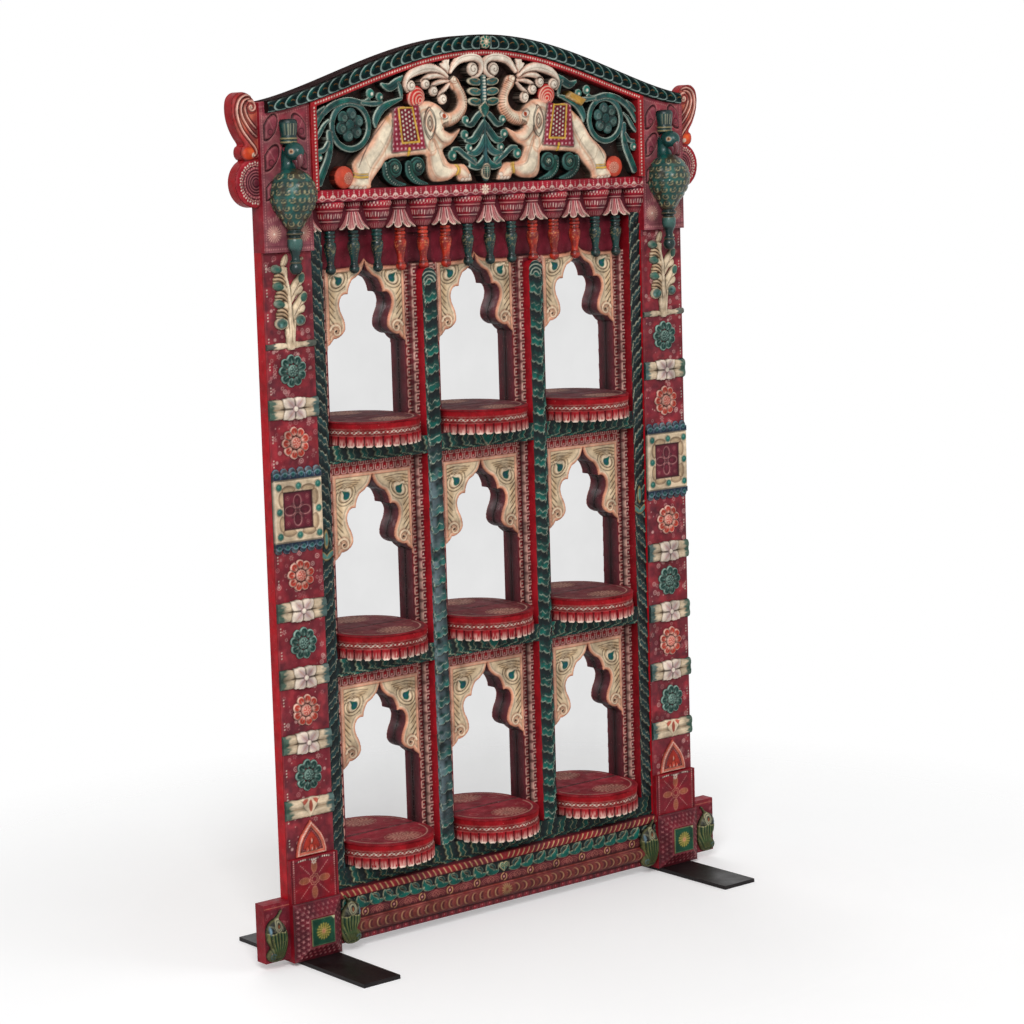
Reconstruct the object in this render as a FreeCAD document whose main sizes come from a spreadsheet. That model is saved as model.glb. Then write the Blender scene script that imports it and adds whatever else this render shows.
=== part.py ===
import FreeCAD, Part
import math
import os

from FreeCAD import Placement, Rotation, Vector

# Carved and painted jharokha mirror: a wooden lattice of nine arched niches in front of
# mirror glass, between two ornamented stiles, under an arched crown with two elephants.
# Millimetres. X runs along the front, +Y runs to the back, +Z is up. The origin is on the
# floor, in the middle of the two feet. The front of the stiles is the plane Y = 0.

SIZES = {
    # Feet: flat steel bars that run from front to back under the plinths
    "foot_length": 432,
    "foot_width": 87,
    "foot_thickness": 8,
    "foot_inset": 7,
    # Plinths and their side wings
    "plinth_height": 119,
    "plinth_depth": 44,
    "plinth_projection": 14,
    "pyramid_height": 19,
    "tile_size": 54,
    "tile_thickness": 3,
    "wing_width": 60,
    "wing_height": 118,
    "wing_lift": 9,
    "wing_depth": 30,
    "wing_projection": 2,
    # Base rail with its mouldings
    "rail_lift": 12,
    "rail_border_height": 13,
    "rail_border_projection": 4,
    "rail_roll_height": 31,
    "rail_roll_projection": 13,
    "rail_band_height": 20,
    "rail_band_projection": 5,
    "scroll_band_height": 27,
    "scroll_band_projection": 6,
    "rope_height": 18,
    "rope_projection": 9,
    "sill_height": 41,
    # Lattice: stiles, inner strips, mullions and transoms
    "stile_width": 115,
    "stile_depth": 27,
    "strip_width": 29,
    "mullion_width": 36,
    "niche_width": 242,
    "niche_height": 389,
    "transom_height": 36,
    "lattice_setback": 8,
    "lattice_depth": 28,
    # Arch boards, mirror glass and the back
    "board_depth": 24,
    "arch_half_width": 95,
    "arch_height": 163,
    "arch_drop": 33,
    "mirror_thickness": 3,
    "backing_thickness": 6,
    "side_board_thickness": 18,
    "batten_height": 60,
    "batten_thickness": 12,
    # Half-round shelves with a petal skirt
    "shelf_radius": 103,
    "shelf_top_height": 46,
    "shelf_board_thickness": 30,
    "shelf_skirt_drop": 4,
    "petal_depth": 5,
    "tongue_clearance": 0.3,
    # Ornaments on the stiles
    "rosette_radius": 33,
    "rosette_notch": 9,
    "rosette_thickness": 8,
    "rosette_boss_radius": 10,
    "rosette_boss_height": 4,
    "band_height": 44,
    "band_thickness": 9,
    "band_flower_radius": 22,
    "band_flower_thickness": 4,
    "plaque_height": 168,
    "plaque_thickness": 9,
    "plaque_scallop_height": 22,
    "plaque_recess": 72,
    "plaque_recess_depth": 4,
    "tree_height": 170,
    "tree_width": 70,
    "tree_thickness": 9,
    "tree_bar_height": 14,
    "ogee_height": 69,
    "ogee_width": 72,
    "ogee_thickness": 7,
    "panel_height": 88,
    "panel_thickness": 10,
    # Mango ornaments on the wings and the ends of the base rail
    "mango_width": 50,
    "mango_height": 92,
    "mango_thickness": 12,
    "mango_offset": 9,
    "mango_clearance": 1,
    # Upper post blocks and their bird brackets
    "block_start": 385,
    "block_projection": 10,
    "pot_radius": 46,
    "pot_height": 116,
    "pot_rise": 52,
    "bracket_axis_gap": 22,
    "neck_radius": 14,
    "neck_height": 46,
    "crest_height": 50,
    "spindle_length": 90,
    "spindle_radius": 19,
    # Side scrolls and lobes beside the post blocks
    "lobe_radius": 46,
    "lobe_rise": 98,
    "scroll_height": 128,
    "scroll_width": 62,
    "scroll_depth": 27,
    # Frieze: corbel cups, pendants and the rail under the crown panel
    "frieze_drop": 35,
    "cup_height": 51,
    "cup_radius": 24,
    "cup_board_depth": 16,
    "pendant_length": 86,
    "pendant_radius": 15,
    "pendant_count": 14,
    "pendant_clearance": 2,
    "frieze_rail_height": 24,
    "frieze_projection": 9,
    "head_rail_height": 92,
    # Crown panel, its frame and the cornice
    "crown_end_height": 171,
    "crown_rise": 125,
    "cornice_width": 30,
    "cornice_end_width": 22,
    "cornice_projection": 26,
    "cornice_depth": 54,
    "fillet_width": 9,
    "fillet_projection": 16,
    "crown_board_depth": 15,
    "crown_board_setback": 12,
    "elephant_thickness": 24,
    "volute_thickness": 20,
    "plume_thickness": 18,
    "foliage_thickness": 16,
    "crown_ball_radius": 22,
    "crown_ball_height": 18,
    "roundel_radius": 48,
    "roundel_width": 11,
}

doc = FreeCAD.newDocument("jharokha_mirror")
sheet = doc.addObject("Spreadsheet::Sheet", "sizes")
for row, (alias, value) in enumerate(SIZES.items(), 1):
    sheet.set(f"A{row}", alias)
    sheet.set(f"B{row}", str(value))
    sheet.setAlias(f"B{row}", alias)
doc.recompute()


class Sizes:
    """The numbers of the sheet, by their aliases."""


size = Sizes()
for alias in SIZES:
    setattr(size, alias, float(sheet.get(alias)))


# Places that follow from the sizes

column_pitch = size.niche_width + size.mullion_width
row_pitch = size.niche_height + size.transom_height
strip_inner = 1.5 * size.niche_width + size.mullion_width
strip_outer = strip_inner + size.strip_width
stile_outer = strip_outer + size.stile_width
stile_middle = (strip_outer + stile_outer) / 2
wing_outer = stile_outer + size.wing_width
lattice_back = size.lattice_setback + size.lattice_depth
board_back = lattice_back + size.board_depth
mirror_back = board_back + size.mirror_thickness

plinth_bottom = size.foot_thickness
plinth_top = plinth_bottom + size.plinth_height
rail_bottom = plinth_bottom + size.rail_lift
roll_bottom = rail_bottom + size.rail_border_height
rail_band_bottom = roll_bottom + size.rail_roll_height
scroll_band_bottom = rail_band_bottom + size.rail_band_height
rope_bottom = scroll_band_bottom + size.scroll_band_height
sill_bottom = rope_bottom + size.rope_height
sill_top = sill_bottom + size.sill_height
row_floors = [sill_top + row_pitch * row for row in range(3)]
lattice_top = row_floors[-1] + size.niche_height
block_bottom = row_floors[-1] + size.block_start
cup_bottom = lattice_top + size.frieze_drop
mullion_top = cup_bottom - size.pendant_length - size.pendant_clearance
frieze_bottom = cup_bottom + size.cup_height
panel_floor = frieze_bottom + size.frieze_rail_height

COLUMNS = {"left": -1, "centre": 0, "right": 1}
ROWS = {"bottom": 0, "middle": 1, "top": 2}
SIDES = (-1, 1)


# Builders for boards, plates and turnings

def board(name, length, width, height, corner):
    """A plain board: three formulas on the sheet and its lowest corner."""
    box = doc.addObject("Part::Box", name)
    for prop, formula in (("Length", length), ("Width", width), ("Height", height)):
        box.setExpression(prop, formula)
    box.Placement.Base = Vector(*corner)
    return box


FACET_turn = math.pi / 6


def bend(start, middle, end):
    """Corners of the facets along the arc from start through middle to end."""
    stops = [Vector(u, v, 0) for u, v in (start, middle, end)]
    arc = Part.Arc(*stops)
    facets = max(2, round((arc.LastParameter - arc.FirstParameter) / FACET_turn))
    return [(corner.x, corner.y) for corner in arc.discretize(facets + 1)[1:]]


def path(start, *steps):
    """Corners from start: a step of one point is a straight edge, a step of two an arc."""
    corners = [start]
    for step in steps:
        corners += step if len(step) == 1 else bend(corners[-1], *step)
    return corners


def loop(points, lowest):
    """Corners along one smooth closed curve through the points, none under lowest."""
    curve = Part.BSplineCurve()
    curve.interpolate(Points=[Vector(u, v, 0) for u, v in points], PeriodicFlag=True)
    knots = curve.getKnots()
    corners = []
    for first, last in zip(knots, knots[1:]):
        for knot in (first, (first + last) / 2):
            corner = curve.value(knot)
            corners.append((corner.x, max(corner.y, lowest)))
    return corners


def polygon(centre, radius, sides):
    """Corners of a regular polygon, which stands for a circle."""
    turns = [2 * math.pi * (corner + 0.5) / sides for corner in range(sides)]
    return [(centre[0] + radius * math.cos(turn), centre[1] + radius * math.sin(turn))
            for turn in turns]


def rectangle(left, bottom, right, top):
    return [(left, bottom), (right, bottom), (right, top), (left, top)]


def mirrored(points):
    return [(-x, z) for x, z in reversed(points)]


def sketch_on(body, plane_role, lift, outlines):
    """A sketch of closed outlines of corners, on one of the body's own origin planes."""
    sketch = body.newObject("Sketcher::SketchObject", body.Name + "_sketch")
    plane = [item for item in body.Origin.OriginFeatures if item.Role == plane_role][0]
    sketch.AttachmentSupport = [(plane, "")]
    sketch.MapMode = "FlatFace"
    sketch.AttachmentOffset = Placement(Vector(0, 0, lift), Rotation())
    for outline in outlines:
        corners = [Vector(u, v, 0) for u, v in outline]
        edges = [Part.LineSegment(a, b) for a, b in zip(corners, corners[1:] + corners[:1])]
        sketch.addGeometry(edges, False)
    return sketch


def plate(name, outlines, back, depth):
    """A sawn plate that faces the front: outlines in X and Z, from Y = back forwards."""
    body = doc.addObject("PartDesign::Body", name)
    sketch = sketch_on(body, "XZ_Plane", -back, outlines)
    pad = body.newObject("PartDesign::Pad", name + "_pad")
    pad.Profile = sketch
    pad.setExpression("Length", depth)
    body.Tip = pad
    return body


def slab(name, outlines, bottom, height):
    """A level slab: outlines in X and Y, from Z = bottom upwards."""
    body = doc.addObject("PartDesign::Body", name)
    sketch = sketch_on(body, "XY_Plane", bottom, outlines)
    pad = body.newObject("PartDesign::Pad", name + "_pad")
    pad.Profile = sketch
    pad.setExpression("Length", height)
    body.Tip = pad
    return body


def moulding(name, outline, half_length):
    """A run of moulding along X: its section in Y and Z, padded both ways."""
    body = doc.addObject("PartDesign::Body", name)
    sketch = sketch_on(body, "YZ_Plane", 0, [outline])
    pad = body.newObject("PartDesign::Pad", name + "_pad")
    pad.Profile = sketch
    pad.setExpression("Length", half_length)
    pad.Midplane = True
    body.Tip = pad
    return body


def faceted(name, rings):
    """A closed solid with flat facets between rings of corners, each ring level with itself."""
    faces = [Part.Face(Part.makePolygon(ring + ring[:1])) for ring in (rings[0], rings[-1])]
    for lower, upper in zip(rings, rings[1:]):
        for corner in range(len(lower)):
            after = (corner + 1) % len(lower)
            facet = [lower[corner], lower[after], upper[after], upper[corner]]
            faces.append(Part.Face(Part.makePolygon(facet + facet[:1])))
    solid = doc.addObject("Part::Feature", name)
    solid.Shape = Part.Solid(Part.Shell(faces))
    return solid


def turning(name, radius, height, shares, sides):
    """A faceted turning up its own Z axis: rings of shares of one radius and one height."""
    rings = []
    for radius_share, height_share in shares:
        ring = polygon((0, 0), radius_share * radius, sides)
        rings.append([Vector(x, y, height_share * height) for x, y in ring])
    return faceted(name, rings)


def copies(name, master, places):
    """Links to one master, each moved to its place or placement."""
    links = []
    for number, place in enumerate(places, 1):
        link = doc.addObject("App::Link", f"{name}_copy_{number}")
        link.LinkedObject = master
        spot = place if isinstance(place, Placement) else Placement(Vector(*place), Rotation())
        link.Placement = spot
        links.append(link)
    return links


def group(name, members):
    """Separate solids that share one node."""
    compound = doc.addObject("Part::Compound", name)
    compound.Links = members
    return compound


def fused(name, members):
    union = doc.addObject("Part::MultiFuse", name)
    union.Shapes = members
    return union


def cut(name, base, tool):
    result = doc.addObject("Part::Cut", name)
    result.Base = base
    result.Tool = tool
    return result


def opposite(name, source):
    """The mirror image of a piece, across the middle of the object."""
    image = doc.addObject("Part::Mirroring", name)
    image.Source = source
    image.Normal = Vector(1, 0, 0)
    return image


def pair(name, source):
    """A piece and its mirror image in one node."""
    return group(name, [source, opposite(name + "_opposite", source)])


# Feet, plinths and base

def make_feet():
    inner = strip_outer + size.foot_inset
    right = board("foot_right", "sizes.foot_width", "sizes.foot_length", "sizes.foot_thickness",
                  (inner, -size.foot_length / 2, 0))
    return pair("feet", right)


def make_plinths():
    """Blocks under the stiles, each raised to a blunt pyramid that carries a tile."""
    block = board("plinth_block", "sizes.stile_width", "sizes.plinth_depth",
                  "sizes.plinth_height", (strip_outer, -size.plinth_projection, plinth_bottom))
    face = -size.plinth_projection
    middle_height = plinth_bottom + size.plinth_height / 2
    stages = []
    for y, half_x, half_z in ((face, size.stile_width / 2, size.plinth_height / 2),
                              (face - size.pyramid_height, size.tile_size / 2,
                               size.tile_size / 2)):
        corners = [Vector(stile_middle + sx * half_x, y, middle_height + sz * half_z)
                   for sx, sz in ((-1, -1), (1, -1), (1, 1), (-1, 1))]
        stages.append(corners)
    pyramid = faceted("plinth_pyramid", stages)
    return pair("plinths", fused("plinth_right", [block, pyramid]))


def make_tiles():
    half = size.tile_size / 2
    middle_height = plinth_bottom + size.plinth_height / 2
    outline = rectangle(stile_middle - half, middle_height - half, stile_middle + half,
                        middle_height + half)
    back = -size.plinth_projection - size.pyramid_height
    return pair("plinth_tiles", plate("tile_right", [outline], back, "sizes.tile_thickness"))


def make_wings():
    corner = (stile_outer, -size.wing_projection, plinth_bottom + size.wing_lift)
    wing = board("wing_right", "sizes.wing_width", "sizes.wing_depth", "sizes.wing_height",
                 corner)
    return pair("base_wings", wing)


def make_base_rail():
    """The rail between the plinths: a border, a half-round roll and a painted band."""
    border = -size.rail_border_projection
    band = -size.rail_band_projection
    section = path((lattice_back, rail_bottom),
                   [(border, rail_bottom)],
                   [(border, roll_bottom)],
                   [(-size.rail_roll_projection, (roll_bottom + rail_band_bottom) / 2),
                    (border, rail_band_bottom)],
                   [(band, rail_band_bottom)],
                   [(band, scroll_band_bottom)],
                   [(lattice_back, scroll_band_bottom)])
    return moulding("base_rail", section, base_length)


def make_scroll_band():
    front = -size.scroll_band_projection
    section = rectangle(front, scroll_band_bottom, lattice_back, rope_bottom)
    return moulding("scroll_band", section, base_length)


def make_rope():
    section = path((lattice_back, rope_bottom),
                   [(0, rope_bottom)],
                   [(-size.rope_projection, (rope_bottom + sill_bottom) / 2),
                    (0, sill_bottom)],
                   [(lattice_back, sill_bottom)])
    return moulding("rope_moulding", section, base_length)


base_length = "2 * (1.5 * sizes.niche_width + sizes.mullion_width + sizes.strip_width)"


def make_sill():
    return board("sill", base_length, "sizes.lattice_depth", "sizes.sill_height",
                 (-strip_outer, size.lattice_setback, sill_bottom))


MANGO_shares = [(0.06, 0.62), (0.02, 0.80), (0.14, 0.94), (0.42, 1.0), (0.80, 0.88),
                (1.0, 0.62), (0.98, 0.34), (0.78, 0.10), (0.44, 0.0), (0.10, 0.03),
                (0.02, 0.13), (0.20, 0.40)]


def make_mangoes():
    """Mango ornaments, two on the wings and two on the ends of the base rail."""
    outline = [(u * size.mango_width, v * size.mango_height) for u, v in MANGO_shares]
    master = plate("mango_master", [loop(outline, 0)], 0, "sizes.mango_thickness")
    bottom = plinth_bottom + size.mango_offset
    rail_right = strip_outer - size.mango_width - size.mango_clearance
    on_wing = stile_outer + (size.wing_width - size.mango_width) / 2
    pieces = copies("mango", master, [(on_wing, -size.wing_projection, bottom),
                                      (rail_right, -size.rail_roll_projection, bottom)])
    return pair("mango_ornaments", group("mangoes_right", pieces))


# Lattice

def make_stiles():
    """Uprights from the plinths to the post blocks."""
    height = block_bottom - plinth_top
    nodes = []
    for side, name in ((-1, "stile_left"), (1, "stile_right")):
        left = stile_middle * side - size.stile_width / 2
        post = board(name, "sizes.stile_width", "sizes.stile_depth",
                     f"{height} mm", (left, 0, plinth_top))
        nodes.append(post)
    return nodes


def upright(name, left, width, bottom, top):
    outline = rectangle(left, bottom, left + width, top)
    return plate(name, [outline], lattice_back, "sizes.lattice_depth")


def make_inner_strips():
    strip = upright("strip_right", strip_inner, size.strip_width, sill_top, cup_bottom)
    return pair("inner_strips", strip)


def make_mullions():
    left = size.niche_width / 2
    return pair("mullions", upright("mullion_right", left, size.mullion_width, sill_top,
                                    mullion_top))


def make_transoms():
    pieces = []
    for row in (1, 2):
        for column in COLUMNS.values():
            corner = (column * column_pitch - size.niche_width / 2, size.lattice_setback,
                      row_floors[row] - size.transom_height)
            pieces.append(board(f"transom_{row}_{column + 2}", "sizes.niche_width",
                                "sizes.lattice_depth", "sizes.transom_height", corner))
    return group("transoms", pieces)


# Each half of the arch, from the point down to the jamb, as shares of its half width
# and of its height. A row of two points is an arc through the first to the second.
ARCH_shares = [[(0.08, 0.12)],
               [(0.21, 0.18)],
               [(0.39, 0.26), (0.44, 0.39)],
               [(0.54, 0.39)],
               [(0.68, 0.47), (0.62, 0.64)],
               [(0.55, 0.80), (0.70, 0.91)],
               [(0.84, 0.92)],
               [(1.0, 1.0)]]


def arch_outline(centre, floor, crown):
    """The opening of a niche: straight jambs and a cusped, pointed head."""
    def spot(side, share):
        return (centre + side * share[0] * size.arch_half_width,
                crown - share[1] * size.arch_height)

    right = [[spot(1, share) for share in step] for step in ARCH_shares]
    left = [[spot(-1, share) for share in step] for step in ARCH_shares]
    back = []
    for index in range(len(left) - 1, -1, -1):
        previous = left[index - 1][-1] if index else (centre, crown)
        middle = left[index][:-1]
        back.append(middle + [previous])
    foot_right = (centre + size.arch_half_width, floor)
    foot_left = (centre - size.arch_half_width, floor)
    corners = path((centre, crown), *right, [foot_right], [foot_left], [left[-1][-1]], *back)
    return corners[:-1]


def make_arch_boards():
    """One board for each niche, butted behind the mullions and transoms."""
    nodes = []
    for row_name, row in ROWS.items():
        for column_name, column in COLUMNS.items():
            centre = column * column_pitch
            left = centre - column_pitch / 2 if column >= 0 else -strip_outer
            right = centre + column_pitch / 2 if column <= 0 else strip_outer
            floor = row_floors[row]
            bottom = floor - size.transom_height / 2
            top = bottom + row_pitch
            crown = floor + size.niche_height - size.arch_drop
            edge = rectangle(left, bottom, right, top)
            name = f"arch_board_{row_name}_{column_name}"
            nodes.append(plate(name, [edge, arch_outline(centre, floor, crown)], board_back,
                               "sizes.board_depth"))
    return nodes


# Shelves

PETALS = 12


def around(centre, reach, share):
    """A point on the half circle in front of the lattice, from its left end to its right."""
    turn = math.pi * (1 - share)
    return (centre + reach * math.cos(turn), lattice_back - reach * math.sin(turn))


def make_shelf(name, centre, floor):
    """A half-round shelf: its top board with a tongue to the glass, and a petal skirt."""
    half = size.arch_half_width - size.tongue_clearance
    radius = size.shelf_radius
    thickness = size.shelf_board_thickness
    rim = [around(centre, radius, petal / PETALS) for petal in range(PETALS + 1)]
    tongue = [(centre + half, lattice_back), (centre + half, board_back),
              (centre - half, board_back), (centre - half, lattice_back)]
    lid = slab(name + "_lid", [rim + tongue], floor + size.shelf_top_height - thickness,
               "sizes.shelf_board_thickness")
    scallops = [around(centre, reach, (petal + part) / PETALS)
                for petal in range(PETALS)
                for part, reach in ((0, radius - size.petal_depth), (0.25, radius),
                                    (0.75, radius))]
    scallops.append(around(centre, radius - size.petal_depth, 1))
    skirt = slab(name + "_skirt", [scallops], floor - size.shelf_skirt_drop,
                 "sizes.shelf_top_height + sizes.shelf_skirt_drop - sizes.shelf_board_thickness")
    notch = board(name + "_notch", "2 * sizes.shelf_radius",
                  "sizes.lattice_depth", "sizes.shelf_skirt_drop",
                  (centre - radius, size.lattice_setback, floor - size.shelf_skirt_drop))
    return cut(name, fused(name + "_whole", [lid, skirt]), notch)


def make_shelves():
    nodes = []
    for row_name, row in ROWS.items():
        for column_name, column in COLUMNS.items():
            nodes.append(make_shelf(f"shelf_{row_name}_{column_name}", column * column_pitch,
                                    row_floors[row]))
    return nodes


# Glass, back and carcass behind the lattice

glass_height = "3 * (sizes.niche_height + sizes.transom_height)"


def make_mirrors():
    panes = []
    for column_name, column in COLUMNS.items():
        corner = (column * column_pitch - column_pitch / 2, board_back,
                  sill_top - size.transom_height / 2)
        panes.append(board(f"pane_{column_name}", "sizes.niche_width + sizes.mullion_width",
                           "sizes.mirror_thickness", glass_height, corner))
    return group("mirror_panes", panes)


def make_back_board():
    width = f"{base_length} + 2 * sizes.side_board_thickness"
    bottom = sill_top - size.transom_height / 2
    corner = (-strip_outer - size.side_board_thickness, mirror_back, bottom)
    return board("back_board", width, "sizes.backing_thickness", glass_height, corner)


def make_side_boards():
    """Carcass sides behind the stiles, which carry the arch boards and the back."""
    height = 3 * row_pitch
    bottom = sill_top - size.transom_height / 2
    outline = rectangle(strip_outer, bottom, strip_outer + size.side_board_thickness,
                        bottom + height)
    depth = ("sizes.lattice_setback + sizes.lattice_depth + sizes.board_depth"
             " + sizes.mirror_thickness - sizes.stile_depth")
    return pair("carcass_sides", plate("carcass_right", [outline], mirror_back, depth))


def make_head_rail():
    """The rail above the arch boards, behind the cups."""
    depth = "sizes.board_depth + sizes.mirror_thickness"
    corner = (-strip_outer, lattice_back, sill_top - size.transom_height / 2 + 3 * row_pitch)
    return board("head_rail", base_length, depth, "sizes.head_rail_height", corner)


def make_bottom_rail():
    height = "sizes.sill_height - sizes.transom_height / 2"
    depth = "sizes.board_depth + sizes.mirror_thickness"
    return board("bottom_rail", base_length, depth, height,
                 (-strip_outer, lattice_back, sill_bottom))


def make_battens():
    """Three rails across the back, which hold the back board flat."""
    low = sill_top - size.transom_height / 2
    high = low + 3 * row_pitch - size.batten_height
    width = f"{base_length} + 2 * sizes.side_board_thickness"
    battens = []
    for number, share in enumerate((0, 0.5, 1), 1):
        corner = (-strip_outer - size.side_board_thickness, mirror_back + size.backing_thickness,
                  low + share * (high - low))
        battens.append(board(f"batten_{number}", width, "sizes.batten_thickness",
                             "sizes.batten_height", corner))
    return group("back_battens", battens)


# Ornaments on the stiles

ROSETTE_height_shares = [0.137, 0.246, 0.359, 0.471, 0.690, 0.808]
ROSETTE_petals = 8


def stile_height(share):
    """A height on the stile, as a share of its length above the base panel."""
    start = plinth_top + size.panel_height
    return start + share * (block_bottom - start)


def rosette_outline():
    """Eight petals about a boss, each with a blunt tip."""
    tip = size.rosette_radius
    notch = tip - size.rosette_notch
    step = 2 * math.pi / ROSETTE_petals
    points = []
    for petal in range(ROSETTE_petals):
        for part, reach in ((-0.5, notch), (-0.24, tip), (0.24, tip)):
            turn = (petal + part) * step
            points.append((reach * math.cos(turn), reach * math.sin(turn)))
    return points


def make_rosettes():
    flower = plate("rosette_flower", [rosette_outline()], 0, "sizes.rosette_thickness")
    boss = plate("rosette_boss", [polygon((0, 0), size.rosette_boss_radius, ROSETTE_petals)],
                 -size.rosette_thickness, "sizes.rosette_boss_height")
    master = fused("rosette_master", [flower, boss])
    places = [(stile_middle * side, 0, stile_height(share))
              for share in ROSETTE_height_shares for side in SIDES]
    return group("stile_rosettes", copies("rosette", master, places))


BAND_height_shares = [0.082, 0.192, 0.302, 0.413, 0.746]
BAND_waist_share = 0.35


def make_bands():
    """Cross bands, each with a four-petalled flower."""
    half_x = size.stile_width / 2
    half_z = size.band_height / 2
    bar = plate("band_bar", [rectangle(-half_x, -half_z, half_x, half_z)], 0,
                "sizes.band_thickness")
    corners = []
    for corner in range(8):
        turn = math.pi / 4 * corner
        reach = size.band_flower_radius * (BAND_waist_share if corner % 2 == 0 else 1)
        corners.append((reach * math.cos(turn), reach * math.sin(turn)))
    flower = plate("band_flower", [corners], -size.band_thickness,
                   "sizes.band_flower_thickness")
    master = fused("band_master", [bar, flower])
    places = [(stile_middle * side, 0, stile_height(share))
              for share in BAND_height_shares for side in SIDES]
    return group("cross_bands", copies("band", master, places))


PLAQUE_height_share = 0.580
PLAQUE_scallops = 7


def make_plaques():
    """Square plaques between two scalloped edges, with a sunk middle."""
    half_x = size.stile_width / 2
    half_z = size.plaque_height / 2
    pitch = size.stile_width / PLAQUE_scallops
    steps = []
    for edge in (1, -1):
        for scallop in range(PLAQUE_scallops):
            middle = edge * (half_x - (scallop + 0.5) * pitch)
            end = edge * (half_x - (scallop + 1) * pitch)
            steps += [[(middle, edge * half_z)], [(end, edge * (half_z - pitch / 3))]]
        if edge == 1:
            steps.append([(-half_x, -half_z + pitch / 3)])
    start = (half_x, half_z - pitch / 3)
    plaque = plate("plaque_plate", [path(start, *steps)[:-1]], 0, "sizes.plaque_thickness")
    recess = size.plaque_recess / 2
    hollow = plate("plaque_hollow", [rectangle(-recess, -recess, recess, recess)],
                   size.plaque_recess_depth - size.plaque_thickness,
                   "sizes.plaque_recess_depth")
    master = cut("plaque_master", plaque, hollow)
    places = [(stile_middle * side, 0, stile_height(PLAQUE_height_share)) for side in SIDES]
    return group("square_plaques", copies("plaque", master, places))


TREE_height_share = 1.0
TREE_shares = [(0.10, 0.0), (0.10, 0.20), (0.30, 0.30), (0.50, 0.24), (0.46, 0.38),
               (0.26, 0.42), (0.48, 0.46), (0.46, 0.58), (0.24, 0.60), (0.46, 0.68),
               (0.44, 0.80), (0.22, 0.80), (0.30, 0.92), (0.10, 1.0)]


def make_trees():
    """A leafing tree on a bar, one on each stile."""
    right = [(u * size.tree_width, v * size.tree_height) for u, v in TREE_shares]
    base = stile_height(TREE_height_share) - size.tree_height
    tree = plate("tree_plate", [right + mirrored(right)], 0, "sizes.tree_thickness")
    half = size.stile_width / 2
    bar = plate("tree_bar", [rectangle(-half, -size.tree_bar_height, half, 0)], 0,
                "sizes.tree_thickness")
    master = fused("tree_master", [tree, bar])
    places = [(stile_middle * side, 0, base) for side in SIDES]
    return group("tree_reliefs", copies("tree", master, places))


def make_ogees():
    """Small pointed arches that stand on the base panels."""
    half = size.ogee_width / 2
    tall = size.ogee_height
    outline = path((-half, 0), [(half, 0)], [(half, tall * 0.25)],
                   [(half * 0.62, tall * 0.72), (0, tall)],
                   [(-half * 0.62, tall * 0.72), (-half, tall * 0.25)])
    master = plate("ogee_master", [outline], 0, "sizes.ogee_thickness")
    places = [(stile_middle * side, 0, plinth_top + size.panel_height) for side in SIDES]
    return group("ogee_arches", copies("ogee", master, places))


def make_base_panels():
    panel = board("panel_right", "sizes.stile_width", "sizes.panel_thickness",
                  "sizes.panel_height", (strip_outer, -size.panel_thickness, plinth_top))
    return pair("base_panels", panel)


# Crown

def crown_level(x, rise, power):
    """How high the crown's curve stands above its ends."""
    share = min(abs(x) / stile_outer, 1)
    return rise * math.cos(math.pi / 2 * share) ** power


CROWN_facets = 20
CORNICE_power_share = 1.4
FILLET_power_share = 1.6
crown_end = panel_floor + size.crown_end_height
fillet_end = crown_end - size.cornice_end_width
fillet_rise = size.crown_rise + size.cornice_end_width - size.cornice_width


def cornice_top(x):
    return crown_end + crown_level(x, size.crown_rise, CORNICE_power_share)


def cornice_bottom(x):
    return fillet_end + crown_level(x, fillet_rise, FILLET_power_share)


def along(height, start, end):
    """Corners of a crown curve from start to end, all on the facets of the cornice."""
    step = 2 * stile_outer / CROWN_facets
    stations = [-stile_outer + step * number for number in range(CROWN_facets + 1)]
    between = [x for x in stations if min(start, end) < x < max(start, end)]
    corners = []
    for x in [start] + sorted(between, reverse=start > end) + [end]:
        facet = min(int((x - stations[0]) / step), CROWN_facets - 1)
        before, after = height(stations[facet]), height(stations[facet + 1])
        corners.append((x, before + (after - before) * (x - stations[facet]) / step))
    return corners


def make_cornice():
    """The arched cornice over the whole width."""
    half = stile_outer
    top = along(cornice_top, -half, half)
    bottom = along(cornice_bottom, half, -half)
    back = size.cornice_depth - size.cornice_projection
    return plate("cornice", [top + bottom], back, "sizes.cornice_depth")


def make_crown_fillet():
    """The beaded red frame inside the cornice and down both sides of the panel."""
    outer = strip_outer
    inner = strip_inner
    top = along(cornice_bottom, -outer, outer)
    lower = [(x, z - size.fillet_width) for x, z in along(cornice_bottom, inner, -inner)]
    outline = top + [(outer, panel_floor), (inner, panel_floor)]
    outline += lower + [(-inner, panel_floor), (-outer, panel_floor)]
    depth = "sizes.fillet_projection + sizes.crown_board_setback"
    return plate("crown_fillet", [outline], size.crown_board_setback, depth)


def make_crown_board():
    outer = strip_outer
    top = along(cornice_bottom, -outer, outer)
    outline = top + [(outer, panel_floor), (-outer, panel_floor)]
    back = size.crown_board_setback + size.crown_board_depth
    return plate("crown_board", [outline], back, "sizes.crown_board_depth")


def make_post_blocks():
    """Blocks on top of the stiles, cut to the cornice."""
    top = along(cornice_bottom, strip_outer, stile_outer)
    outline = top + [(stile_outer, block_bottom), (strip_outer, block_bottom)]
    depth = "sizes.stile_depth + sizes.block_projection"
    return pair("post_blocks", plate("post_block_right", [outline], size.stile_depth, depth))


# Points of the panel's carving, as shares of half its width and of its height in the middle
panel_half = strip_inner
panel_height = cornice_bottom(0) - size.fillet_width - panel_floor


def on_panel(share):
    return (share[0] * panel_half, panel_floor + share[1] * panel_height)


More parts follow.
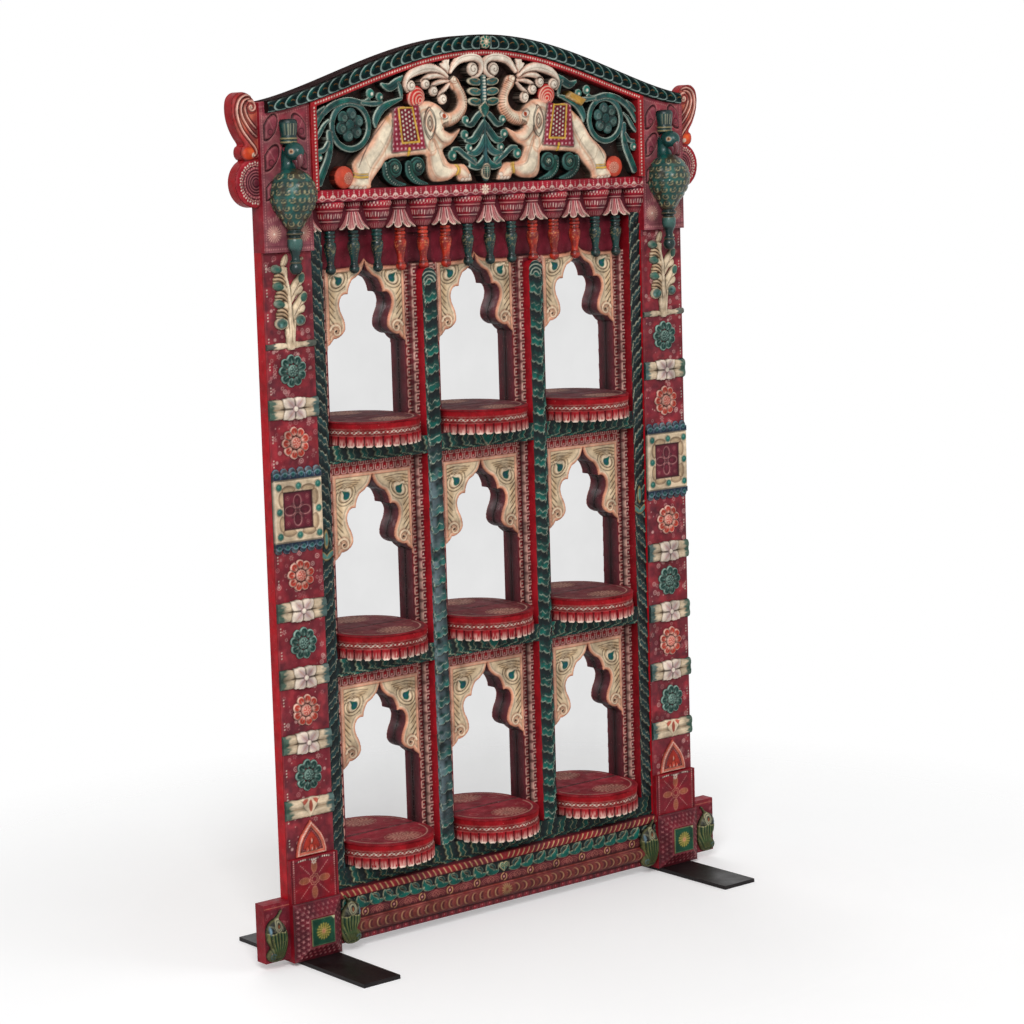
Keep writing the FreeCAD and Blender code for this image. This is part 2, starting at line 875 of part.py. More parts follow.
ELEPHANT_shares = [(-0.19, 0.84), (-0.15, 0.81), (-0.12, 0.73), (-0.10, 0.65), (-0.10, 0.57),
                   (-0.14, 0.50), (-0.20, 0.45), (-0.25, 0.44), (-0.20, 0.40), (-0.15, 0.43),
                   (-0.16, 0.38), (-0.21, 0.31), (-0.26, 0.26), (-0.24, 0.20), (-0.22, 0.16),
                   (-0.13, 0.15), (-0.09, 0.09), (-0.08, 0.02), (-0.16, 0.02), (-0.18, 0.06),
                   (-0.24, 0.02), (-0.33, 0.02), (-0.36, 0.08), (-0.37, 0.17), (-0.38, 0.23),
                   (-0.46, 0.23), (-0.61, 0.21), (-0.65, 0.14), (-0.71, 0.04), (-0.72, 0.0),
                   (-0.85, 0.0), (-0.85, 0.06), (-0.82, 0.10), (-0.82, 0.19), (-0.78, 0.26),
                   (-0.71, 0.35), (-0.66, 0.47), (-0.59, 0.56), (-0.54, 0.61), (-0.46, 0.595),
                   (-0.40, 0.64), (-0.34, 0.65), (-0.28, 0.61), (-0.24, 0.56), (-0.19, 0.57),
                   (-0.165, 0.63), (-0.17, 0.70), (-0.205, 0.75), (-0.21, 0.80)]


def make_elephants():
    """Two facing elephants, kneeling with raised trunks."""
    outline = [on_panel(share) for share in ELEPHANT_shares]
    left = plate("elephant_left", [loop(outline, panel_floor)], size.crown_board_setback,
                 "sizes.elephant_thickness")
    return [left, opposite("elephant_right", left)]


# Stems of the carving: points along the middle of each, as shares of the panel, with the
# stem's width there as a share of half the panel's width. The last row is the round curl at
# the end: its centre and its diameter.
VOLUTE_shares = [[(-0.20, 0.87, 0.03), (-0.16, 0.93, 0.04), (-0.10, 0.955, 0.05),
                  (-0.045, 0.955, 0.05), (-0.022, 0.91, 0.035), (-0.03, 0.86, 0.035),
                  (-0.068, 0.88, 0.07)],
                 [(-0.22, 0.84, 0.03), (-0.28, 0.88, 0.035), (-0.35, 0.895, 0.055),
                  (-0.42, 0.86, 0.06), (-0.48, 0.82, 0.05), (-0.49, 0.76, 0.035),
                  (-0.46, 0.77, 0.06)],
                 [(-0.22, 0.82, 0.02), (-0.29, 0.835, 0.03), (-0.35, 0.82, 0.03),
                  (-0.37, 0.775, 0.06)],
                 [(-0.22, 0.79, 0.02), (-0.28, 0.79, 0.025), (-0.32, 0.72, 0.06)],
                 [(-0.215, 0.76, 0.02), (-0.24, 0.73, 0.025), (-0.26, 0.66, 0.06)]]
BUD_shares = [(-0.26, 0.88), (-0.27, 0.93), (-0.235, 0.98), (-0.21, 0.95), (-0.21, 0.86)]
PLUME_shares = [[(0.0, 0.60, 0.03), (-0.05, 0.55, 0.035), (-0.09, 0.49, 0.035),
                 (-0.12, 0.49, 0.045)],
                [(0.0, 0.50, 0.03), (-0.045, 0.45, 0.045), (-0.085, 0.385, 0.045),
                 (-0.128, 0.38, 0.05)],
                [(0.0, 0.41, 0.03), (-0.03, 0.335, 0.045), (-0.065, 0.285, 0.045),
                 (-0.105, 0.275, 0.045)],
                [(0.0, 0.31, 0.03), (-0.02, 0.23, 0.04), (-0.05, 0.18, 0.04),
                 (-0.08, 0.17, 0.055)],
                [(-0.08, 0.19, 0.03), (-0.125, 0.23, 0.025), (-0.175, 0.275, 0.025),
                 (-0.21, 0.225, 0.055)]]
LEAF_height_shares = [0.80, 0.72, 0.64]
LEAF_shares = [(0.0, 0.035), (-0.05, 0.045), (-0.10, 0.01), (-0.06, -0.035), (0.0, -0.03)]
FOLIAGE_shares = [[(-1.0, 0.46, 0.03), (-0.97, 0.57, 0.035), (-0.90, 0.635, 0.035),
                   (-0.80, 0.655, 0.03), (-0.72, 0.64, 0.03), (-0.70, 0.72, 0.05)],
                  [(-0.94, 0.42, 0.03), (-0.94, 0.26, 0.04), (-0.98, 0.13, 0.04),
                   (-1.0, 0.05, 0.03), (-0.975, 0.24, 0.05)],
                  [(-0.55, 0.79, 0.03), (-0.60, 0.74, 0.04), (-0.62, 0.69, 0.05),
                   (-0.64, 0.68, 0.05)],
                  [(-0.50, 0.67, 0.02), (-0.58, 0.60, 0.045), (-0.65, 0.53, 0.045),
                   (-0.67, 0.47, 0.03)]]
SPRAY_shares = [(-0.47, 0.85), (-0.54, 0.82), (-0.63, 0.79), (-0.61, 0.75), (-0.54, 0.74),
                (-0.49, 0.79)]
WAVE_shares = [[(-0.51, 0.01, 0.02), (-0.59, 0.06, 0.06), (-0.62, 0.14, 0.06),
                (-0.58, 0.17, 0.05), (-0.556, 0.13, 0.05)],
               [(-0.38, 0.01, 0.02), (-0.455, 0.06, 0.06), (-0.475, 0.15, 0.06),
                (-0.44, 0.18, 0.05), (-0.408, 0.13, 0.06)]]
CURL_sides = 10


def ribbon(shares):
    """Corners of a stem that swells along its middle line."""
    stops = [on_panel(share) for share in shares]
    left = []
    right = []
    for index, stop in enumerate(stops):
        before = stops[max(index - 1, 0)]
        after = stops[min(index + 1, len(stops) - 1)]
        run = math.hypot(after[0] - before[0], after[1] - before[1])
        half = shares[index][2] * panel_half / 2
        across = (-(after[1] - before[1]) / run * half, (after[0] - before[0]) / run * half)
        left.append((stop[0] + across[0], max(stop[1] + across[1], panel_floor)))
        right.append((stop[0] - across[0], max(stop[1] - across[1], panel_floor)))
    return left + right[::-1]


def carving(name, stems, depth, extra=()):
    """Stems with their curls, and any other pieces, in one."""
    pieces = list(extra)
    for number, shares in enumerate(stems, 1):
        pieces.append(plate(f"{name}_stem_{number}", [ribbon(shares)],
                            size.crown_board_setback, depth))
        centre = on_panel(shares[-1])
        curl = polygon(centre, shares[-1][2] * panel_half / 2, CURL_sides)
        pieces.append(plate(f"{name}_curl_{number}", [curl], size.crown_board_setback, depth))
    return fused(name + "_stems", pieces)


def leaf(name, shares, depth):
    """One pointed leaf or bud of the carving."""
    return plate(name, [loop([on_panel(share) for share in shares], panel_floor)],
                 size.crown_board_setback, depth)


# Frieze

def make_frieze_rail():
    depth = "sizes.lattice_setback + sizes.lattice_depth + sizes.frieze_projection"
    return board("frieze_rail", base_length, depth, "sizes.frieze_rail_height",
                 (-strip_outer, -size.frieze_projection, frieze_bottom))


UNITS = 15
unit_pitch = 2 * strip_outer / UNITS
cup_axis = lattice_back - size.cup_board_depth


def make_cup_board():
    """The board behind the cups, between the two post blocks."""
    return board("cup_board", base_length, "sizes.cup_board_depth", "sizes.cup_height",
                 (-strip_outer, cup_axis, cup_bottom))


# Rings of the turned pieces: shares of the radius and of the height
CUP_shares = [(0.45, 0), (0.62, 0.16), (0.72, 0.34), (1, 0.66), (1, 1)]
LOTUS_shares = [(1, 0), (0.9, 0.2), (0.55, 0.45), (0.6, 1)]
PENDANT_shares = [(0.5, -1), (0.76, -0.88), (0.4, -0.7), (1, -0.4), (0.85, 0)]
TURNED_sides = 8


def make_cups():
    """Half-round corbels in turn: tiered cups, and lotuses that flare downwards."""
    behind = board("cups_behind", "2 * sizes.cup_radius", "sizes.cup_radius",
                   "sizes.cup_height", (-size.cup_radius, 0, 0))
    masters = []
    for name, shares in (("cup", CUP_shares), ("lotus", LOTUS_shares)):
        whole = turning(name + "_whole", size.cup_radius, size.cup_height, shares, TURNED_sides)
        masters.append(cut(name + "_master", whole, behind))
    corbels = []
    for kind, master in enumerate(masters):
        places = [((unit - (UNITS - 1) / 2) * unit_pitch, cup_axis, cup_bottom)
                  for unit in range(kind, UNITS, 2)]
        corbels += copies(master.Name, master, places)
    return group("frieze_cups", corbels)


def make_pendants():
    """Turned drops that hang under the cups."""
    master = turning("pendant_master", size.pendant_radius, size.pendant_length,
                     PENDANT_shares, TURNED_sides)
    count = int(size.pendant_count)
    axis_y = lattice_back / 2
    places = [((number - (count - 1) / 2) * unit_pitch, axis_y, cup_bottom)
              for number in range(count)]
    return group("pendants", copies("pendant", master, places))


# Birds, scrolls and lobes at the upper corners

BIRD_perch_share = 0.9
BIRD_shares = [(0.30, 0.0), (0.34, 0.48), (0.22, 1.0), (-0.22, 1.0), (-0.34, 0.52),
               (-0.72, 0.46), (-1.0, 0.32), (-0.98, 0.22), (-0.66, 0.28), (-0.34, 0.30),
               (-0.26, 0.16), (-0.36, 0.0)]


POT_shares = [(0.42, 0), (0.84, 0.2), (1, 0.45), (0.86, 0.72), (0.32, 1)]
SPINDLE_shares = [(0.5, -1), (0.8, -0.86), (0.4, -0.68), (0.9, -0.4), (0.6, -0.22), (1, 0)]
BRACKET_sides = 12


def make_brackets(post_block):
    """A bird on a round pot with a turned drop, cut to the face of the post block."""
    axis_y = -size.block_projection - size.bracket_axis_gap
    bottom = block_bottom + size.pot_rise
    axis = Placement(Vector(stile_middle, axis_y, bottom), Rotation())
    parts = [turning("pot", size.pot_radius, size.pot_height, POT_shares, BRACKET_sides),
             turning("spindle", size.spindle_radius, size.spindle_length, SPINDLE_shares,
                     BRACKET_sides)]
    for part in parts:
        part.Placement = axis
    bird = doc.addObject("PartDesign::Body", "bird")
    reach = size.pot_radius
    rise = size.neck_height + size.crest_height
    points = [(u * reach, v * rise) for u, v in BIRD_shares]
    sketch = sketch_on(bird, "YZ_Plane", 0, [points])
    pad = bird.newObject("PartDesign::Pad", "bird_pad")
    pad.Profile = sketch
    pad.setExpression("Length", "2 * sizes.neck_radius")
    pad.Midplane = True
    bird.Tip = pad
    perch = bottom + size.pot_height * BIRD_perch_share
    bird.Placement = Placement(Vector(stile_middle, axis_y, perch), Rotation())
    bracket = fused("bracket_whole", parts + [bird])
    return pair("bird_brackets", cut("bracket_right", bracket, post_block))


SCROLL_shares = [(0.0, 0.86), (0.12, 0.96), (0.30, 1.0), (0.55, 1.0), (0.82, 0.94),
                 (0.97, 0.84), (1.0, 0.70), (0.92, 0.50), (0.72, 0.32), (0.56, 0.22),
                 (0.66, 0.14), (0.64, 0.04), (0.50, -0.01), (0.25, -0.03), (0.0, 0.0)]


def make_side_scrolls():
    """A scroll over a round lobe, sawn from one board and fixed to the post's side."""
    foot = block_bottom + size.lobe_rise + 2 * size.lobe_radius
    points = [(stile_outer + u * size.scroll_width, foot + v * size.scroll_height)
              for u, v in SCROLL_shares]
    scroll = plate("scroll_part", [points], size.scroll_depth, "sizes.scroll_depth")
    middle = block_bottom + size.lobe_rise + size.lobe_radius
    half = size.lobe_radius
    reach = size.scroll_width - half
    chord = math.sqrt(half ** 2 - reach ** 2)
    lobe = plate("lobe_part",
                 [path((stile_outer, middle - chord),
                       [(stile_outer + size.scroll_width, middle),
                        (stile_outer, middle + chord)])],
                 size.scroll_depth, "sizes.scroll_depth")
    return pair("side_scrolls", fused("scroll_right", [scroll, lobe]))


# Crown carvings

BALL_shares = [(-0.42, 0.69), (-0.885, 0.10)]
ROUNDEL_share = (-0.82, 0.47)
ROUNDEL_sides = 16
PLUME_axis_shares = [(0.012, 0.03), (0.032, 0.08), (0.02, 0.16), (0.012, 0.30),
                     (0.015, 0.48), (0.035, 0.56), (0.015, 0.64), (0.018, 0.84)]


DOME_shares = [(1, 0), (1, 0.3), (0.75, 0.75), (0.3, 1)]


def make_balls():
    """Domed balls, one behind the head and one beside the hind foot."""
    dome = turning("ball_master", size.crown_ball_radius, size.crown_ball_height,
                   DOME_shares, CURL_sides)
    forward = Rotation(Vector(1, 0, 0), 90)
    places = []
    for share in BALL_shares:
        x, z = on_panel(share)
        places.append(Placement(Vector(x, size.crown_board_setback, z), forward))
    return group("balls_left", copies("ball", dome, places))


def both_sides(name, piece):
    return fused(name, [piece, opposite(name + "_right", piece)])


def make_volutes(figures, fillet):
    """Scrolling leaves from the tip of the trunk, cut clear of figures and frame."""
    bud = leaf("volute_bud", BUD_shares, "sizes.volute_thickness")
    stems = carving("volute", VOLUTE_shares, "sizes.volute_thickness", [bud])
    around_them = fused("volute_surround", [figures, fillet])
    return cut("volutes_left", stems, around_them)


def make_plume(volutes, figures):
    """The middle plume: a stem with leaves and curling fronds."""
    axis_points = [on_panel(share) for share in PLUME_axis_shares]
    axis = plate("plume_axis", [axis_points + mirrored(axis_points)],
                 size.crown_board_setback, "sizes.plume_thickness")
    leaves = [leaf(f"plume_leaf_{number}",
                   [(u, v + height) for u, v in LEAF_shares], "sizes.plume_thickness")
              for number, height in enumerate(LEAF_height_shares, 1)]
    fronds = carving("plume", PLUME_shares, "sizes.plume_thickness", leaves)
    whole = fused("plume_whole", [axis, both_sides("plume_fronds", fronds)])
    others = fused("plume_others", [both_sides("plume_figures", figures),
                                    both_sides("plume_volutes", volutes)])
    return cut("crown_plume", whole, others)


def make_foliage(figures, volutes, fillet):
    """Leaf scrolls round a roundel with a flower, and waves under the belly."""
    centre = on_panel(ROUNDEL_share)
    ring = plate("roundel_ring",
                 [polygon(centre, size.roundel_radius, ROUNDEL_sides),
                  polygon(centre, size.roundel_radius - size.roundel_width, ROUNDEL_sides)],
                 size.crown_board_setback, "sizes.foliage_thickness")
    spray = leaf("foliage_spray", SPRAY_shares, "sizes.foliage_thickness")
    stems = carving("foliage", FOLIAGE_shares + WAVE_shares, "sizes.foliage_thickness",
                    [ring, spray])
    around_them = fused("foliage_surround", [figures, fillet, volutes])
    foliage = cut("foliage_left", stems, around_them)
    flower = plate("roundel_flower_master", [rosette_outline()], 0, "sizes.foliage_thickness")
    blossom = copies("blossom", flower, [(centre[0], size.crown_board_setback, centre[1])])
    return pair("crown_foliage", group("foliage_and_flower", [foliage] + blossom))


def make_crown_carvings(elephant, fillet):
    balls = cut("balls_clear", make_balls(), elephant)
    figures = fused("figures", [elephant, balls])
    volutes = make_volutes(figures, fillet)
    return [pair("crown_balls", balls), pair("crown_volutes", volutes),
            make_plume(volutes, figures), make_foliage(figures, volutes, fillet)]


def make_all():
    nodes = [make_feet(), make_plinths(), make_tiles(), make_wings(), make_base_rail(),
             make_scroll_band(), make_rope(), make_sill(), make_mangoes()]
    nodes += make_stiles()
    nodes += [make_inner_strips(), make_mullions(), make_transoms()]
    nodes += make_arch_boards()
    nodes += make_shelves()
    nodes += [make_mirrors(), make_back_board(), make_side_boards(), make_head_rail(),
              make_bottom_rail(), make_battens()]
    nodes += [make_rosettes(), make_bands(), make_plaques(), make_trees(), make_ogees(),
              make_base_panels()]
    fillet = make_crown_fillet()
    elephants = make_elephants()
    blocks = make_post_blocks()
    nodes += [make_cornice(), fillet, make_crown_board(), blocks]
    nodes += elephants
    nodes += make_crown_carvings(elephants[0], fillet)
    nodes += [make_frieze_rail(), make_cup_board(), make_cups(), make_pendants()]
    nodes += [make_brackets(blocks), make_side_scrolls()]
    return nodes


def check(nodes):
    """Stop on a failed feature or a bad solid, before anything is written."""
    for item in doc.Objects:
        if "Invalid" in item.State or "Error" in item.State:
            raise RuntimeError(f"{item.Name} failed: {item.State}")
    for node in nodes:
        if node.Shape.isNull() or not node.Shape.isValid() or not node.Shape.Solids:
            raise RuntimeError(f"{node.Name} has no valid solid")


def write(nodes):
    os.makedirs("parts", exist_ok=True)
    for node in nodes:
        node.Label = node.Name
        node.Shape.exportStep(f"parts/{node.Name}.step")


nodes = make_all()
doc.recompute()
check(nodes)
write(nodes)
print(len(nodes), "nodes,", sum(len(node.Shape.Solids) for node in nodes), "solids")
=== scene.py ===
import math

import bpy
import numpy as np
from mathutils import Matrix, Vector


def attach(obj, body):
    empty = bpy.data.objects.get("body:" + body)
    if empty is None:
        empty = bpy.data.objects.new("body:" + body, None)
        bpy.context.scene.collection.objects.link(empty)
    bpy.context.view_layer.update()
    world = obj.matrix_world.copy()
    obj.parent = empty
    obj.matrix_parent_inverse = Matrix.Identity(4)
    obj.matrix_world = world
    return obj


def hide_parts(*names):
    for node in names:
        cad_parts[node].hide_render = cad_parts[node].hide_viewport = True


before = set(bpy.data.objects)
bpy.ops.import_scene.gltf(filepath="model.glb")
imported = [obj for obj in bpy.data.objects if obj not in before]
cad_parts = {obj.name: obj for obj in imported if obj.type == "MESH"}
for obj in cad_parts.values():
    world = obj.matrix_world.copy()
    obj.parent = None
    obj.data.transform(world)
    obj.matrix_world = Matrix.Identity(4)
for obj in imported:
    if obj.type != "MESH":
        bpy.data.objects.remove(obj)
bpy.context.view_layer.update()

# Looks of the carved and painted mirror frame. Lengths are millimetres, and metres only in
# the stage and the materials. Every carved face is a patch: a grid of points with a paint
# colour and a rise over its ground, laid out flat and then placed on the piece it belongs
# to.

MM = 0.001
SIDES = (-1, 1)
ROUND = (-math.pi, math.pi)

# Pitch of the points of plain and of fine patches, and a distance that counts as outside

GRID = 1.6
FINE = 1.35
FAR = 9


def paint(red, green, blue):
    """Linear colour of a paint given as the usual 0 to 255 values."""
    shares = np.array([red, green, blue]) / 255
    return np.where(shares <= 0.04045, shares / 12.92, ((shares + 0.055) / 1.055) ** 2.4)


CRIMSON = paint(148, 16, 30)
RED = paint(172, 28, 36)
MAROON = paint(98, 32, 44)
DEEP_MAROON = paint(66, 24, 34)
SHADOW = paint(26, 16, 20)
BLACK_TEAL = paint(14, 26, 28)
DEEP_TEAL = paint(14, 50, 50)
TEAL = paint(6, 98, 86)
PALE_TEAL = paint(96, 150, 140)
CREAM = paint(222, 200, 170)
IVORY = paint(236, 222, 204)
PEACH = paint(220, 150, 120)
ORANGE = paint(182, 62, 44)
PINK = paint(206, 142, 136)
DUSTY_PINK = paint(168, 92, 96)
GOLD = paint(190, 156, 98)
OCHRE = paint(172, 120, 56)
BROWN = paint(98, 66, 46)
BLUE = paint(44, 78, 118)
PALE_BLUE = paint(116, 150, 172)


# Shapes, most of them signed distances in millimetres: less than zero inside

def disc(u, v, centre, radius):
    return np.hypot(u - centre[0], v - centre[1]) - radius


def ellipse(u, v, centre, half_u, half_v, turn=0.0):
    du, dv = u - centre[0], v - centre[1]
    a = du * math.cos(turn) + dv * math.sin(turn)
    b = -du * math.sin(turn) + dv * math.cos(turn)
    return (np.hypot(a / half_u, b / half_v) - 1) * min(half_u, half_v)


def rect(u, v, left, bottom, right, top, corner=0.0):
    du = np.abs(u - (left + right) / 2) - (right - left) / 2 + corner
    dv = np.abs(v - (bottom + top) / 2) - (top - bottom) / 2 + corner
    outside = np.hypot(np.maximum(du, 0), np.maximum(dv, 0))
    return outside + np.minimum(np.maximum(du, dv), 0) - corner


def segment(u, v, a, b, half_a, half_b):
    """A straight stroke from a to b whose half width changes along it."""
    along = np.array([b[0] - a[0], b[1] - a[1]])
    length_squared = max(along @ along, 1e-9)
    share = np.clip(((u - a[0]) * along[0] + (v - a[1]) * along[1]) / length_squared, 0, 1)
    gap = np.hypot(u - a[0] - share * along[0], v - a[1] - share * along[1])
    return gap - (half_a + (half_b - half_a) * share)


def polygon(u, v, corners):
    """Signed distance to a closed outline of corners."""
    squared = np.full(u.shape, 1e12)
    inside = np.zeros(u.shape, bool)
    for (au, av), (bu, bv) in zip(corners, corners[1:] + corners[:1]):
        eu, ev = bu - au, bv - av
        wu, wv = u - au, v - av
        share = np.clip((wu * eu + wv * ev) / max(eu * eu + ev * ev, 1e-12), 0, 1)
        squared = np.minimum(squared, (wu - eu * share) ** 2 + (wv - ev * share) ** 2)
        crosses = (av > v) != (bv > v)
        if bv != av:
            inside ^= crosses & (u < au + (v - av) * eu / ev)
    return np.where(inside, -1, 1) * np.sqrt(squared)


def smooth(points, steps=6, closed=False):
    """Catmull-Rom curve through rows of numbers, such as places with a width."""
    rows = [np.array(point, float) for point in points]
    count = len(rows) if closed else len(rows) - 1
    curve = []
    for index in range(count):
        if closed:
            p0, p1, p2, p3 = (rows[(index + k) % len(rows)] for k in (-1, 0, 1, 2))
        else:
            p0, p1 = rows[max(index - 1, 0)], rows[index]
            p2, p3 = rows[index + 1], rows[min(index + 2, len(rows) - 1)]
        for step in range(steps):
            t = step / steps
            curve.append(0.5 * (2 * p1 + (p2 - p0) * t + (2 * p0 - 5 * p1 + 4 * p2 - p3) * t * t
                                + (3 * p1 - p0 - 3 * p2 + p3) * t ** 3))
    if not closed:
        curve.append(rows[-1])
    return curve


def stroke(u, v, points, steps=6):
    """A curved stroke through rows of place and full width."""
    curve = smooth(points, steps)
    gap = np.full(u.shape, 1e6)
    for a, b in zip(curve, curve[1:]):
        gap = np.minimum(gap, segment(u, v, a, b, a[2] / 2, b[2] / 2))
    return gap


def spiral(centre, radius, start, turns, width, steps=14):
    """Rows of place and width of a curl that winds inwards."""
    rows = []
    for step in range(steps + 1):
        share = step / steps
        reach = radius * (1 - 0.85 * share)
        turn = start + turns * 2 * math.pi * share
        rows.append((centre[0] + reach * math.cos(turn), centre[1] + reach * math.sin(turn),
                     width * (1 - 0.5 * share)))
    return rows


def along_curve(u, v, points, steps=6):
    """How far each place is along a curve, and how far off it to the left."""
    curve = smooth(points, steps)
    best = np.full(u.shape, 1e6)
    reach, aside = np.zeros(u.shape), np.zeros(u.shape)
    done = 0.0
    for a, b in zip(curve, curve[1:]):
        eu, ev = b[0] - a[0], b[1] - a[1]
        length = max(math.hypot(eu, ev), 1e-6)
        share = np.clip(((u - a[0]) * eu + (v - a[1]) * ev) / length ** 2, 0, 1)
        du, dv = u - a[0] - share * eu, v - a[1] - share * ev
        gap = np.hypot(du, dv)
        near = gap < best
        best = np.where(near, gap, best)
        reach = np.where(near, done + share * length, reach)
        aside = np.where(near, (eu * dv - ev * du) / length, aside)
        done += length
    return reach, aside


def union(*gaps):
    return np.minimum.reduce(gaps)


def only(where, gap):
    """A shape where that holds, and far outside it elsewhere."""
    return np.where(where, gap, FAR)


def outline_of(points, steps=6, closed=False):
    """A smooth curve as corners for a polygon."""
    return [(float(row[0]), float(row[1])) for row in smooth(points, steps, closed)]


def rounded(gap, bevel):
    """Share of the full height inside a shape whose edge is a quarter round."""
    return np.sqrt(1 - (1 - np.clip(-gap / bevel, 0, 1)) ** 2)


def dome(away, radius):
    """Share of the full height on a ball, from the distance to its middle."""
    return np.sqrt(np.clip(1 - (away / radius) ** 2, 0, 1))


def petals(u, v, centre, count, reach, half_width, start=0.0, gap=0.0):
    """Round petals about a centre: each is an ellipse along its own direction."""
    du, dv = u - centre[0], v - centre[1]
    turn = np.arctan2(dv, du) - start
    step = 2 * math.pi / count
    local = (turn + step / 2) % step - step / 2
    radius = np.hypot(du, dv)
    a, b = radius * np.cos(local), radius * np.sin(local)
    middle = (reach + gap) / 2
    return (np.hypot((a - middle) / (reach - middle), b / half_width) - 1) * half_width


def wrap(values, pitch, start=0.0):
    """Place within a repeat, from minus half to half a pitch, and the repeat's number."""
    number = np.floor((values - start) / pitch + 0.5)
    return values - start - number * pitch, number


def noise(u, v, scale, seed):
    """Soft value noise from seeded random numbers on a lattice of that spacing."""
    table = np.random.default_rng(seed).random((64, 64))
    a, b = u / scale, v / scale
    i, j = np.floor(a).astype(int), np.floor(b).astype(int)
    s, t = a - i, b - j
    s, t = s * s * (3 - 2 * s), t * t * (3 - 2 * t)
    corner = [[table[(i + di) % 64, (j + dj) % 64] for dj in (0, 1)] for di in (0, 1)]
    low = corner[0][0] * (1 - s) + corner[1][0] * s
    high = corner[0][1] * (1 - s) + corner[1][1] * s
    return low * (1 - t) + high * t


def cover(gap, edge=1.5):
    """How much of each point a shape covers, with a soft edge of that width."""
    return np.clip(0.5 - gap / edge, 0, 1)


class Patch:
    """A grid of flat places with a paint and a rise at each point."""

    def __init__(self, u_values, v_values, ground):
        self.u, self.v = np.meshgrid(u_values, v_values, indexing="ij")
        self.colour = np.empty(self.u.shape + (3,))
        self.colour[:] = ground
        self.rise = np.zeros(self.u.shape)

    def window(self, left, bottom, right, top):
        """The part of the patch inside a box, which shares its paint and rise."""
        us, vs = self.u[:, 0], self.v[0]
        a, b = np.searchsorted(us, left), np.searchsorted(us, right)
        c, d = np.searchsorted(vs, bottom), np.searchsorted(vs, top)
        part = Patch.__new__(Patch)
        part.u, part.v = self.u[a:b, c:d], self.v[a:b, c:d]
        part.colour, part.rise = self.colour[a:b, c:d], self.rise[a:b, c:d]
        return part

    def tint(self, gap, colour, share=1.0, edge=1.5):
        """Paint a shape."""
        self.blend(colour, cover(gap, edge) * share)

    def line(self, gap, colour, width, share=1.0, edge=1.3):
        """Paint a line of that width along the edge of a shape."""
        self.tint(np.abs(gap) - width / 2, colour, share, edge)

    def lift(self, gap, height, bevel, over=None):
        """Raise a shape over the ground, or over what lies under it, with a round edge."""
        profile = rounded(gap, bevel) * height
        if over is None:
            self.rise[:] = np.maximum(self.rise, profile)
        else:
            self.rise[:] = np.where(gap < 0, np.maximum(self.rise, over + profile), self.rise)

    def pile(self, gap, height, bevel):
        """Raise a shape over all that lies under it."""
        self.lift(gap, height, bevel, self.rise)

    def level(self, gap, rise):
        """Give the inside of a shape that rise."""
        self.rise[:] = np.where(gap < 0, rise, self.rise)

    def blend(self, colour, amount):
        """Mix in a paint by an amount at each point."""
        self.colour += (colour - self.colour) * amount[..., None]

    def carve(self, gap, depth, bevel):
        """Cut a shape into the surface."""
        self.rise -= np.clip(-gap / bevel + 0.5, 0, 1) * depth

    def age_and_shade_hollows(self, seed, strength=1.0, dust=DUSTY_PINK):
        """Paint shade into the hollows, rub dust onto the crests and mottle the paint."""
        soft, wide = self.rise.copy(), self.rise.copy()
        for _ in range(3):
            for axis in (0, 1):
                soft = (np.roll(soft, 1, axis) + soft + np.roll(soft, -1, axis)) / 3
                wide = (np.roll(wide, 3, axis) + wide + np.roll(wide, -3, axis)) / 3
        crest = np.clip(self.rise - soft, -1.2, 1.2)
        # Painted shade: the colour darkens where the relief lies below its blurred copy, as hollows
        # would be shaded
        hollow = np.minimum(crest, 0) + 0.30 * np.clip(self.rise - wide, -3, 0)
        self.colour *= np.exp(strength * 0.95 * hollow).clip(0.22, 1)[..., None]
        self.blend(dust, np.clip(crest * 0.22 * strength, 0, 0.30)
                   * noise(self.u, self.v, 9, seed))
        mottle = noise(self.u, self.v, 23, seed + 1) + 0.6 * noise(self.u, self.v, 6, seed + 2)
        self.colour *= (1 + strength * 0.30 * (mottle - 0.84))[..., None]
        grime = np.clip(noise(self.u, self.v, 34, seed + 3) * 2.6 - 1.5, 0, 1)
        self.colour *= (1 - strength * 0.26 * grime)[..., None]


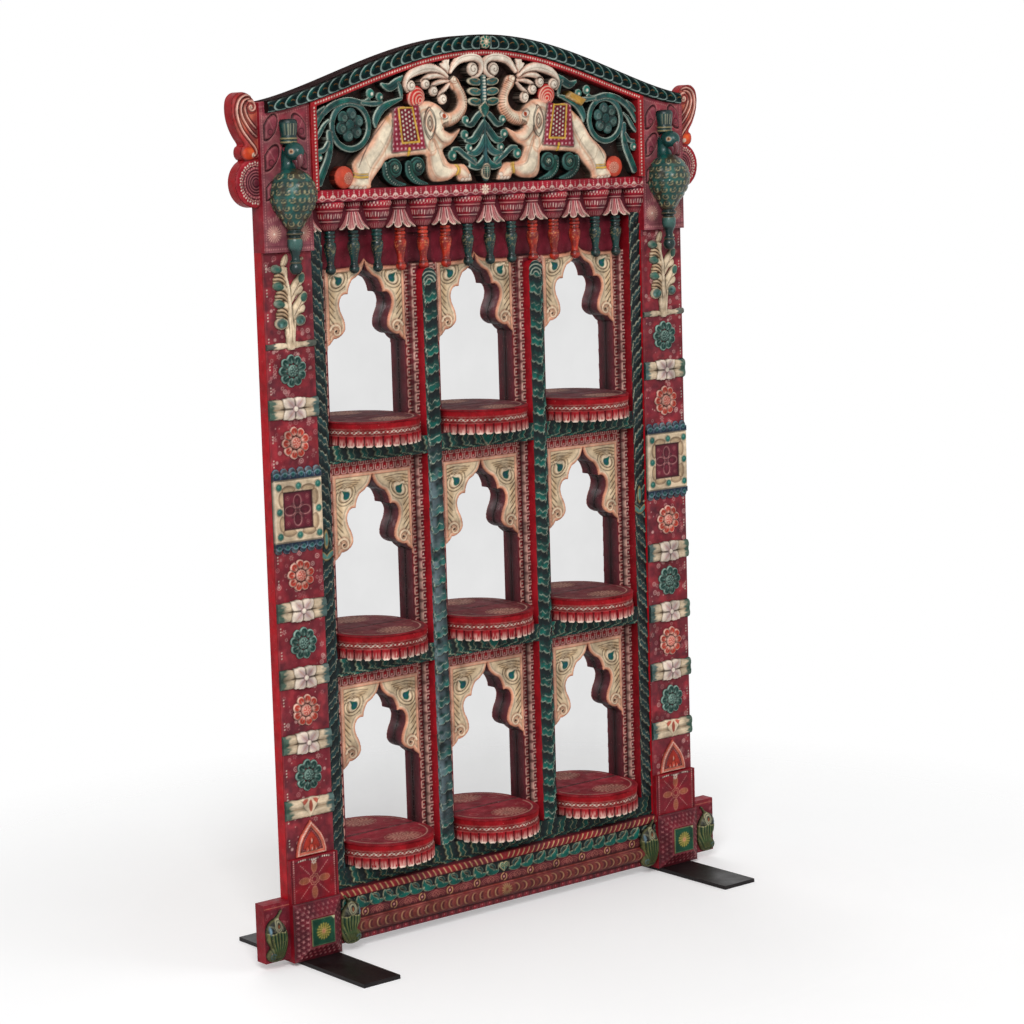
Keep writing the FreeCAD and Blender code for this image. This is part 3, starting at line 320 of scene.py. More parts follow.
class Shell:
    """Points, paints and faces of one piece, gathered from its patches."""

    def __init__(self):
        self.points, self.colours, self.quads, self.tris = [], [], [], []
        self.count = 0

    def add(self, points, colours, quads, tris=None):
        self.points.append(np.asarray(points, float).reshape(-1, 3))
        self.colours.append(np.asarray(colours, float).reshape(-1, 3))
        self.quads.append(np.asarray(quads, int).reshape(-1, 4) + self.count)
        if tris is not None:
            self.tris.append(np.asarray(tris, int).reshape(-1, 3) + self.count)
        self.count += len(self.points[-1])

    def mirrored(self):
        """The same piece across the middle of the object."""
        twin = Shell()
        for points, colours in zip(self.points, self.colours):
            twin.points.append(points * [-1, 1, 1])
            twin.colours.append(colours)
        twin.quads = [quads[:, ::-1] for quads in self.quads]
        twin.tris = [tris[:, ::-1] for tris in self.tris]
        twin.count = self.count
        return twin

    def join(self, other, shift=(0, 0, 0)):
        for points, colours in zip(other.points, other.colours):
            self.points.append(points + np.array(shift, float))
            self.colours.append(colours)
        self.quads += [quads + self.count for quads in other.quads]
        self.tris += [tris + self.count for tris in other.tris]
        self.count += other.count
        return self

    def lay(self, patch, place, outline=None, depth=None, edge_colour=None, edge_shade=0.7,
            deep_shade=0.5, backed=False):
        """Put a patch where place(u, v, rise) says.

        An outline is a field of signed distances: only its inside is kept, with its edge
        pulled onto the outline. With a depth, every open edge gets a wall that deep, and a
        backed patch also gets a plain back there."""
        u, v = patch.u.copy(), patch.v.copy()
        index = np.arange(u.size).reshape(u.shape)
        keep = np.ones(u.shape, bool)
        if outline is not None:
            pitch_u = np.gradient(u, axis=0)
            pitch_v = np.gradient(v, axis=1)
            slope_u = np.gradient(outline, axis=0) / pitch_u
            slope_v = np.gradient(outline, axis=1) / pitch_v
            steep = np.maximum(slope_u ** 2 + slope_v ** 2, 0.3)
            near = np.abs(outline) < 0.56 * np.minimum(pitch_u, pitch_v) * np.sqrt(steep)
            u -= np.clip(np.where(near, outline * slope_u / steep, 0), -pitch_u, pitch_u)
            v -= np.clip(np.where(near, outline * slope_v / steep, 0), -pitch_v, pitch_v)
            keep = (outline <= 0) | near
        a, b, c, d = index[:-1, :-1], index[1:, :-1], index[1:, 1:], index[:-1, 1:]
        held = [keep[:-1, :-1], keep[1:, :-1], keep[1:, 1:], keep[:-1, 1:]]
        count = sum(part.astype(int) for part in held)
        quads = np.stack([part[count == 4] for part in (a, b, c, d)], -1)
        tris = []
        for gone, corners in enumerate(((b, c, d), (a, c, d), (a, b, d), (a, b, c))):
            three = (count == 3) & ~held[gone]
            tris.append(np.stack([corner[three] for corner in corners], -1))
        tris = np.concatenate(tris)
        used = np.unique(np.concatenate([quads.ravel(), tris.ravel()]))
        number = np.full(u.size, -1)
        number[used] = np.arange(len(used))
        quads, tris = number[quads], number[tris]
        u, v, rise = u.ravel()[used], v.ravel()[used], patch.rise.ravel()[used]
        colours = patch.colour.reshape(-1, 3)[used]
        self.add(place(u, v, rise), colours, quads, tris)
        if depth is None:
            return
        if backed and outline is None:
            rows = [np.unique(np.append(np.arange(0, count, 9), count - 1))
                    for count in patch.u.shape]
            coarse = np.ix_(*rows)
            points = place(patch.u[coarse], patch.v[coarse], np.full(patch.u[coarse].shape,
                                                                    -float(depth)))
            self.grid(points[:, ::-1], np.tile(edge_colour * deep_shade,
                                               (*patch.u[coarse].shape, 1)))
        elif backed:
            plain = np.tile(edge_colour * deep_shade, (len(used), 1))
            self.add(place(u, v, np.full(len(used), -depth)), plain, quads[:, ::-1],
                     tris[:, ::-1])
        edges = np.concatenate([quads[:, [0, 1]], quads[:, [1, 2]], quads[:, [2, 3]],
                                quads[:, [3, 0]], tris[:, [0, 1]], tris[:, [1, 2]],
                                tris[:, [2, 0]]])
        forward = edges[:, 0] * len(used) + edges[:, 1]
        backward = edges[:, 1] * len(used) + edges[:, 0]
        rim = edges[~np.isin(forward, backward)]
        ends = rim.ravel()
        near = place(u[ends], v[ends], rise[ends])
        far = place(u[ends], v[ends], np.full(len(ends), -depth))
        middle = (near + far) / 2
        # Painted shade on the walls: they take the paint times edge_shade, or the edge colour, and
        # darken towards the back by deep_shade
        shade = colours[ends] * edge_shade
        if edge_colour is not None:
            shade = np.tile(edge_colour, (len(ends), 1))
        half = (1 + deep_shade) / 2
        size = len(ends)
        pairs = np.arange(len(rim)) * 2
        rows = []
        for row in (0, size):
            rows.append(np.stack([pairs + 1 + row, pairs + row, pairs + row + size,
                                  pairs + 1 + row + size], -1))
        self.add(np.concatenate([near, middle, far]),
                 np.concatenate([shade, shade * half, shade * deep_shade]),
                 np.concatenate(rows))

    def grid(self, points, colours, close_u=False, close_v=False):
        """Add a grid of points as quads, which may close on itself either way."""
        size_u, size_v = points.shape[:2]
        i = np.arange(size_u if close_u else size_u - 1)
        j = np.arange(size_v if close_v else size_v - 1)
        i, j = np.meshgrid(i, j, indexing="ij")
        after_i, after_j = (i + 1) % size_u, (j + 1) % size_v
        quads = np.stack([i * size_v + j, after_i * size_v + j, after_i * size_v + after_j,
                          i * size_v + after_j], -1)
        self.add(points, colours, quads)

    def make(self, name, nodes, slot, material, body="root"):
        """The Blender object of this piece, which stands for CAD nodes."""
        points = np.concatenate(self.points) * MM
        colours = np.concatenate(self.colours)
        quads = np.concatenate(self.quads) if self.quads else np.zeros((0, 4), int)
        tris = np.concatenate(self.tris) if self.tris else np.zeros((0, 3), int)
        mesh = bpy.data.meshes.new(name)
        mesh.vertices.add(len(points))
        mesh.vertices.foreach_set("co", points.ravel().astype(np.float32))
        loops = np.concatenate([quads.ravel(), tris.ravel()]).astype(np.int32)
        mesh.loops.add(len(loops))
        mesh.loops.foreach_set("vertex_index", loops)
        starts = np.concatenate([np.arange(len(quads)) * 4,
                                 len(quads) * 4 + np.arange(len(tris)) * 3])
        mesh.polygons.add(len(starts))
        mesh.polygons.foreach_set("loop_start", starts.astype(np.int32))
        mesh.polygons.foreach_set("use_smooth", np.ones(len(starts), bool))
        layer = mesh.color_attributes.new("paint", "FLOAT_COLOR", "POINT")
        rgba = np.ones((len(points), 4), np.float32)
        rgba[:, :3] = np.clip(colours, 0, 1)
        layer.data.foreach_set("color", rgba.ravel())
        mesh.update(calc_edges=True)
        mesh.validate()
        mesh.materials.append(material)
        piece = bpy.data.objects.new(name, mesh)
        bpy.context.scene.collection.objects.link(piece)
        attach(piece, body)
        if nodes:
            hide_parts(*nodes)
        return piece


def front(y):
    """A place on a plane that faces the front, with its rise towards the viewer."""
    return lambda u, v, rise: np.stack([u, y - rise, v], -1)


def top(z):
    """A place on a level plane, with its rise upwards."""
    return lambda u, v, rise: np.stack([u, v, z + rise], -1)


def steps(start, end, pitch):
    """Evenly spaced values from start to end, no more than a pitch apart."""
    return np.linspace(start, end, max(2, int(math.ceil((end - start) / pitch)) + 1))


def fine_patch(left, right, low, high, ground=SHADOW):
    return Patch(steps(left, right, FINE), steps(low, high, FINE), ground)


def patch_around(centre, reach, ground):
    x, z = centre
    return fine_patch(x - reach, x + reach, z - reach, z + reach, ground)


# Materials: the paint of each point comes from its piece, and the nodes add brush marks,
# grime, small chips, sheen and bump

class Tree:
    """The nodes of a material or a world, with short ways to add to them."""

    def __init__(self, tree):
        self.nodes, self.links = tree.nodes, tree.links

    def add(self, kind, **settings):
        node = self.nodes.new("ShaderNode" + kind)
        for name, value in settings.items():
            setattr(node, name, value)
        return node

    def ramp(self, value, low, high, start=0.0, end=1.0):
        node = self.add("MapRange")
        node.inputs["From Min"].default_value = low
        node.inputs["From Max"].default_value = high
        node.inputs["To Min"].default_value = start
        node.inputs["To Max"].default_value = end
        self.links.new(value, node.inputs["Value"])
        return node.outputs["Result"]

    def maximum(self, first, second):
        node = self.add("Math", operation="MAXIMUM")
        self.links.new(first, node.inputs[0])
        self.links.new(second, node.inputs[1])
        return node.outputs[0]

    def blend(self, share, first, second):
        """A mix of two colours, each a socket or linear numbers."""
        node = self.add("Mix", data_type="RGBA", blend_type="MIX")
        for value, name in ((share, "Factor"), (first, "A"), (second, "B")):
            kind = "VALUE" if name == "Factor" else "RGBA"
            target = [socket for socket in node.inputs
                      if socket.name == name and socket.type == kind][0]
            if isinstance(value, bpy.types.NodeSocket):
                self.links.new(value, target)
            elif isinstance(value, (int, float)):
                target.default_value = value
            else:
                target.default_value = (*value, 1)
        return [socket for socket in node.outputs if socket.type == "RGBA"][0]


class Look(Tree):
    """A new material with its shader; its patterns lie on places of the piece, in metres."""

    def __init__(self, name):
        self.material = bpy.data.materials.new(name)
        self.material.use_nodes = True
        super().__init__(self.material.node_tree)
        self.shader = self.nodes["Principled BSDF"]
        self.place = self.add("TexCoord").outputs["Object"]

    def noise(self, scale, detail, roughness=0.55, stretch=(1, 1, 1)):
        mapping = self.add("Mapping")
        mapping.inputs["Scale"].default_value = stretch
        self.links.new(self.place, mapping.inputs["Vector"])
        texture = self.add("TexNoise")
        texture.inputs["Scale"].default_value = scale
        texture.inputs["Detail"].default_value = detail
        texture.inputs["Roughness"].default_value = roughness
        self.links.new(mapping.outputs["Vector"], texture.inputs["Vector"])
        return texture.outputs["Fac"]

    def drive(self, name, value):
        """Let a pattern set one input of the shader."""
        self.links.new(value, self.shader.inputs[name])

    def bump(self, height, strength, distance):
        relief = self.add("Bump")
        relief.inputs["Strength"].default_value = strength
        relief.inputs["Distance"].default_value = distance
        self.links.new(height, relief.inputs["Height"])
        self.drive("Normal", relief.outputs["Normal"])


def painted(name, roughness=0.5, chips=0.5, plain=None, bump=0.25, gloss=0.18):
    """Old brushed paint over carved wood. A plain colour takes the place of the paint."""
    look = Look(name)
    if plain is None:
        colour = look.add("VertexColor", layer_name="paint").outputs["Color"]
    else:
        streak = look.noise(14, 5)
        colour = look.blend(look.ramp(streak, 0.35, 0.68), plain * 0.72, plain * 1.12)
    grime = look.ramp(look.noise(38, 6, 0.65), 0.32, 0.62, 0.56, 1.0)
    tone = look.add("HueSaturation")
    look.links.new(colour, tone.inputs["Color"])
    look.links.new(grime, tone.inputs["Value"])
    speck = look.ramp(look.noise(260, 3, 0.7), 0.66, 0.74, 0.0, chips)
    look.drive("Base Color", look.blend(speck, tone.outputs["Color"], PINK))
    look.drive("Roughness", look.ramp(look.noise(55, 4), 0.3, 0.7, roughness - 0.1,
                                      roughness + 0.16))
    look.shader.inputs["Specular IOR Level"].default_value = gloss
    look.bump(look.noise(330, 4, 0.6, (1, 1, 0.45)), bump, 0.0011)
    return look.material


def wood(name, light, dark, roughness=0.7):
    """Bare sawn wood with its grain along X."""
    look = Look(name)
    grain = look.noise(16, 7, 0.6, (0.6, 3.0, 9.0))
    fine = look.noise(90, 4, 0.6, (0.3, 2.0, 6.0))
    colour = look.blend(look.ramp(grain, 0.35, 0.65), dark, light)
    look.drive("Base Color", look.blend(0.35, colour, look.blend(fine, dark, light)))
    look.drive("Roughness", look.ramp(fine, 0.3, 0.7, roughness - 0.08, roughness + 0.12))
    look.bump(fine, 0.3, 0.001)
    return look.material


def steel(name):
    """Black painted steel, a little scuffed."""
    look = Look(name)
    patchy = look.noise(22, 5)
    colour = look.blend(look.ramp(patchy, 0.3, 0.7), paint(12, 8, 9), paint(26, 19, 20))
    scuff = look.ramp(look.noise(120, 6, 0.75), 0.68, 0.78, 0.0, 0.25)
    look.drive("Base Color", look.blend(scuff, colour, paint(96, 88, 88)))
    look.drive("Roughness", look.ramp(patchy, 0.3, 0.7, 0.34, 0.52))
    look.shader.inputs["Specular IOR Level"].default_value = 0.25
    look.bump(look.noise(500, 2), 0.15, 0.0006)
    return look.material


def mirror_glass(name):
    """Silvered glass with faint clouding."""
    look = Look(name)
    cloud = look.noise(5, 4)
    look.drive("Base Color", look.blend(look.ramp(cloud, 0.3, 0.7), paint(224, 224, 224),
                                        paint(232, 232, 232)))
    look.shader.inputs["Metallic"].default_value = 1.0
    look.drive("Roughness", look.ramp(cloud, 0.3, 0.7, 0.015, 0.03))
    return look.material


PAINTED = painted("painted_carving", 0.5)
DRY_PAINT = painted("dry_paint", 0.8, chips=0.2, gloss=0.03)
SHELF_PAINT = painted("shelf_paint", 0.65, gloss=0.07)
GLOSSY_PAINT = painted("varnished_turning", 0.3, chips=0.35, bump=0.12, gloss=0.36)
MAROON_BOARD = painted("maroon_board", 0.55, plain=MAROON)
BARE_WOOD = wood("bare_wood", paint(158, 118, 78), paint(96, 64, 40))
BARE_BOARD = wood("bare_board", paint(176, 140, 98), paint(120, 84, 54), 0.75)
STEEL = steel("black_steel")
GLASS = mirror_glass("silvered_glass")

for node, material in (("feet", STEEL), ("mirror_panes", GLASS), ("back_board", BARE_BOARD),
                       ("carcass_sides", BARE_WOOD), ("back_battens", BARE_WOOD),
                       ("head_rail", MAROON_BOARD), ("bottom_rail", MAROON_BOARD),
                       ("cup_board", MAROON_BOARD)):
    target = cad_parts[node]
    target.data.materials.clear()
    target.data.materials.append(material)


# The photograph's view, a pale floor and soft light; lengths are metres

SENSOR = 36
FOCAL_SHARE = 2700 / 1024
VIEW_FROM = (-3.4364, -4.2984, 1.6263)
YAW, PITCH, ROLL = -0.68178, -0.14096, -0.02865
LAMPS = (("key", (-3.6, -4.2, 3.9), (0, 0, 0.9), 2.6, 300),
         ("fill", (3.2, -4.6, 2.4), (0, 0, 0.9), 3.0, 76),
         ("rim", (1.5, 4.0, 3.6), (0, 0, 1.0), 3.0, 60))
FLOOR_REACH = 6.0


def aim_camera(scene):
    lens = bpy.data.cameras.new("view")
    lens.sensor_width = SENSOR
    lens.lens = FOCAL_SHARE * SENSOR
    lens.clip_end = 60
    camera = bpy.data.objects.new("view", lens)
    scene.collection.objects.link(camera)
    ahead = Vector((-math.sin(YAW) * math.cos(PITCH), math.cos(YAW) * math.cos(PITCH),
                    math.sin(PITCH)))
    level = Vector((math.cos(YAW), math.sin(YAW), 0))
    over = level.cross(ahead)
    right = level * math.cos(ROLL) + over * math.sin(ROLL)
    over = over * math.cos(ROLL) - level * math.sin(ROLL)
    turn = Matrix((right, over, -ahead)).transposed().to_4x4()
    camera.matrix_world = Matrix.Translation(VIEW_FROM) @ turn
    scene.camera = camera


def light_world(scene):
    """White where the camera or the glass sees it, dimmer as light on the piece."""
    world = bpy.data.worlds.new("studio")
    scene.world = world
    world.use_nodes = True
    tree = Tree(world.node_tree)
    ground = tree.nodes["Background"]
    ground.inputs["Color"].default_value = (1, 1, 1, 1)
    path = tree.add("LightPath").outputs
    seen = tree.maximum(path["Is Camera Ray"], path["Is Glossy Ray"])
    seen = tree.maximum(seen, path["Is Transmission Ray"])
    tree.links.new(tree.ramp(seen, 0, 1, 0.36, 1.0), ground.inputs["Strength"])


def hang_lamps(scene):
    for name, place, aim, size, power in LAMPS:
        lamp = bpy.data.lights.new(name, "AREA")
        lamp.size = size
        lamp.energy = power
        holder = bpy.data.objects.new(name, lamp)
        scene.collection.objects.link(holder)
        toward = (Vector(aim) - Vector(place)).to_track_quat("-Z", "Y")
        holder.matrix_world = Matrix.Translation(place) @ toward.to_matrix().to_4x4()
        holder.visible_glossy = name == "key"


def lay_floor(scene):
    """A white floor that takes soft shadows and fades out away from the piece."""
    mesh = bpy.data.meshes.new("floor")
    corners = [(x * FLOOR_REACH, y * FLOOR_REACH, 0)
               for x, y in ((-1, -1), (1, -1), (1, 1), (-1, 1))]
    mesh.from_pydata(corners, [], [(0, 1, 2, 3)])
    floor = bpy.data.objects.new("floor", mesh)
    scene.collection.objects.link(floor)
    look = Look("pale_floor")
    shader = look.shader
    look.drive("Base Color", look.blend(look.noise(3, 3), (0.90, 0.90, 0.90),
                                        (0.94, 0.94, 0.94)))
    shader.inputs["Roughness"].default_value = 0.9
    shader.inputs["Specular IOR Level"].default_value = 0.0
    seen = look.add("LightPath").outputs["Is Camera Ray"]
    shader.inputs["Emission Color"].default_value = (1, 1, 1, 1)
    look.drive("Emission Strength", look.ramp(seen, 0, 1, 0, 0.15))
    away = look.add("VectorMath", operation="LENGTH")
    look.links.new(look.place, away.inputs[0])
    fade = look.ramp(away.outputs["Value"], 0.75, 1.7)
    clear = look.add("BsdfTransparent")
    mix = look.add("MixShader")
    look.links.new(fade, mix.inputs["Fac"])
    look.links.new(shader.outputs["BSDF"], mix.inputs[1])
    look.links.new(clear.outputs["BSDF"], mix.inputs[2])
    look.links.new(mix.outputs["Shader"], look.nodes["Material Output"].inputs["Surface"])
    mesh.materials.append(look.material)


bpy.context.scene.view_settings.view_transform = "Standard"
for build in (aim_camera, light_world, hang_lamps, lay_floor):
    build(bpy.context.scene)


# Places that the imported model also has

COLUMNS = (("left", -278), ("centre", 0), ("right", 278))
ROWS = (("bottom", 170), ("middle", 595), ("top", 1020))
BOARD = 36
LATTICE = 8
GLASS_FACE = 60
SILL_TOP = 170
MULLION_TOP = 1356
INNER_TOP = 1444
RAIL_END = 428


# Motifs that several pieces share

def leaf_run(part, across, along, width, pitch, slope, hook, glow, edge, seed=3, lobes=3):
    """Overlapping leaves along a strip, each with a scalloped, outlined edge."""
    share = np.clip(across / width + 0.5, 0, 1)
    bend = 0.83 - 0.06 * np.abs(np.sin(along * math.pi / 9))
    turned_up = np.clip((share - bend) / 0.14, 0, 1)
    drop = slope * share + hook * turned_up
    steep = np.where((turned_up > 0) & (turned_up < 1), np.hypot(1, hook / 0.14 / width), 1.2)
    place, number = wrap(along + drop, pitch)
    flicker = noise(number * 7.0, share * 3.0, 1.7, seed)
    brushed = np.clip(noise(part.u, part.v, 8, seed + 2) * 1.9 - 0.25, 0.15, 1)
    bumps = 3.6 * np.abs(np.sin(math.pi * lobes * share + flicker))
    ahead = place - bumps
    depth = np.where(ahead > 0, pitch - ahead, -ahead)
    body = np.clip(1.15 - depth / (0.6 * pitch), 0, 1)
    bright = body * np.clip(1.7 * flicker * brushed + 0.15, 0, 1)
    part.blend(glow, bright)
    part.tint(np.where(ahead > 0, ahead - 2.6, 5), BLACK_TEAL * 0.5, 0.85, 1.6)
    vein = np.abs(depth - 12 - 2.6 * np.abs(np.sin(share * 8 + number))) - 0.6
    part.tint(only((share > 0.1) & (share < 0.8), vein), edge, 0.75 * brushed)
    part.tint(np.abs(ahead) / steep - 0.95, edge, 0.4 + 0.6 * brushed)
    part.rise[:] = 0.2 + 2.5 * np.clip(1 - depth / pitch, 0, 1)


def horseshoes(part, across, along, pitch, half, colour, field, open_end=1):
    """A row of rounded square loops, open at one end, each round a bright dot."""
    place = wrap(along, pitch)[0]
    reach = pitch * 0.39
    block = rect(place, across * open_end, -reach, -half, reach, half + 4, 3.4)
    inner = only(np.abs(across) < half + 1.2, block)
    part.tint(inner, field, 0.9)
    part.pile(np.abs(inner + 0.6) - 1.2, 1.0, 1.2)
    part.tint(np.abs(inner + 0.6) - pitch * 0.056, colour, 0.95)
    part.tint(disc(place, across, (0, 0), pitch * 0.088), IVORY * 0.97, 0.9)
    between = rect(np.abs(place) - pitch / 2, across, -0.9, -half * 0.7, 0.9, half * 0.6)
    part.tint(between, paint(84, 76, 66), 0.6)


# The cusped opening, from its point at the top down to the straight jambs, as places
# beside the middle and below the point; each list is one smooth run between two corners

APEX = 356
ARCH_RUNS = (((0, 0), (3, -9), (8, -19), (20, -30), (31, -36), (37.5, -46), (41, -55),
              (42.2, -63.5)),
             ((42.2, -63.5), (51.6, -63.5), (59.4, -69), (63.8, -80), (62, -94), (54, -112),
              (51, -125), (52.5, -134), (59.4, -142.5), (71.9, -148.8), (79.7, -149)),
             ((79.7, -149), (86, -156.5), (95.3, -163.5)))


def opening(u, v):
    """Signed distance to the opening of a niche about its middle, above its shelf."""
    half = []
    for run in ARCH_RUNS:
        half += [(x, APEX + y) for x, y in outline_of(run, 4)[:-1]]
    half += [(95.3, APEX - 163.5), (95.3, -40)]
    corners = half + [(-p[0], p[1]) for p in reversed(half[1:])]
    return polygon(u, v, corners)


CREAM_HALF = 97
FRAME_HALF = 89.5
CURL = (74.5, -134.5)


def arch_strips(part, chained):
    """Loops beside the opening, and also over it where another board stands above."""
    wide, v = np.abs(part.u), part.v
    strip_top = 388 if chained else 344
    for at, half, shift, tone, field in (
            (103.2, 4.6, 0, paint(222, 166, 152), paint(150, 26, 38)),
            (116.6, 5.2, 10, paint(216, 164, 152), paint(112, 32, 44))):
        strip = np.where((np.abs(wide - at) < 6.6) & (v < strip_top), wide - at, 30)
        horseshoes(part, strip, v + shift, 21.2, half, tone, field)
    if chained:
        for at, shift in ((368.4, 0), (382.4, 8)):
            band = np.where((np.abs(v - at) < 7.4) & (wide < 98), v - at, 30)
            horseshoes(part, band, part.u + shift, 16.8, 5.0, paint(226, 176, 166),
                       paint(164, 12, 26))


def arch_veins(part, field_on, seed):
    """Brushed lines and shades beside the cusps."""
    a, b = np.abs(part.u), part.v - APEX
    veins = []
    for offset in (13.0, 19.5):
        veins.append(np.abs(ellipse(a, b, (65.6, -35), offset + 6, offset, -0.62)) - 0.45)
    for k in range(4):
        veins.append(stroke(a, b, [(88, -10 - 7 * k, 1.3), (66 - 4 * k, -6 - 5 * k, 1.1),
                                   (30 + 4 * k, -9 - 4 * k, 0.6)], 4))
    for k in range(6):
        low = -64 - 13 * k
        veins.append(stroke(a, b, [(89, low + 9, 1.4), (83, low + 1, 1.6),
                                   (76, low - 6, 0.8)], 4))
    veins = only(field_on, union(*veins))
    shade = union(ellipse(a, b, (48, -17), 20, 5.5, -0.5), ellipse(a, b, (82, -78), 5, 26, 0.1),
                  ellipse(a, b, (80, -14), 7, 9, 0.3))
    part.tint(only(field_on, shade), paint(176, 136, 88), 0.55, 8)
    wobble = 1.8 * (noise(part.u, part.v, 6, seed + 3) - 0.5)
    part.tint(veins + wobble, paint(120, 84, 56), 0.68)
    part.carve(veins - 0.6, 1.3, 1.1)


def arch_eye(part, cream):
    """A teal drop at the upper cusp, and the curl with its dots at the lower one."""
    a, b = np.abs(part.u), part.v - APEX
    eye = union(ellipse(a, b, (65.6, -35), 16.5, 11.5, -0.8),
                polygon(a, b, [(58, -46), (70, -45), (82, -20), (62, -24)]))
    part.tint(eye, CREAM * 1.08)
    part.lift(eye, 1.6, 4, part.rise.copy() - 0.4)
    part.line(eye, paint(150, 112, 76), 1.2, 0.85)
    drop = union(ellipse(a, b, (64.6, -37), 9.6, 7.0, -0.8),
                 polygon(a, b, [(58.5, -43), (68, -43.5), (76, -26), (62, -29)]))
    part.tint(drop, TEAL * 0.85)
    part.tint(ellipse(a, b, (63.6, -36), 5.0, 3.2, -0.62), BLUE * 0.8, 0.6)
    part.carve(drop, 1.2, 3)
    curl = stroke(a, b, spiral(CURL, 14.5, 0.2, 1.25, 6.0), 3)
    curl = only(cream < -1, curl)
    part.tint(disc(a, b, CURL, 16), PEACH, 0.45 * (cream < 0), 8)
    part.tint(curl, CREAM * 1.04)
    part.line(curl, paint(196, 126, 96), 1.2, 0.8)
    part.pile(curl, 2.2, 3)
    core = disc(a, b, (73.5, -134.5), 2.6)
    part.tint(core, SHADOW, 0.8)
    part.carve(core, 1.5, 1.5)
    for dot in ((81, -96), (76, -109), (82, -118)):
        part.tint(ellipse(a, b, dot, 4.4, 1.2, 0.9), BROWN * 0.5, 0.6 * (cream < -2))


def arch_board(shell, middle, floor, chained, seed):
    reach, ceiling = (124, 392) if chained else (139, 407)
    part = Patch(steps(-reach, reach, GRID), steps(-5, ceiling, GRID), RED * 0.8)
    u, v = part.u, part.v
    wide = np.abs(u)
    gap = opening(u, v)
    shade = np.clip((v - 40) / 330, 0, 1)[..., None]
    part.colour[:] = MAROON * 0.9 * (1 - shade) + RED * 0.82 * shade
    if not chained:
        part.tint(342 - v, paint(108, 32, 46), 0.9, 6)
    part.tint(109 - wide, MAROON * 0.8, 0.8)
    part.rise[:] = 9 * np.clip((wide - 109.6) / 1.2, 0, 1) * (chained | (v < 346))
    arch_strips(part, chained)
    spike = 362 if chained else 343 + 17 * np.exp(-wide / 14)
    cream = np.maximum.reduce([wide - CREAM_HALF, v - spike, 186 - v, -gap])
    if not chained:
        swirl = np.abs(np.sin(u * 0.13 + 2.4 * np.sin(v * 0.09 + u * 0.03)) * 7) - 0.8
        part.tint(only(v > spike + 3, swirl), paint(84, 24, 36), 0.7, 1.5)
        part.carve(only(v > spike + 3, swirl), 1.6, 2)
    part.rise *= cream > 0
    part.tint(cream, CREAM)
    part.lift(cream, 2.6, 2.2)
    part.tint(only(cream < 1, np.minimum(gap, 40) - 5.2), PEACH, 0.9, 3.4)
    frame_gap = np.maximum(wide - FRAME_HALF, v - spike + 6.5)
    part.tint(only(cream < 1, -frame_gap), PEACH, 0.8, 2.0)
    part.tint(only(cream < 1, -2.4 - cream), paint(198, 112, 84), 0.6, 2.0)
    beads = np.hypot(wrap(v, 3.6)[0], wide - 95.6)
    beads = np.minimum(beads, np.hypot(wrap(u, 3.6)[0], v - 360.4)) - 0.9
    part.tint(only(cream < 0, beads), IVORY, 0.7)
    part.line(only(cream < 0, frame_gap), paint(150, 104, 74), 1.2, 0.8)
    inner = np.maximum(np.maximum(frame_gap, 9.5 - gap), 190 - v)
    part.line(inner, BROWN, 1.1, 0.55)
    part.pile(only(cream < -1, np.abs(gap - 4.2) - 3.6), 1.1, 3)
    field_on = inner < -0.6
    part.tint(only(field_on, 0) - 1, paint(214, 186, 142), 0.35)
    arch_veins(part, field_on, seed)
    arch_eye(part, cream)
    part.age_and_shade_hollows(seed, 1.0, CREAM)
    local = Shell()
    edges = -gap if chained else np.maximum(-gap, np.where(v < 334, wide - 124, wide - 139))
    local.lay(part, front(BOARD), edges, GLASS_FACE - BOARD - 0.5,
              paint(92, 26, 36), deep_shade=0.12)
    shell.join(local, (middle, 0, floor))


seed = 100
for row, floor_z in ROWS:
    for column, middle in COLUMNS:
        shell = Shell()
        arch_board(shell, middle, floor_z, row != "top", seed)
        shell.make(f"arch_{row}_{column}", [f"arch_board_{row}_{column}"], "cream_paint",
                   PAINTED)
        seed += 10


# The green lattice in front of the arch boards

def upright(shell, left, right, bottom, height, inner_side, grey, seed, pitch=36.0):
    """A leafy strip; its walls towards the niches are crimson."""
    part = Patch(steps(left, right, GRID), steps(bottom, height, GRID), BLACK_TEAL)
    middle = (left + right) / 2
    across, along = part.u - middle, part.v
    width = right - left
    edge_tone = paint(208, 212, 190)
    leaf_run(part, across * (1 if middle > 0 else -1), -along, width, pitch, -13, 24,
             TEAL, edge_tone, seed, 2.5)
    if grey is not None:
        low, high = grey
        amount = np.clip(np.minimum(along - low, high - along) / 90, 0, 1)
        amount = amount * np.clip(0.5 - across / width, 0.15, 1)
        part.blend(paint(112, 128, 134),
                   amount * np.clip(1.9 * noise(part.u, along, 9, seed) - 0.3, 0, 1))
    crown = height - along
    fan = np.hypot(across, crown - 30)
    arcs = np.abs(wrap(fan, 7.5)[0]) - 0.8
    part.tint(crown - 26, DEEP_TEAL * 0.8, 0.9)
    part.tint(only(crown < 30, arcs), edge_tone, 0.85)
    part.tint(only(crown < 30, fan - 3), TEAL, 0.8)
    part.line(np.abs(across) - width / 2 + 1.2, paint(60, 40, 40), 1.6, 0.5)
    part.age_and_shade_hollows(seed, 0.9, PALE_TEAL)
    outline = np.where(crown < 18, np.hypot(across, np.maximum(18 - crown, 0)) - 18.2, -5)
    shell.lay(part, front(LATTICE), outline, BOARD - LATTICE, inner_side, deep_shade=0.6)


shell = Shell()
for middle in (-139, 139):
    upright(shell, middle - 18, middle + 18, SILL_TOP, MULLION_TOP, paint(170, 22, 36),
            (160, 1010) if middle < 0 else None, 200 + middle)
shell.make("mullion_leaves", ["mullions"], "teal_paint", PAINTED)

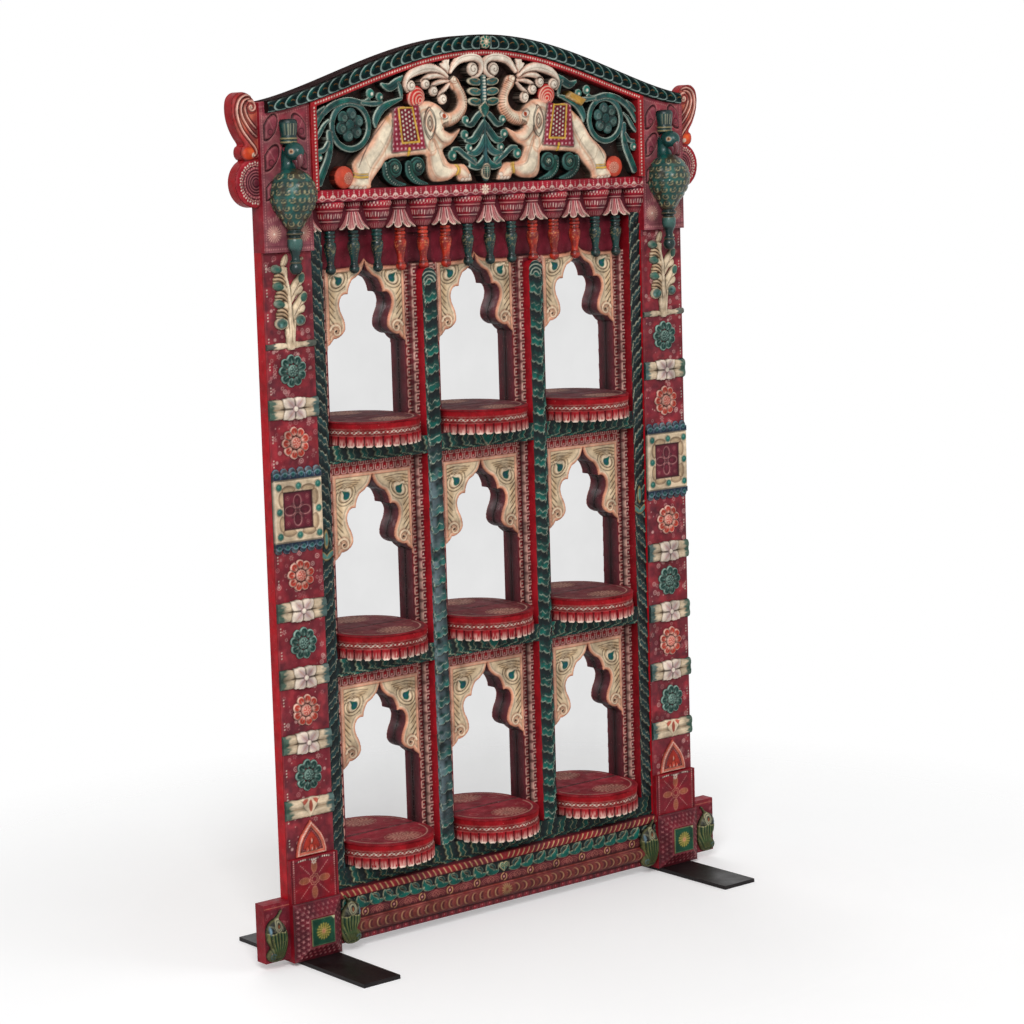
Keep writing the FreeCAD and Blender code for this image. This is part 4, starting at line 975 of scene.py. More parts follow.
shell = Shell()
for side in SIDES:
    low, high = sorted((side * 399, side * RAIL_END))
    part = Patch(steps(low, high, GRID), steps(SILL_TOP, INNER_TOP, GRID), BLACK_TEAL)
    across, along = part.u - side * 413.5, part.v
    leaf_run(part, across * -side, np.abs(along - 822), 29, 33, 25, 13, paint(30, 62, 64),
             paint(190, 184, 158), 57 + side)
    bud = union(ellipse(across, along, (0, 838), 4.6, 16, 0),
                *(ellipse(across, along, (s * 8, 806), 5.0, 12.5, s * -0.85) for s in SIDES))
    part.rise[:] = np.where(bud < 3, part.rise * 0.2, part.rise)
    part.tint(bud - 2, BLACK_TEAL)
    part.tint(bud, PALE_TEAL * 0.55)
    part.lift(bud, 2.2, 4)
    part.line(bud, GOLD, 1.2)
    part.age_and_shade_hollows(67 + side, 0.9, PALE_TEAL)
    shell.lay(part, front(LATTICE), None, BOARD - LATTICE, CRIMSON * 0.9, deep_shade=0.6)
shell.make("inner_strip_leaves", ["inner_strips"], "teal_paint", PAINTED)

shell = Shell()
for _, floor_z in ROWS[1:]:
    for _, middle in COLUMNS:
        part = Patch(steps(middle - 121, middle + 121, GRID), steps(floor_z - 36, floor_z, GRID),
                     BLACK_TEAL)
        u, v = part.u, part.v - floor_z + 18
        leaf_run(part, -v, np.abs(u) - 4, 36, 32, 9, 22, TEAL * 0.75,
                 paint(184, 182, 150), 71)
        if middle == 0:
            lotus = union(ellipse(u, v, (0, -1), 5.5, 17, 0),
                          *(ellipse(u, v, (s * 9, 1), 5, 16, s * -0.42) for s in SIDES))
            part.rise[:] = np.where(lotus < 2, 0.5, part.rise)
            part.tint(lotus - 1.5, BLACK_TEAL)
            part.tint(lotus, TEAL)
            part.lift(lotus, 2.6, 4)
            part.line(lotus, CREAM, 1.2)
        part.age_and_shade_hollows(73, 0.9, PALE_TEAL)
        shell.lay(part, front(LATTICE), None, BOARD - LATTICE, MAROON, deep_shade=0.5)
shell.make("transom_leaves", ["transoms"], "teal_paint", PAINTED)


# Half-round shelves with a skirt of petals

PETALS = 17
SHELF_REACH = 102.6
SHELF_TOP = 46.0
SHELF_HEM = -4.0
HALF_ROUND = 0.5 * math.pi * SHELF_REACH


def shelf_rim(shell, seed):
    """The round front edge with its petals, u running round it."""
    part = Patch(steps(-HALF_ROUND, HALF_ROUND, GRID),
                 steps(SHELF_HEM, SHELF_TOP - 3, GRID), CRIMSON)
    u, v = part.u, part.v
    half = HALF_ROUND / PETALS
    petal = wrap(u, 2 * half, half)[0]
    scallop = np.hypot(petal / half, np.maximum(SHELF_HEM + 9 - v, 0) / 10.5) - 1
    hem_gap = np.where(v < SHELF_HEM + 9, scallop * 6, -5)
    part.tint(33 - v, paint(178, 24, 38), 0.9, 4)
    part.tint(16 - v - 3 * np.cos(petal / half * 1.5), RED * 0.75, 0.9)
    bristle = noise(u * 3.2, v * 0.25, 2.4, seed + 4)
    fade = np.clip((14 - v) / 15, 0, 1) ** 1.1 * np.clip(2.3 * bristle - 0.55, 0, 1.2)
    fade = fade * np.clip(1.35 - np.abs(petal) / half, 0.15, 1)
    part.blend(paint(226, 182, 168), np.clip(fade, 0, 0.9))
    part.tint(v + 1.0, paint(236, 216, 198), 0.8 * np.clip(1.3 - np.abs(petal) / half, 0, 1), 3)
    edge = only(v < 17, half - np.abs(petal) - 0.2)
    part.tint(edge - 1.1, paint(70, 12, 22), 0.9, 2)
    part.lift(only(v < 18, -np.minimum(edge, 20) + np.clip(v - 15, 0, 9)), 2.2, 6)
    part.lift(np.abs(v - 37) - 8, 1.3, 5)
    place = wrap(u, 9.2)[0]
    wave = 2.6 * np.sin(u / 9.2 * math.pi)
    fresh = np.clip(1.9 * noise(u, v, 13, seed + 6) - 0.15, 0.25, 1)
    part.tint(np.abs(v - 25 - wave) - 0.9, IVORY, 0.9 * fresh)
    part.tint(np.abs(v - 25 + wave * 0.8) - 0.6, IVORY, 0.6 * fresh)
    part.tint(disc(place, v, (0, 25), 1.6), IVORY, 0.9)
    for level in (31, 19.2):
        part.tint(np.hypot(wrap(u, 3.4)[0], v - level) - 0.8, IVORY, 0.45 * fresh)
    # Painted shade: the rim darkens towards both ends, where it turns back against the board
    part.tint(HALF_ROUND - 13 - np.abs(u), paint(58, 12, 20), 0.75, 16)
    part.age_and_shade_hollows(seed, 0.9, PINK)

    def rim(a, b, rise):
        turn = a / SHELF_REACH
        out = SHELF_REACH - 2.6 + rise
        return np.stack([out * np.sin(turn), BOARD - out * np.cos(turn), b], -1)

    shell.lay(part, rim, hem_gap, 5.5, MAROON * 0.7)


def shelf_top(shell, ground, seed):
    """The upper side with a printed flower, its dots and a line of beads."""
    reach = SHELF_REACH
    over = Patch(steps(-reach, reach, GRID), steps(BOARD - reach, GLASS_FACE - 0.5, GRID),
                 ground)
    x, y = over.u, over.v
    gap = np.where(y < BOARD, disc(x, y, (0, BOARD), reach), np.abs(x) - 95.0)
    gap = np.where((y >= BOARD) & (gap < 0), gap, np.where(y < BOARD, gap, 5))
    over.tint(noise(x, y, 16, seed + 9) * 6 - 3.2, ground * 0.72, 0.6, 4)
    heart = (8, BOARD - 54)
    away = np.hypot((x - heart[0]) / 1.22, y - heart[1])
    turn = np.arctan2(y - heart[1], x - heart[0])
    dots = np.cos(turn * 18) * np.cos(away / 2.2)
    lace = np.clip((31 - away) / 3, 0, 1) * np.clip(0.45 + 0.9 * dots, 0, 1) * 0.8
    over.blend(paint(196, 152, 130), lace)
    for radius, count, width in ((31.5, 22, 1.0), (18, 0, 0.8), (8, 0, 0.9)):
        ring = np.abs(away - radius - (1.8 * np.abs(np.sin(turn * count / 2)) if count else 0))
        over.tint(ring - width / 2, paint(206, 164, 140), 0.6)
    arc = np.hypot(x, y - BOARD)
    beads = np.abs(np.sin(np.arctan2(y - BOARD, x) * 58))
    over.tint(np.abs(arc - 88) - 0.8 - 0.5 * beads, paint(206, 170, 150), 0.72 * (y < BOARD))
    for side in SIDES:
        over.tint(np.abs(disc(x, y, (side * 62, BOARD - 22), 9)) - 0.5,
                  paint(196, 150, 130), 0.4)
    round_over = np.where(y < BOARD, np.maximum(arc - (reach - 5), 0), 0)
    over.rise[:] = -0.10 * round_over ** 2
    over.tint(reach - 6.5 - arc, CRIMSON * 0.9, 0.8 * (y < BOARD), 4)
    over.tint(np.abs(y - GLASS_FACE + 2) - 2, SHADOW, 0.85, 1.5)
    over.age_and_shade_hollows(seed + 5, 0.7, PINK)
    shell.lay(over, top(SHELF_TOP), gap)


def shelf(shell, middle, floor, ground, seed):
    local = Shell()
    shelf_rim(local, seed)
    shelf_top(local, ground, seed)
    inset = SHELF_REACH - 5
    under = Patch(steps(-inset, inset, 8), steps(BOARD - inset, BOARD, 8), MAROON * 0.6)
    gap = disc(under.u, under.v, (0, BOARD), SHELF_REACH - 6)
    local.lay(under, lambda a, b, rise: np.stack([-a, b, SHELF_HEM + 6 + rise], -1), gap)
    shell.join(local, (middle, 0, floor))


GROUNDS = {"bottom": paint(140, 40, 50), "middle": paint(112, 50, 54), "top": paint(98, 50, 54)}
seed = 400
for row, floor_z in ROWS:
    for column, middle in COLUMNS:
        shell = Shell()
        shelf(shell, middle, floor_z, GROUNDS[row], seed)
        shell.make(f"shelf_{row}_{column}_carved", [f"shelf_{row}_{column}"],
                   "crimson_paint", SHELF_PAINT)
        seed += 10


# Stiles: a maroon ground with small printed flowers, and the carvings on it

STILE = 485.5
PLINTH_TOP = 127
STILE_TOP = 1405
PANEL_TOP = 215
HALF_STILE = 57.5


def stile_patch(side, low, high, ground, half=HALF_STILE):
    """A patch between two levels of a stile, and its places from the stile's middle."""
    middle = side * STILE
    part = fine_patch(middle - half, middle + half, low, high, ground)
    return part, part.u - middle


def both_sides(build, *seeds):
    """What build lays on the left and on the right, each with a seed if there are any."""
    shell = Shell()
    for number, side in enumerate(SIDES):
        build(shell, side, *seeds[number:number + 1])
    return shell


def scatter(part, seed, count, colours):
    """Small printed rings, dots and flowers at seeded places."""
    random = np.random.default_rng(seed)
    low_u, high_u = part.u.min() + 5, part.u.max() - 5
    low_v, high_v = part.v.min() + 5, part.v.max() - 5
    for k in range(count):
        centre = (random.uniform(low_u, high_u), random.uniform(low_v, high_v))
        size = random.uniform(2.2, 4.4)
        near = part.window(centre[0] - 9, centre[1] - 9, centre[0] + 9, centre[1] + 9)
        if near.u.size < 4:
            continue
        tone = colours[k % len(colours)]
        if k % 3 == 0:
            near.line(disc(near.u, near.v, centre, size), tone, 1.5, 0.6)
            near.tint(disc(near.u, near.v, centre, 1.2), tone, 0.7)
        elif k % 3 == 1:
            near.tint(petals(near.u, near.v, centre, 6, size + 1, 0.9, k, 2), tone, 0.55)
        else:
            near.tint(disc(near.u, near.v, centre, 1.2), tone, 0.65)


def stile_ground(shell, side, seed):
    part = stile_patch(side, PLINTH_TOP, STILE_TOP, MAROON)[0]
    u, v = part.u, part.v
    worn = np.clip(noise(u, v, 60, seed) * 1.5 - 0.25, 0, 1)[..., None]
    part.colour[:] = paint(98, 40, 48) * (1 - worn) + paint(134, 30, 42) * worn
    part.tint(noise(u, v, 11, seed + 7) * 8 - 5.2, paint(176, 60, 66), 0.4, 3)
    part.tint(noise(u, v, 14, seed + 8) * 8 - 5.0, paint(78, 28, 40), 0.5, 3)
    scatter(part, seed + 1, 420, (paint(188, 120, 120), paint(222, 178, 170)))
    outer = HALF_STILE - side * (u - side * STILE)
    notch = wrap(v, 47, 12)[0]
    for k in (-6, 0, 6):
        part.tint(disc(outer, notch, (8, k), 1.2), IVORY * 0.9, 0.9)
    part.rise -= 1.6 * np.clip(1 - np.minimum(outer, 2 * HALF_STILE - outer) / 2.2, 0, 1) ** 2
    part.tint(outer - 1.6, RED, 0.7, 2)
    part.age_and_shade_hollows(seed + 3, 1.0, PINK)
    shell.lay(part, front(0), None, 27, paint(180, 10, 26), deep_shade=0.92, backed=True)


def rosette(shell, centre, seed, field, rim, heart, streak):
    part = patch_around(centre, 34, field * 0.5)
    u, v = part.u - centre[0], part.v - centre[1]
    away = np.hypot(u, v)
    start = 0.32 + seed
    turns = start + np.arange(9) * 2 * math.pi / 9
    lobes = union(*(disc(u, v, (22.6 * math.cos(t), 22.6 * math.sin(t)), 9.6) for t in turns))
    hearts = union(*(disc(u, v, (23.6 * math.cos(t), 23.6 * math.sin(t)), 4.9) for t in turns))
    ring = lobes + 1.4 * (noise(u, v, 7, int(seed * 10) + 3) - 0.5)
    part.tint(ring + 0.5, field, 1.0, 2)
    part.tint(0.5 - noise(u, v, 9, int(seed * 100) + 41), field * 0.55, 0.7, 0.25)
    part.lift(ring, 5.8, 6.5)
    part.carve(hearts, 2.2, 4)
    part.line(ring + 1.4, rim, 1.7, 0.97)
    part.tint(hearts, heart, 0.85, 3)
    spokes = petals(u, v, (0, 0), 18, 23, 1.3, start, 9)
    part.tint(np.abs(away - 15.5) - 3.0, streak, 0.75, 4)
    part.tint(spokes, rim, 0.5)
    part.carve(petals(u, v, (0, 0), 9, 30, 1.2, start + math.pi / 9, 12), 1.6, 1.2)
    knob = away - 11.5
    part.tint(knob, field * 1.1)
    part.lift(knob, 6.0, 10, np.full(u.shape, 3.0))
    part.line(knob + 0.8, rim, 1.4, 0.9)
    for radius, count in ((7.2, 8), (3.2, 4)):
        part.tint(petals(u, v, (0, 0), count, radius + 1.5, 1.5, 0.2, radius - 1.5), rim, 0.75)
    part.age_and_shade_hollows(int(10 * seed) + 5, 1.1, rim)
    outline = union(ring, away - 22)
    shell.lay(part, front(0), outline, 1, None, 0.4)


def cross_band(shell, side, height, seed, drop=False):
    part, u = stile_patch(side, height - 22.5, height + 22.5, CREAM * 0.92)
    v = part.v - height
    wave = 0.9 * np.sin(u / 9 + seed) + 0.6 * np.sin(u / 3.7)
    outline = np.abs(v) - 19.6 - wave
    roll = np.abs(np.abs(v) - 9.8) - 9.6
    part.lift(roll, 6.5, 9)
    part.rise[:] = np.where(np.abs(v) < 8, np.maximum(part.rise, 5.0), part.rise)
    part.tint(2.4 - np.abs(np.abs(v) - 9.8), CREAM * 0.86, 0.4, 5)
    part.tint(np.abs(v) - 1.2, paint(142, 112, 80), 0.8, 3)
    part.tint(13 - np.abs(v) + 5, BROWN, 0.45, 3)
    for k in range(7):
        strand = np.abs(v - (-15 + 5 * k) - 1.1 * np.sin(u / 7 + k * 2.1)) - 0.3
        part.tint(strand, OCHRE * 0.8, 0.4)
    ends = HALF_STILE - 13 - np.abs(u) + 12 * (noise(u * 0.3, v, 3.0, seed) - 0.5)
    tone = np.where(u[..., None] * side < 0, paint(8, 78, 82), TEAL * 0.7)
    part.tint(ends, tone, 0.9, 7)
    if drop:
        gap = polygon(u, v, [(-25, 21), (25, 21), (17, 3), (6, -13), (0, -21), (-6, -13),
                             (-17, 3)])
        part.tint(gap, CREAM)
        part.lift(gap, 8.5, 6)
        inner = petals(u, v - 24, (0, 0), 7, 34, 5.0, -math.pi / 2, 6)
        inner = np.maximum(inner, gap + 2)
        part.tint(inner, ORANGE, 0.9)
        part.line(inner, CREAM * 1.05, 1.2)
        part.carve(inner, 1.4, 3)
    else:
        flower = petals(u, v, (0, 0), 4, 33, 14.0, math.pi / 4, -2)
        flower = np.maximum(flower, np.abs(v) - 21.5 + 0.9 * np.cos(u / 3.4))
        part.tint(flower - 1.6, paint(150, 118, 84), 0.7, 3)
        part.tint(flower, paint(226, 208, 190))
        part.line(flower + 1.6, IVORY, 2.0, 0.7)
        part.lift(flower, 4.4, 8, np.full(u.shape, 5.6))
        part.carve(petals(u, v, (0, 0), 4, 30, 1.6, 0, 5), 2.4, 2)
        part.tint(petals(u, v, (0, 0), 4, 26, 1.6, 0, 5), paint(150, 118, 96), 0.6, 3)
        blush = petals(u, v, (0, 0), 4, 23, 6, math.pi / 4, 2)
        part.tint(blush, paint(156, 122, 136), 0.7, 6)
        part.tint(petals(u, v, (0, 0), 4, 27, 1.0, math.pi / 4, 5), OCHRE, 0.5)
        part.tint(disc(u, v, (0, 0), 5.4), IVORY)
        part.lift(disc(u, v, (0, 0), 6), 3, 6, np.full(u.shape, 9.6))
        part.line(disc(u, v, (0, 0), 5.6), paint(150, 96, 110), 1.2, 0.8)
        outline = union(outline, flower)
    part.age_and_shade_hollows(seed + 11, 1.2, IVORY)
    shell.lay(part, front(0), outline, 0.5, None, 0.5)


def plaque(shell, side, seed):
    centre, reach = 905.2, 84
    part, u = stile_patch(side, centre - reach, centre + reach, paint(26, 40, 58))
    v = part.v - centre
    flip = np.abs(v)
    lobe = wrap(u, HALF_STILE / 3, HALF_STILE / 6)[0]
    scallop = np.where(flip > 72, np.hypot(lobe / 9.6, (flip - 72) / 12.0) - 1, -0.5) * 10
    scallop = np.maximum(scallop, flip - reach)
    for top_row in (84.0, 76.0):
        bead = (np.hypot(lobe / 9.4, np.maximum(flip - top_row + 10, 0) / 10) - 1) * 9
        part.tint(only(flip > 61, bead), paint(22, 38, 56))
        part.line(only(flip > 63, bead + 0.8), PALE_BLUE, 1.3, 0.8)
    part.lift(only(flip > 61, scallop), 6, 7)
    part.tint(disc(lobe, flip, (0, 73), 3.2), TEAL, 0.5)
    part.line(disc(lobe, flip, (0, 71), 3.8), PALE_TEAL, 1.2, 0.6)
    dark = np.where((flip > 61) & (np.abs(lobe) > 8.2), -1, 5)
    part.tint(dark, SHADOW, 0.8)
    slab_gap = rect(u, v, -HALF_STILE, -61, HALF_STILE, 61, 3)
    part.tint(slab_gap, CREAM)
    part.rise[:] = np.where(slab_gap < 0, 0, part.rise)
    part.lift(slab_gap, 7.5, 4)
    well = rect(u, v, -34, -37, 34, 37, 1.5)
    frame_middle = np.abs(rect(u, v, -45, -48.5, 45, 48.5))
    for k in range(9):
        strand = np.abs(frame_middle - 1.8 * k + 4 + 0.8 * np.sin((u + v) / 6 + k)) - 0.25
        part.tint(np.maximum(strand, slab_gap + 2), OCHRE * 0.85, 0.35)
    spots = ([(x, z) for x in (-46, 46) for z in (-48, 0, 48)] + [(0, -48), (0, 48)])
    for x, z in spots:
        drop = disc(u, v, (x, z), 7.6)
        part.tint(drop, TEAL)
        part.tint(disc(u, v, (x - 1, z + 1.5), 2.4), PALE_TEAL, 0.7)
        part.line(drop, CREAM * 0.72, 1.4, 0.9)
        part.pile(drop, 1.6, 5)
    for x, z, turn in [(x, z, 1.57) for x in (-46, 46) for z in (-24, 24)] + [
            (x, z, 0) for x in (-23, 23) for z in (-49, 49)]:
        pull = 7 if turn else 0
        hollow = ellipse(u, v, (x - math.copysign(pull, x), z - math.copysign(7 - pull, z)),
                         14.5, 7.4, turn)
        part.tint(hollow, OCHRE * 0.66, 0.4, 3)
        part.line(hollow, paint(112, 80, 56), 1.5, 0.75)
        part.carve(hollow, 1.6, 3.5)
    part.tint(well, paint(104, 34, 48))
    part.rise[:] = np.where(well < 1.5, 3.0 + np.clip(well + 1.5, 0, 3), part.rise)
    part.line(well + 0.3, paint(70, 40, 40), 1.6, 0.8)
    cross = petals(u, v, (0, 0), 4, 30, 8.6, 0, 5)
    part.line(only(well < -2, cross), paint(196, 132, 130), 1.3, 0.85)
    part.line(only(well < -2, petals(u, v, (0, 0), 4, 24, 3.6, 0, 8)), DEEP_MAROON,
              1.2, 0.7)
    part.carve(cross, 1.2, 2.5)
    thin = petals(u, v, (0, 0), 4, 19, 3.4, math.pi / 4, 3)
    part.line(only(well < -2, thin), DEEP_MAROON * 0.6, 1.3, 0.8)
    for x in (-23, 23):
        for z in (-25, 25):
            part.line(disc(u, v, (x, z), 3.8), DUSTY_PINK, 1.1, 0.7)
            part.tint(disc(u, v, (x, z), 1.1), PINK, 0.7)
    part.age_and_shade_hollows(seed, 1.2, IVORY)
    shell.lay(part, front(0), union(scallop, slab_gap), 0.5, None, 0.45)


def tree(shell, side, seed):
    part, u = stile_patch(side, 1217, STILE_TOP, CREAM)
    v = part.v

    def leaf(centre, corners):
        places = smooth([(centre[0] + a, centre[1] + b) for a, b in corners + corners[:1]], 4)
        return polygon(u, v, [(float(a), float(b)) for a, b in places])

    stem = stroke(u, v, [(0, 1226, 23), (0, 1240, 19), (1, 1258, 15), (0, 1280, 12), (-1, 1310, 11),
                         (-2, 1334, 9), (-7, 1356, 8), (-13, 1374, 5)])
    bar = np.abs(v - 1225.5 - 0.02 * u) - 6 - 0.8 * np.sin(u / 6)
    lobed, tips = [], []
    for x, z in ((-28, 1373), (-25, 1340), (-24, 1306)):
        body = leaf((x, z), [(26, 2), (14, 6), (4, -4), (-1, -9), (-5, -12), (-4, -15), (-8, -18),
                             (-7, -22), (-8, -26), (0, -29), (10, -28), (18, -31), (25, -40)])
        tips.append(ellipse(u, v, (x, z), 12, 8.6, -0.15))
        lobed.append((body, x, z))
    tall = []
    for x, z in ((29, 1353), (33, 1316)):
        tall.append(leaf((x, z), [(-28, -16), (-13, 1), (-1, 12), (8, 9), (9, 0), (6, -8), (1, -12),
                                  (4, -19), (0, -28), (-12, -33), (-22, -46), (-29, -48)]))
        tips.append(ellipse(u, v, (x - 0.5, z + 0.5), 7.6, 9.8, -0.6))
    tall.append(ellipse(u, v, (-8, 1387), 7.0, 14.5, -0.45))
    tall.append(ellipse(u, v, (31, 1390), 6.5, 3.2, 0.3))
    curls = [ellipse(u, v, (-21, 1268.5), 15, 12), ellipse(u, v, (22.5, 1273), 14, 11.5)]
    arms = [stroke(u, v, [(s * 5, 1228, 10), (s * 7, 1252, 10), (s * 10, 1272, 9)]) for s in SIDES]
    outline = union(stem, bar, *curls, *arms, *tips, *tall, *(body for body, x, z in lobed))
    part.lift(bar, 5.5, 6)
    for gap in tall + [body for body, x, z in lobed]:
        part.tint(gap - 1, BROWN * 0.8, 0.85, 2)
        part.tint(gap, paint(206, 184, 150))
        part.tint(gap + 3, CREAM, 0.8, 4)
        part.lift(gap, 6.0, 6)
        part.line(gap + 1.2, BROWN, 1.0, 0.5)
    for body, x, z in lobed:
        for k in range(3):
            low = z - 7 - 7.5 * k
            crease = stroke(u, v, [(x - 6, low - 1, 1.4), (x + 5, low - 1, 2.0),
                                   (x + 14, low - 5, 2.0), (x + 21, low - 13, 1.0)])
            crease = np.maximum(crease, body + 0.5)
            part.tint(crease - 2.4, paint(186, 138, 92), 0.7, 3)
            part.tint(crease, BROWN * 0.6, 0.95)
            part.carve(crease - 0.8, 2.4, 1.8)
    for gap, x, z in zip(tall, (29, 33), (1353, 1316)):
        rib = stroke(u, v, [(x - 24, z - 34, 1.4), (x - 12, z - 16, 1.8), (x - 1, z + 2, 1.0)])
        part.tint(rib, paint(150, 116, 96), 0.6)
        part.carve(rib, 1.2, 1.4)
        notch = stroke(u, v, [(x + 4, z - 12, 2.6), (x - 7, z - 15, 1.6), (x - 13, z - 22, 0.8)])
        part.tint(notch, paint(160, 112, 72), 0.85, 1.6)
        part.carve(notch, 2.0, 1.6)
    for aside in (-2.4, 1.6):
        rib = np.abs(u + 8 + aside - 0.42 * (v - 1387)) - 0.8
        part.tint(np.maximum(rib, tall[2] + 1), BROWN, 0.8)
    for gap in arms + [stem]:
        part.tint(gap, CREAM)
        part.lift(gap, 8.0, 7)
        part.line(gap + 1.0, OCHRE * 0.7, 0.9, 0.5)
    part.tint(segment(u, v, (0, 1232), (0, 1300), 1.1, 0.5), paint(128, 92, 66), 0.75)
    for gap in curls:
        part.tint(gap - 1, BROWN * 0.8, 0.8, 2)
        part.tint(gap, CREAM)
        part.lift(gap, 8.0, 7)
        part.tint(gap + 2.2, TEAL * 0.7, 0.95, 2)
        pale = np.maximum(gap + 4, noise(u, v, 6, seed + 4) * 9 - 4)
        part.tint(pale, paint(116, 158, 156), 0.7, 3)
        deep = np.maximum(gap + 3, noise(u, v, 5, seed + 5) * 9 - 3.8)
        part.tint(deep, DEEP_TEAL, 0.8, 3)
    for gap in tips:
        part.tint(gap - 0.6, paint(206, 190, 158), 0.9)
        part.tint(gap + 0.2, TEAL * 0.66, 0.95, 1.5)
        part.tint(gap + 4.6, TEAL, 0.4, 3)
        part.lift(gap, 7.2, 6)
    part.tint(only(bar < 0, 38 - np.abs(u) + 3 * np.sin(v)), DEEP_TEAL * 1.3, 0.9, 3)
    speck = noise(part.u, v, 7, seed + 9)
    part.tint(0.64 - speck, paint(156, 128, 94), 0.4 * (part.colour[..., 0] > 0.3), 0.2)
    part.age_and_shade_hollows(seed, 1.2, IVORY)
    shell.lay(part, front(0), outline, 0.5, None, 0.45)


def ogee(shell, side, seed):
    part, u = stile_patch(side, PANEL_TOP, 290, ORANGE, 38)
    v = part.v
    half = [(0, 288), (5.5, 281), (15, 270.5), (25, 258), (31.5, 245), (35.5, 230), (37, 215.5)]
    corners = half + [(-x, z) for x, z in reversed(half[1:])]
    gap = polygon(u, v, corners)
    part.lift(gap, 6.5, 5)
    part.line(gap + 3.8, paint(196, 104, 88), 5.6, 0.8)
    dots = wrap(v * 1.1 + np.abs(u) * 0.4, 3.6)[0]
    part.tint(np.hypot(gap + 3.8, dots) - 1.1, IVORY, 0.9)
    part.carve(gap + 8.5, 2.4, 2.5)
    part.tint(gap + 9, paint(120, 26, 38), 1.0, 2)
    part.line(gap + 8.6, PEACH, 1.4, 0.8)
    part.tint(np.hypot(gap + 12.5, dots) - 0.9, PINK, 0.7)
    part.tint(gap + 15, paint(176, 52, 36), 0.9, 2)
    for x, z, size in ((-10, 226, 8), (0, 229, 10), (10, 226, 8), (0, 246, 6)):
        flame = ellipse(u, v, (x, z), size * 0.52, size, 0)
        flame = np.maximum(flame, gap + 10)
        part.tint(flame, ORANGE * 1.1, 0.9)
        part.pile(flame, 2.2, 3)
        part.tint(ellipse(u, v, (x, z - 1), 0.8, 3.2, 0), IVORY, 0.9 * (gap < -10))
    part.age_and_shade_hollows(seed, 1.0, PEACH)
    shell.lay(part, front(0), gap, 0.5, None, 0.5)


def base_panel(shell, side, seed):
    part, u = stile_patch(side, PLINTH_TOP, PANEL_TOP, CRIMSON * 0.85)
    v = part.v - 168
    part.tint(noise(part.u, part.v, 30, seed) * 8 - 4.5, MAROON, 0.6, 5)
    for s in SIDES:
        bead = wrap(v, 4.4)[0]
        part.tint(disc(u * s, bead, (49, 0), 1.25), paint(214, 170, 160), 0.35 + 0.5 * (v > 20))
    part.carve(np.abs(np.abs(u) - 53) - 1, 1.6, 1.2)
    for k in range(4):
        leaf = ellipse(u, v, (24 * math.cos(k * math.pi / 2), 26 * math.sin(k * math.pi / 2)),
                       12, 6.5, k * math.pi / 2)
        lit = np.cos(u * 1.7) * np.cos(v * 1.7) > -0.1
        part.tint(leaf, paint(172, 112, 74), 0.25 + 0.45 * lit)
        part.line(leaf, paint(196, 124, 104), 1.2, 0.3 + 0.5 * lit)
    for radius in (11, 6.5):
        beads = 0.45 + 0.45 * (np.sin(np.arctan2(v, u) * 2.4 * radius) > -0.3)
        part.line(np.hypot(u, v) - radius - np.sin(np.arctan2(v, u) * 8), paint(198, 134, 110),
                  1.5, beads)
    dashes = 0.15 + 0.6 * (np.sin((np.abs(u) + np.abs(v)) * 0.9) > -0.2)
    for s in SIDES:
        part.tint(segment(u * s, np.abs(v), (12, 12), (34, 34), 0.8, 0.6), PINK, dashes)
    part.tint(np.abs(v - 40 - 3 * np.abs(np.sin(u / 14))) - 1.6, DEEP_MAROON * 0.7,
              0.8 * (np.abs(u) < 46))
    bead = wrap(u, 5.2)[0]
    rank = np.clip(np.abs(np.cos(u / 9)) * 1.6 - 0.3, 0, 1)
    part.tint(np.hypot(bead, v - 40 - 3 * np.abs(np.sin(u / 14))) - 1.4, IVORY,
              rank * (np.abs(u) < 44))
    part.tint(petals(u, v, (0, 37), 7, 6, 1.5, 0, 2), IVORY, 0.75)
    part.age_and_shade_hollows(seed, 0.9, DUSTY_PINK)
    shell.lay(part, front(-10), None, 10, CRIMSON, deep_shade=0.8)


for side, word in zip(SIDES, ("left", "right")):
    shell = Shell()
    stile_ground(shell, side, 700 + side * 20)
    shell.make(f"stile_{word}_painted", [f"stile_{word}"], "maroon_paint", PAINTED)

shell = Shell()
GREEN_HEIGHTS = (378, 642, 1176)
for side in SIDES:
    for height in (378, 508, 642, 776, 1036, 1176):
        if height in GREEN_HEIGHTS:
            tones = (paint(10, 42, 40), paint(150, 182, 168), paint(6, 58, 50), paint(26, 64, 60))
        else:
            tones = (paint(184, 66, 50), paint(238, 196, 178), paint(188, 54, 38),
                     paint(200, 140, 122))
        rosette(shell, (side * STILE + 1.5, height), height % 7 * 0.1, *tones)
shell.make("stile_rosettes_carved", ["stile_rosettes"], "orange_paint", PAINTED)

shell = Shell()
for side in SIDES:
    for number, height in enumerate((313, 444, 574, 707, 1103)):
        cross_band(shell, side, height, 3 * number + side + 2, height == 313)
shell.make("cross_bands_carved", ["cross_bands"], "cream_paint", PAINTED)

for name, node, slot, build in (
        ("square_plaques_carved", "square_plaques", "blue_paint", plaque),
        ("tree_reliefs_carved", "tree_reliefs", "cream_paint", tree),
        ("ogee_arches_carved", "ogee_arches", "orange_paint", ogee),
        ("base_panels_carved", "base_panels", "crimson_paint", base_panel)):
    both_sides(build, 759, 761).make(name, [node], slot, PAINTED)


# The crown: an arched panel with two elephants among scrolling leaves

CROWN_BOARD = 12
CROWN_SPAN = 546
PANEL_FOOT = 1519
PANEL_TIP = 1786
CORNICE_END = 530.5


def arch_level(x, foot, rise, power):
    """Height of a line of the crown over a place across it."""
    bend = np.cos(np.pi / 2 * np.clip(np.abs(x) / CROWN_SPAN, 0, 1))
    return foot + rise * bend ** power


def ceiling_level(x):
    """Height of the crown panel, where the cornice starts."""
    return arch_level(x, 1668, 117, 1.6)


def crest_level(x):
    """Height of the cornice."""
    return arch_level(x, 1690, 125, 1.4)


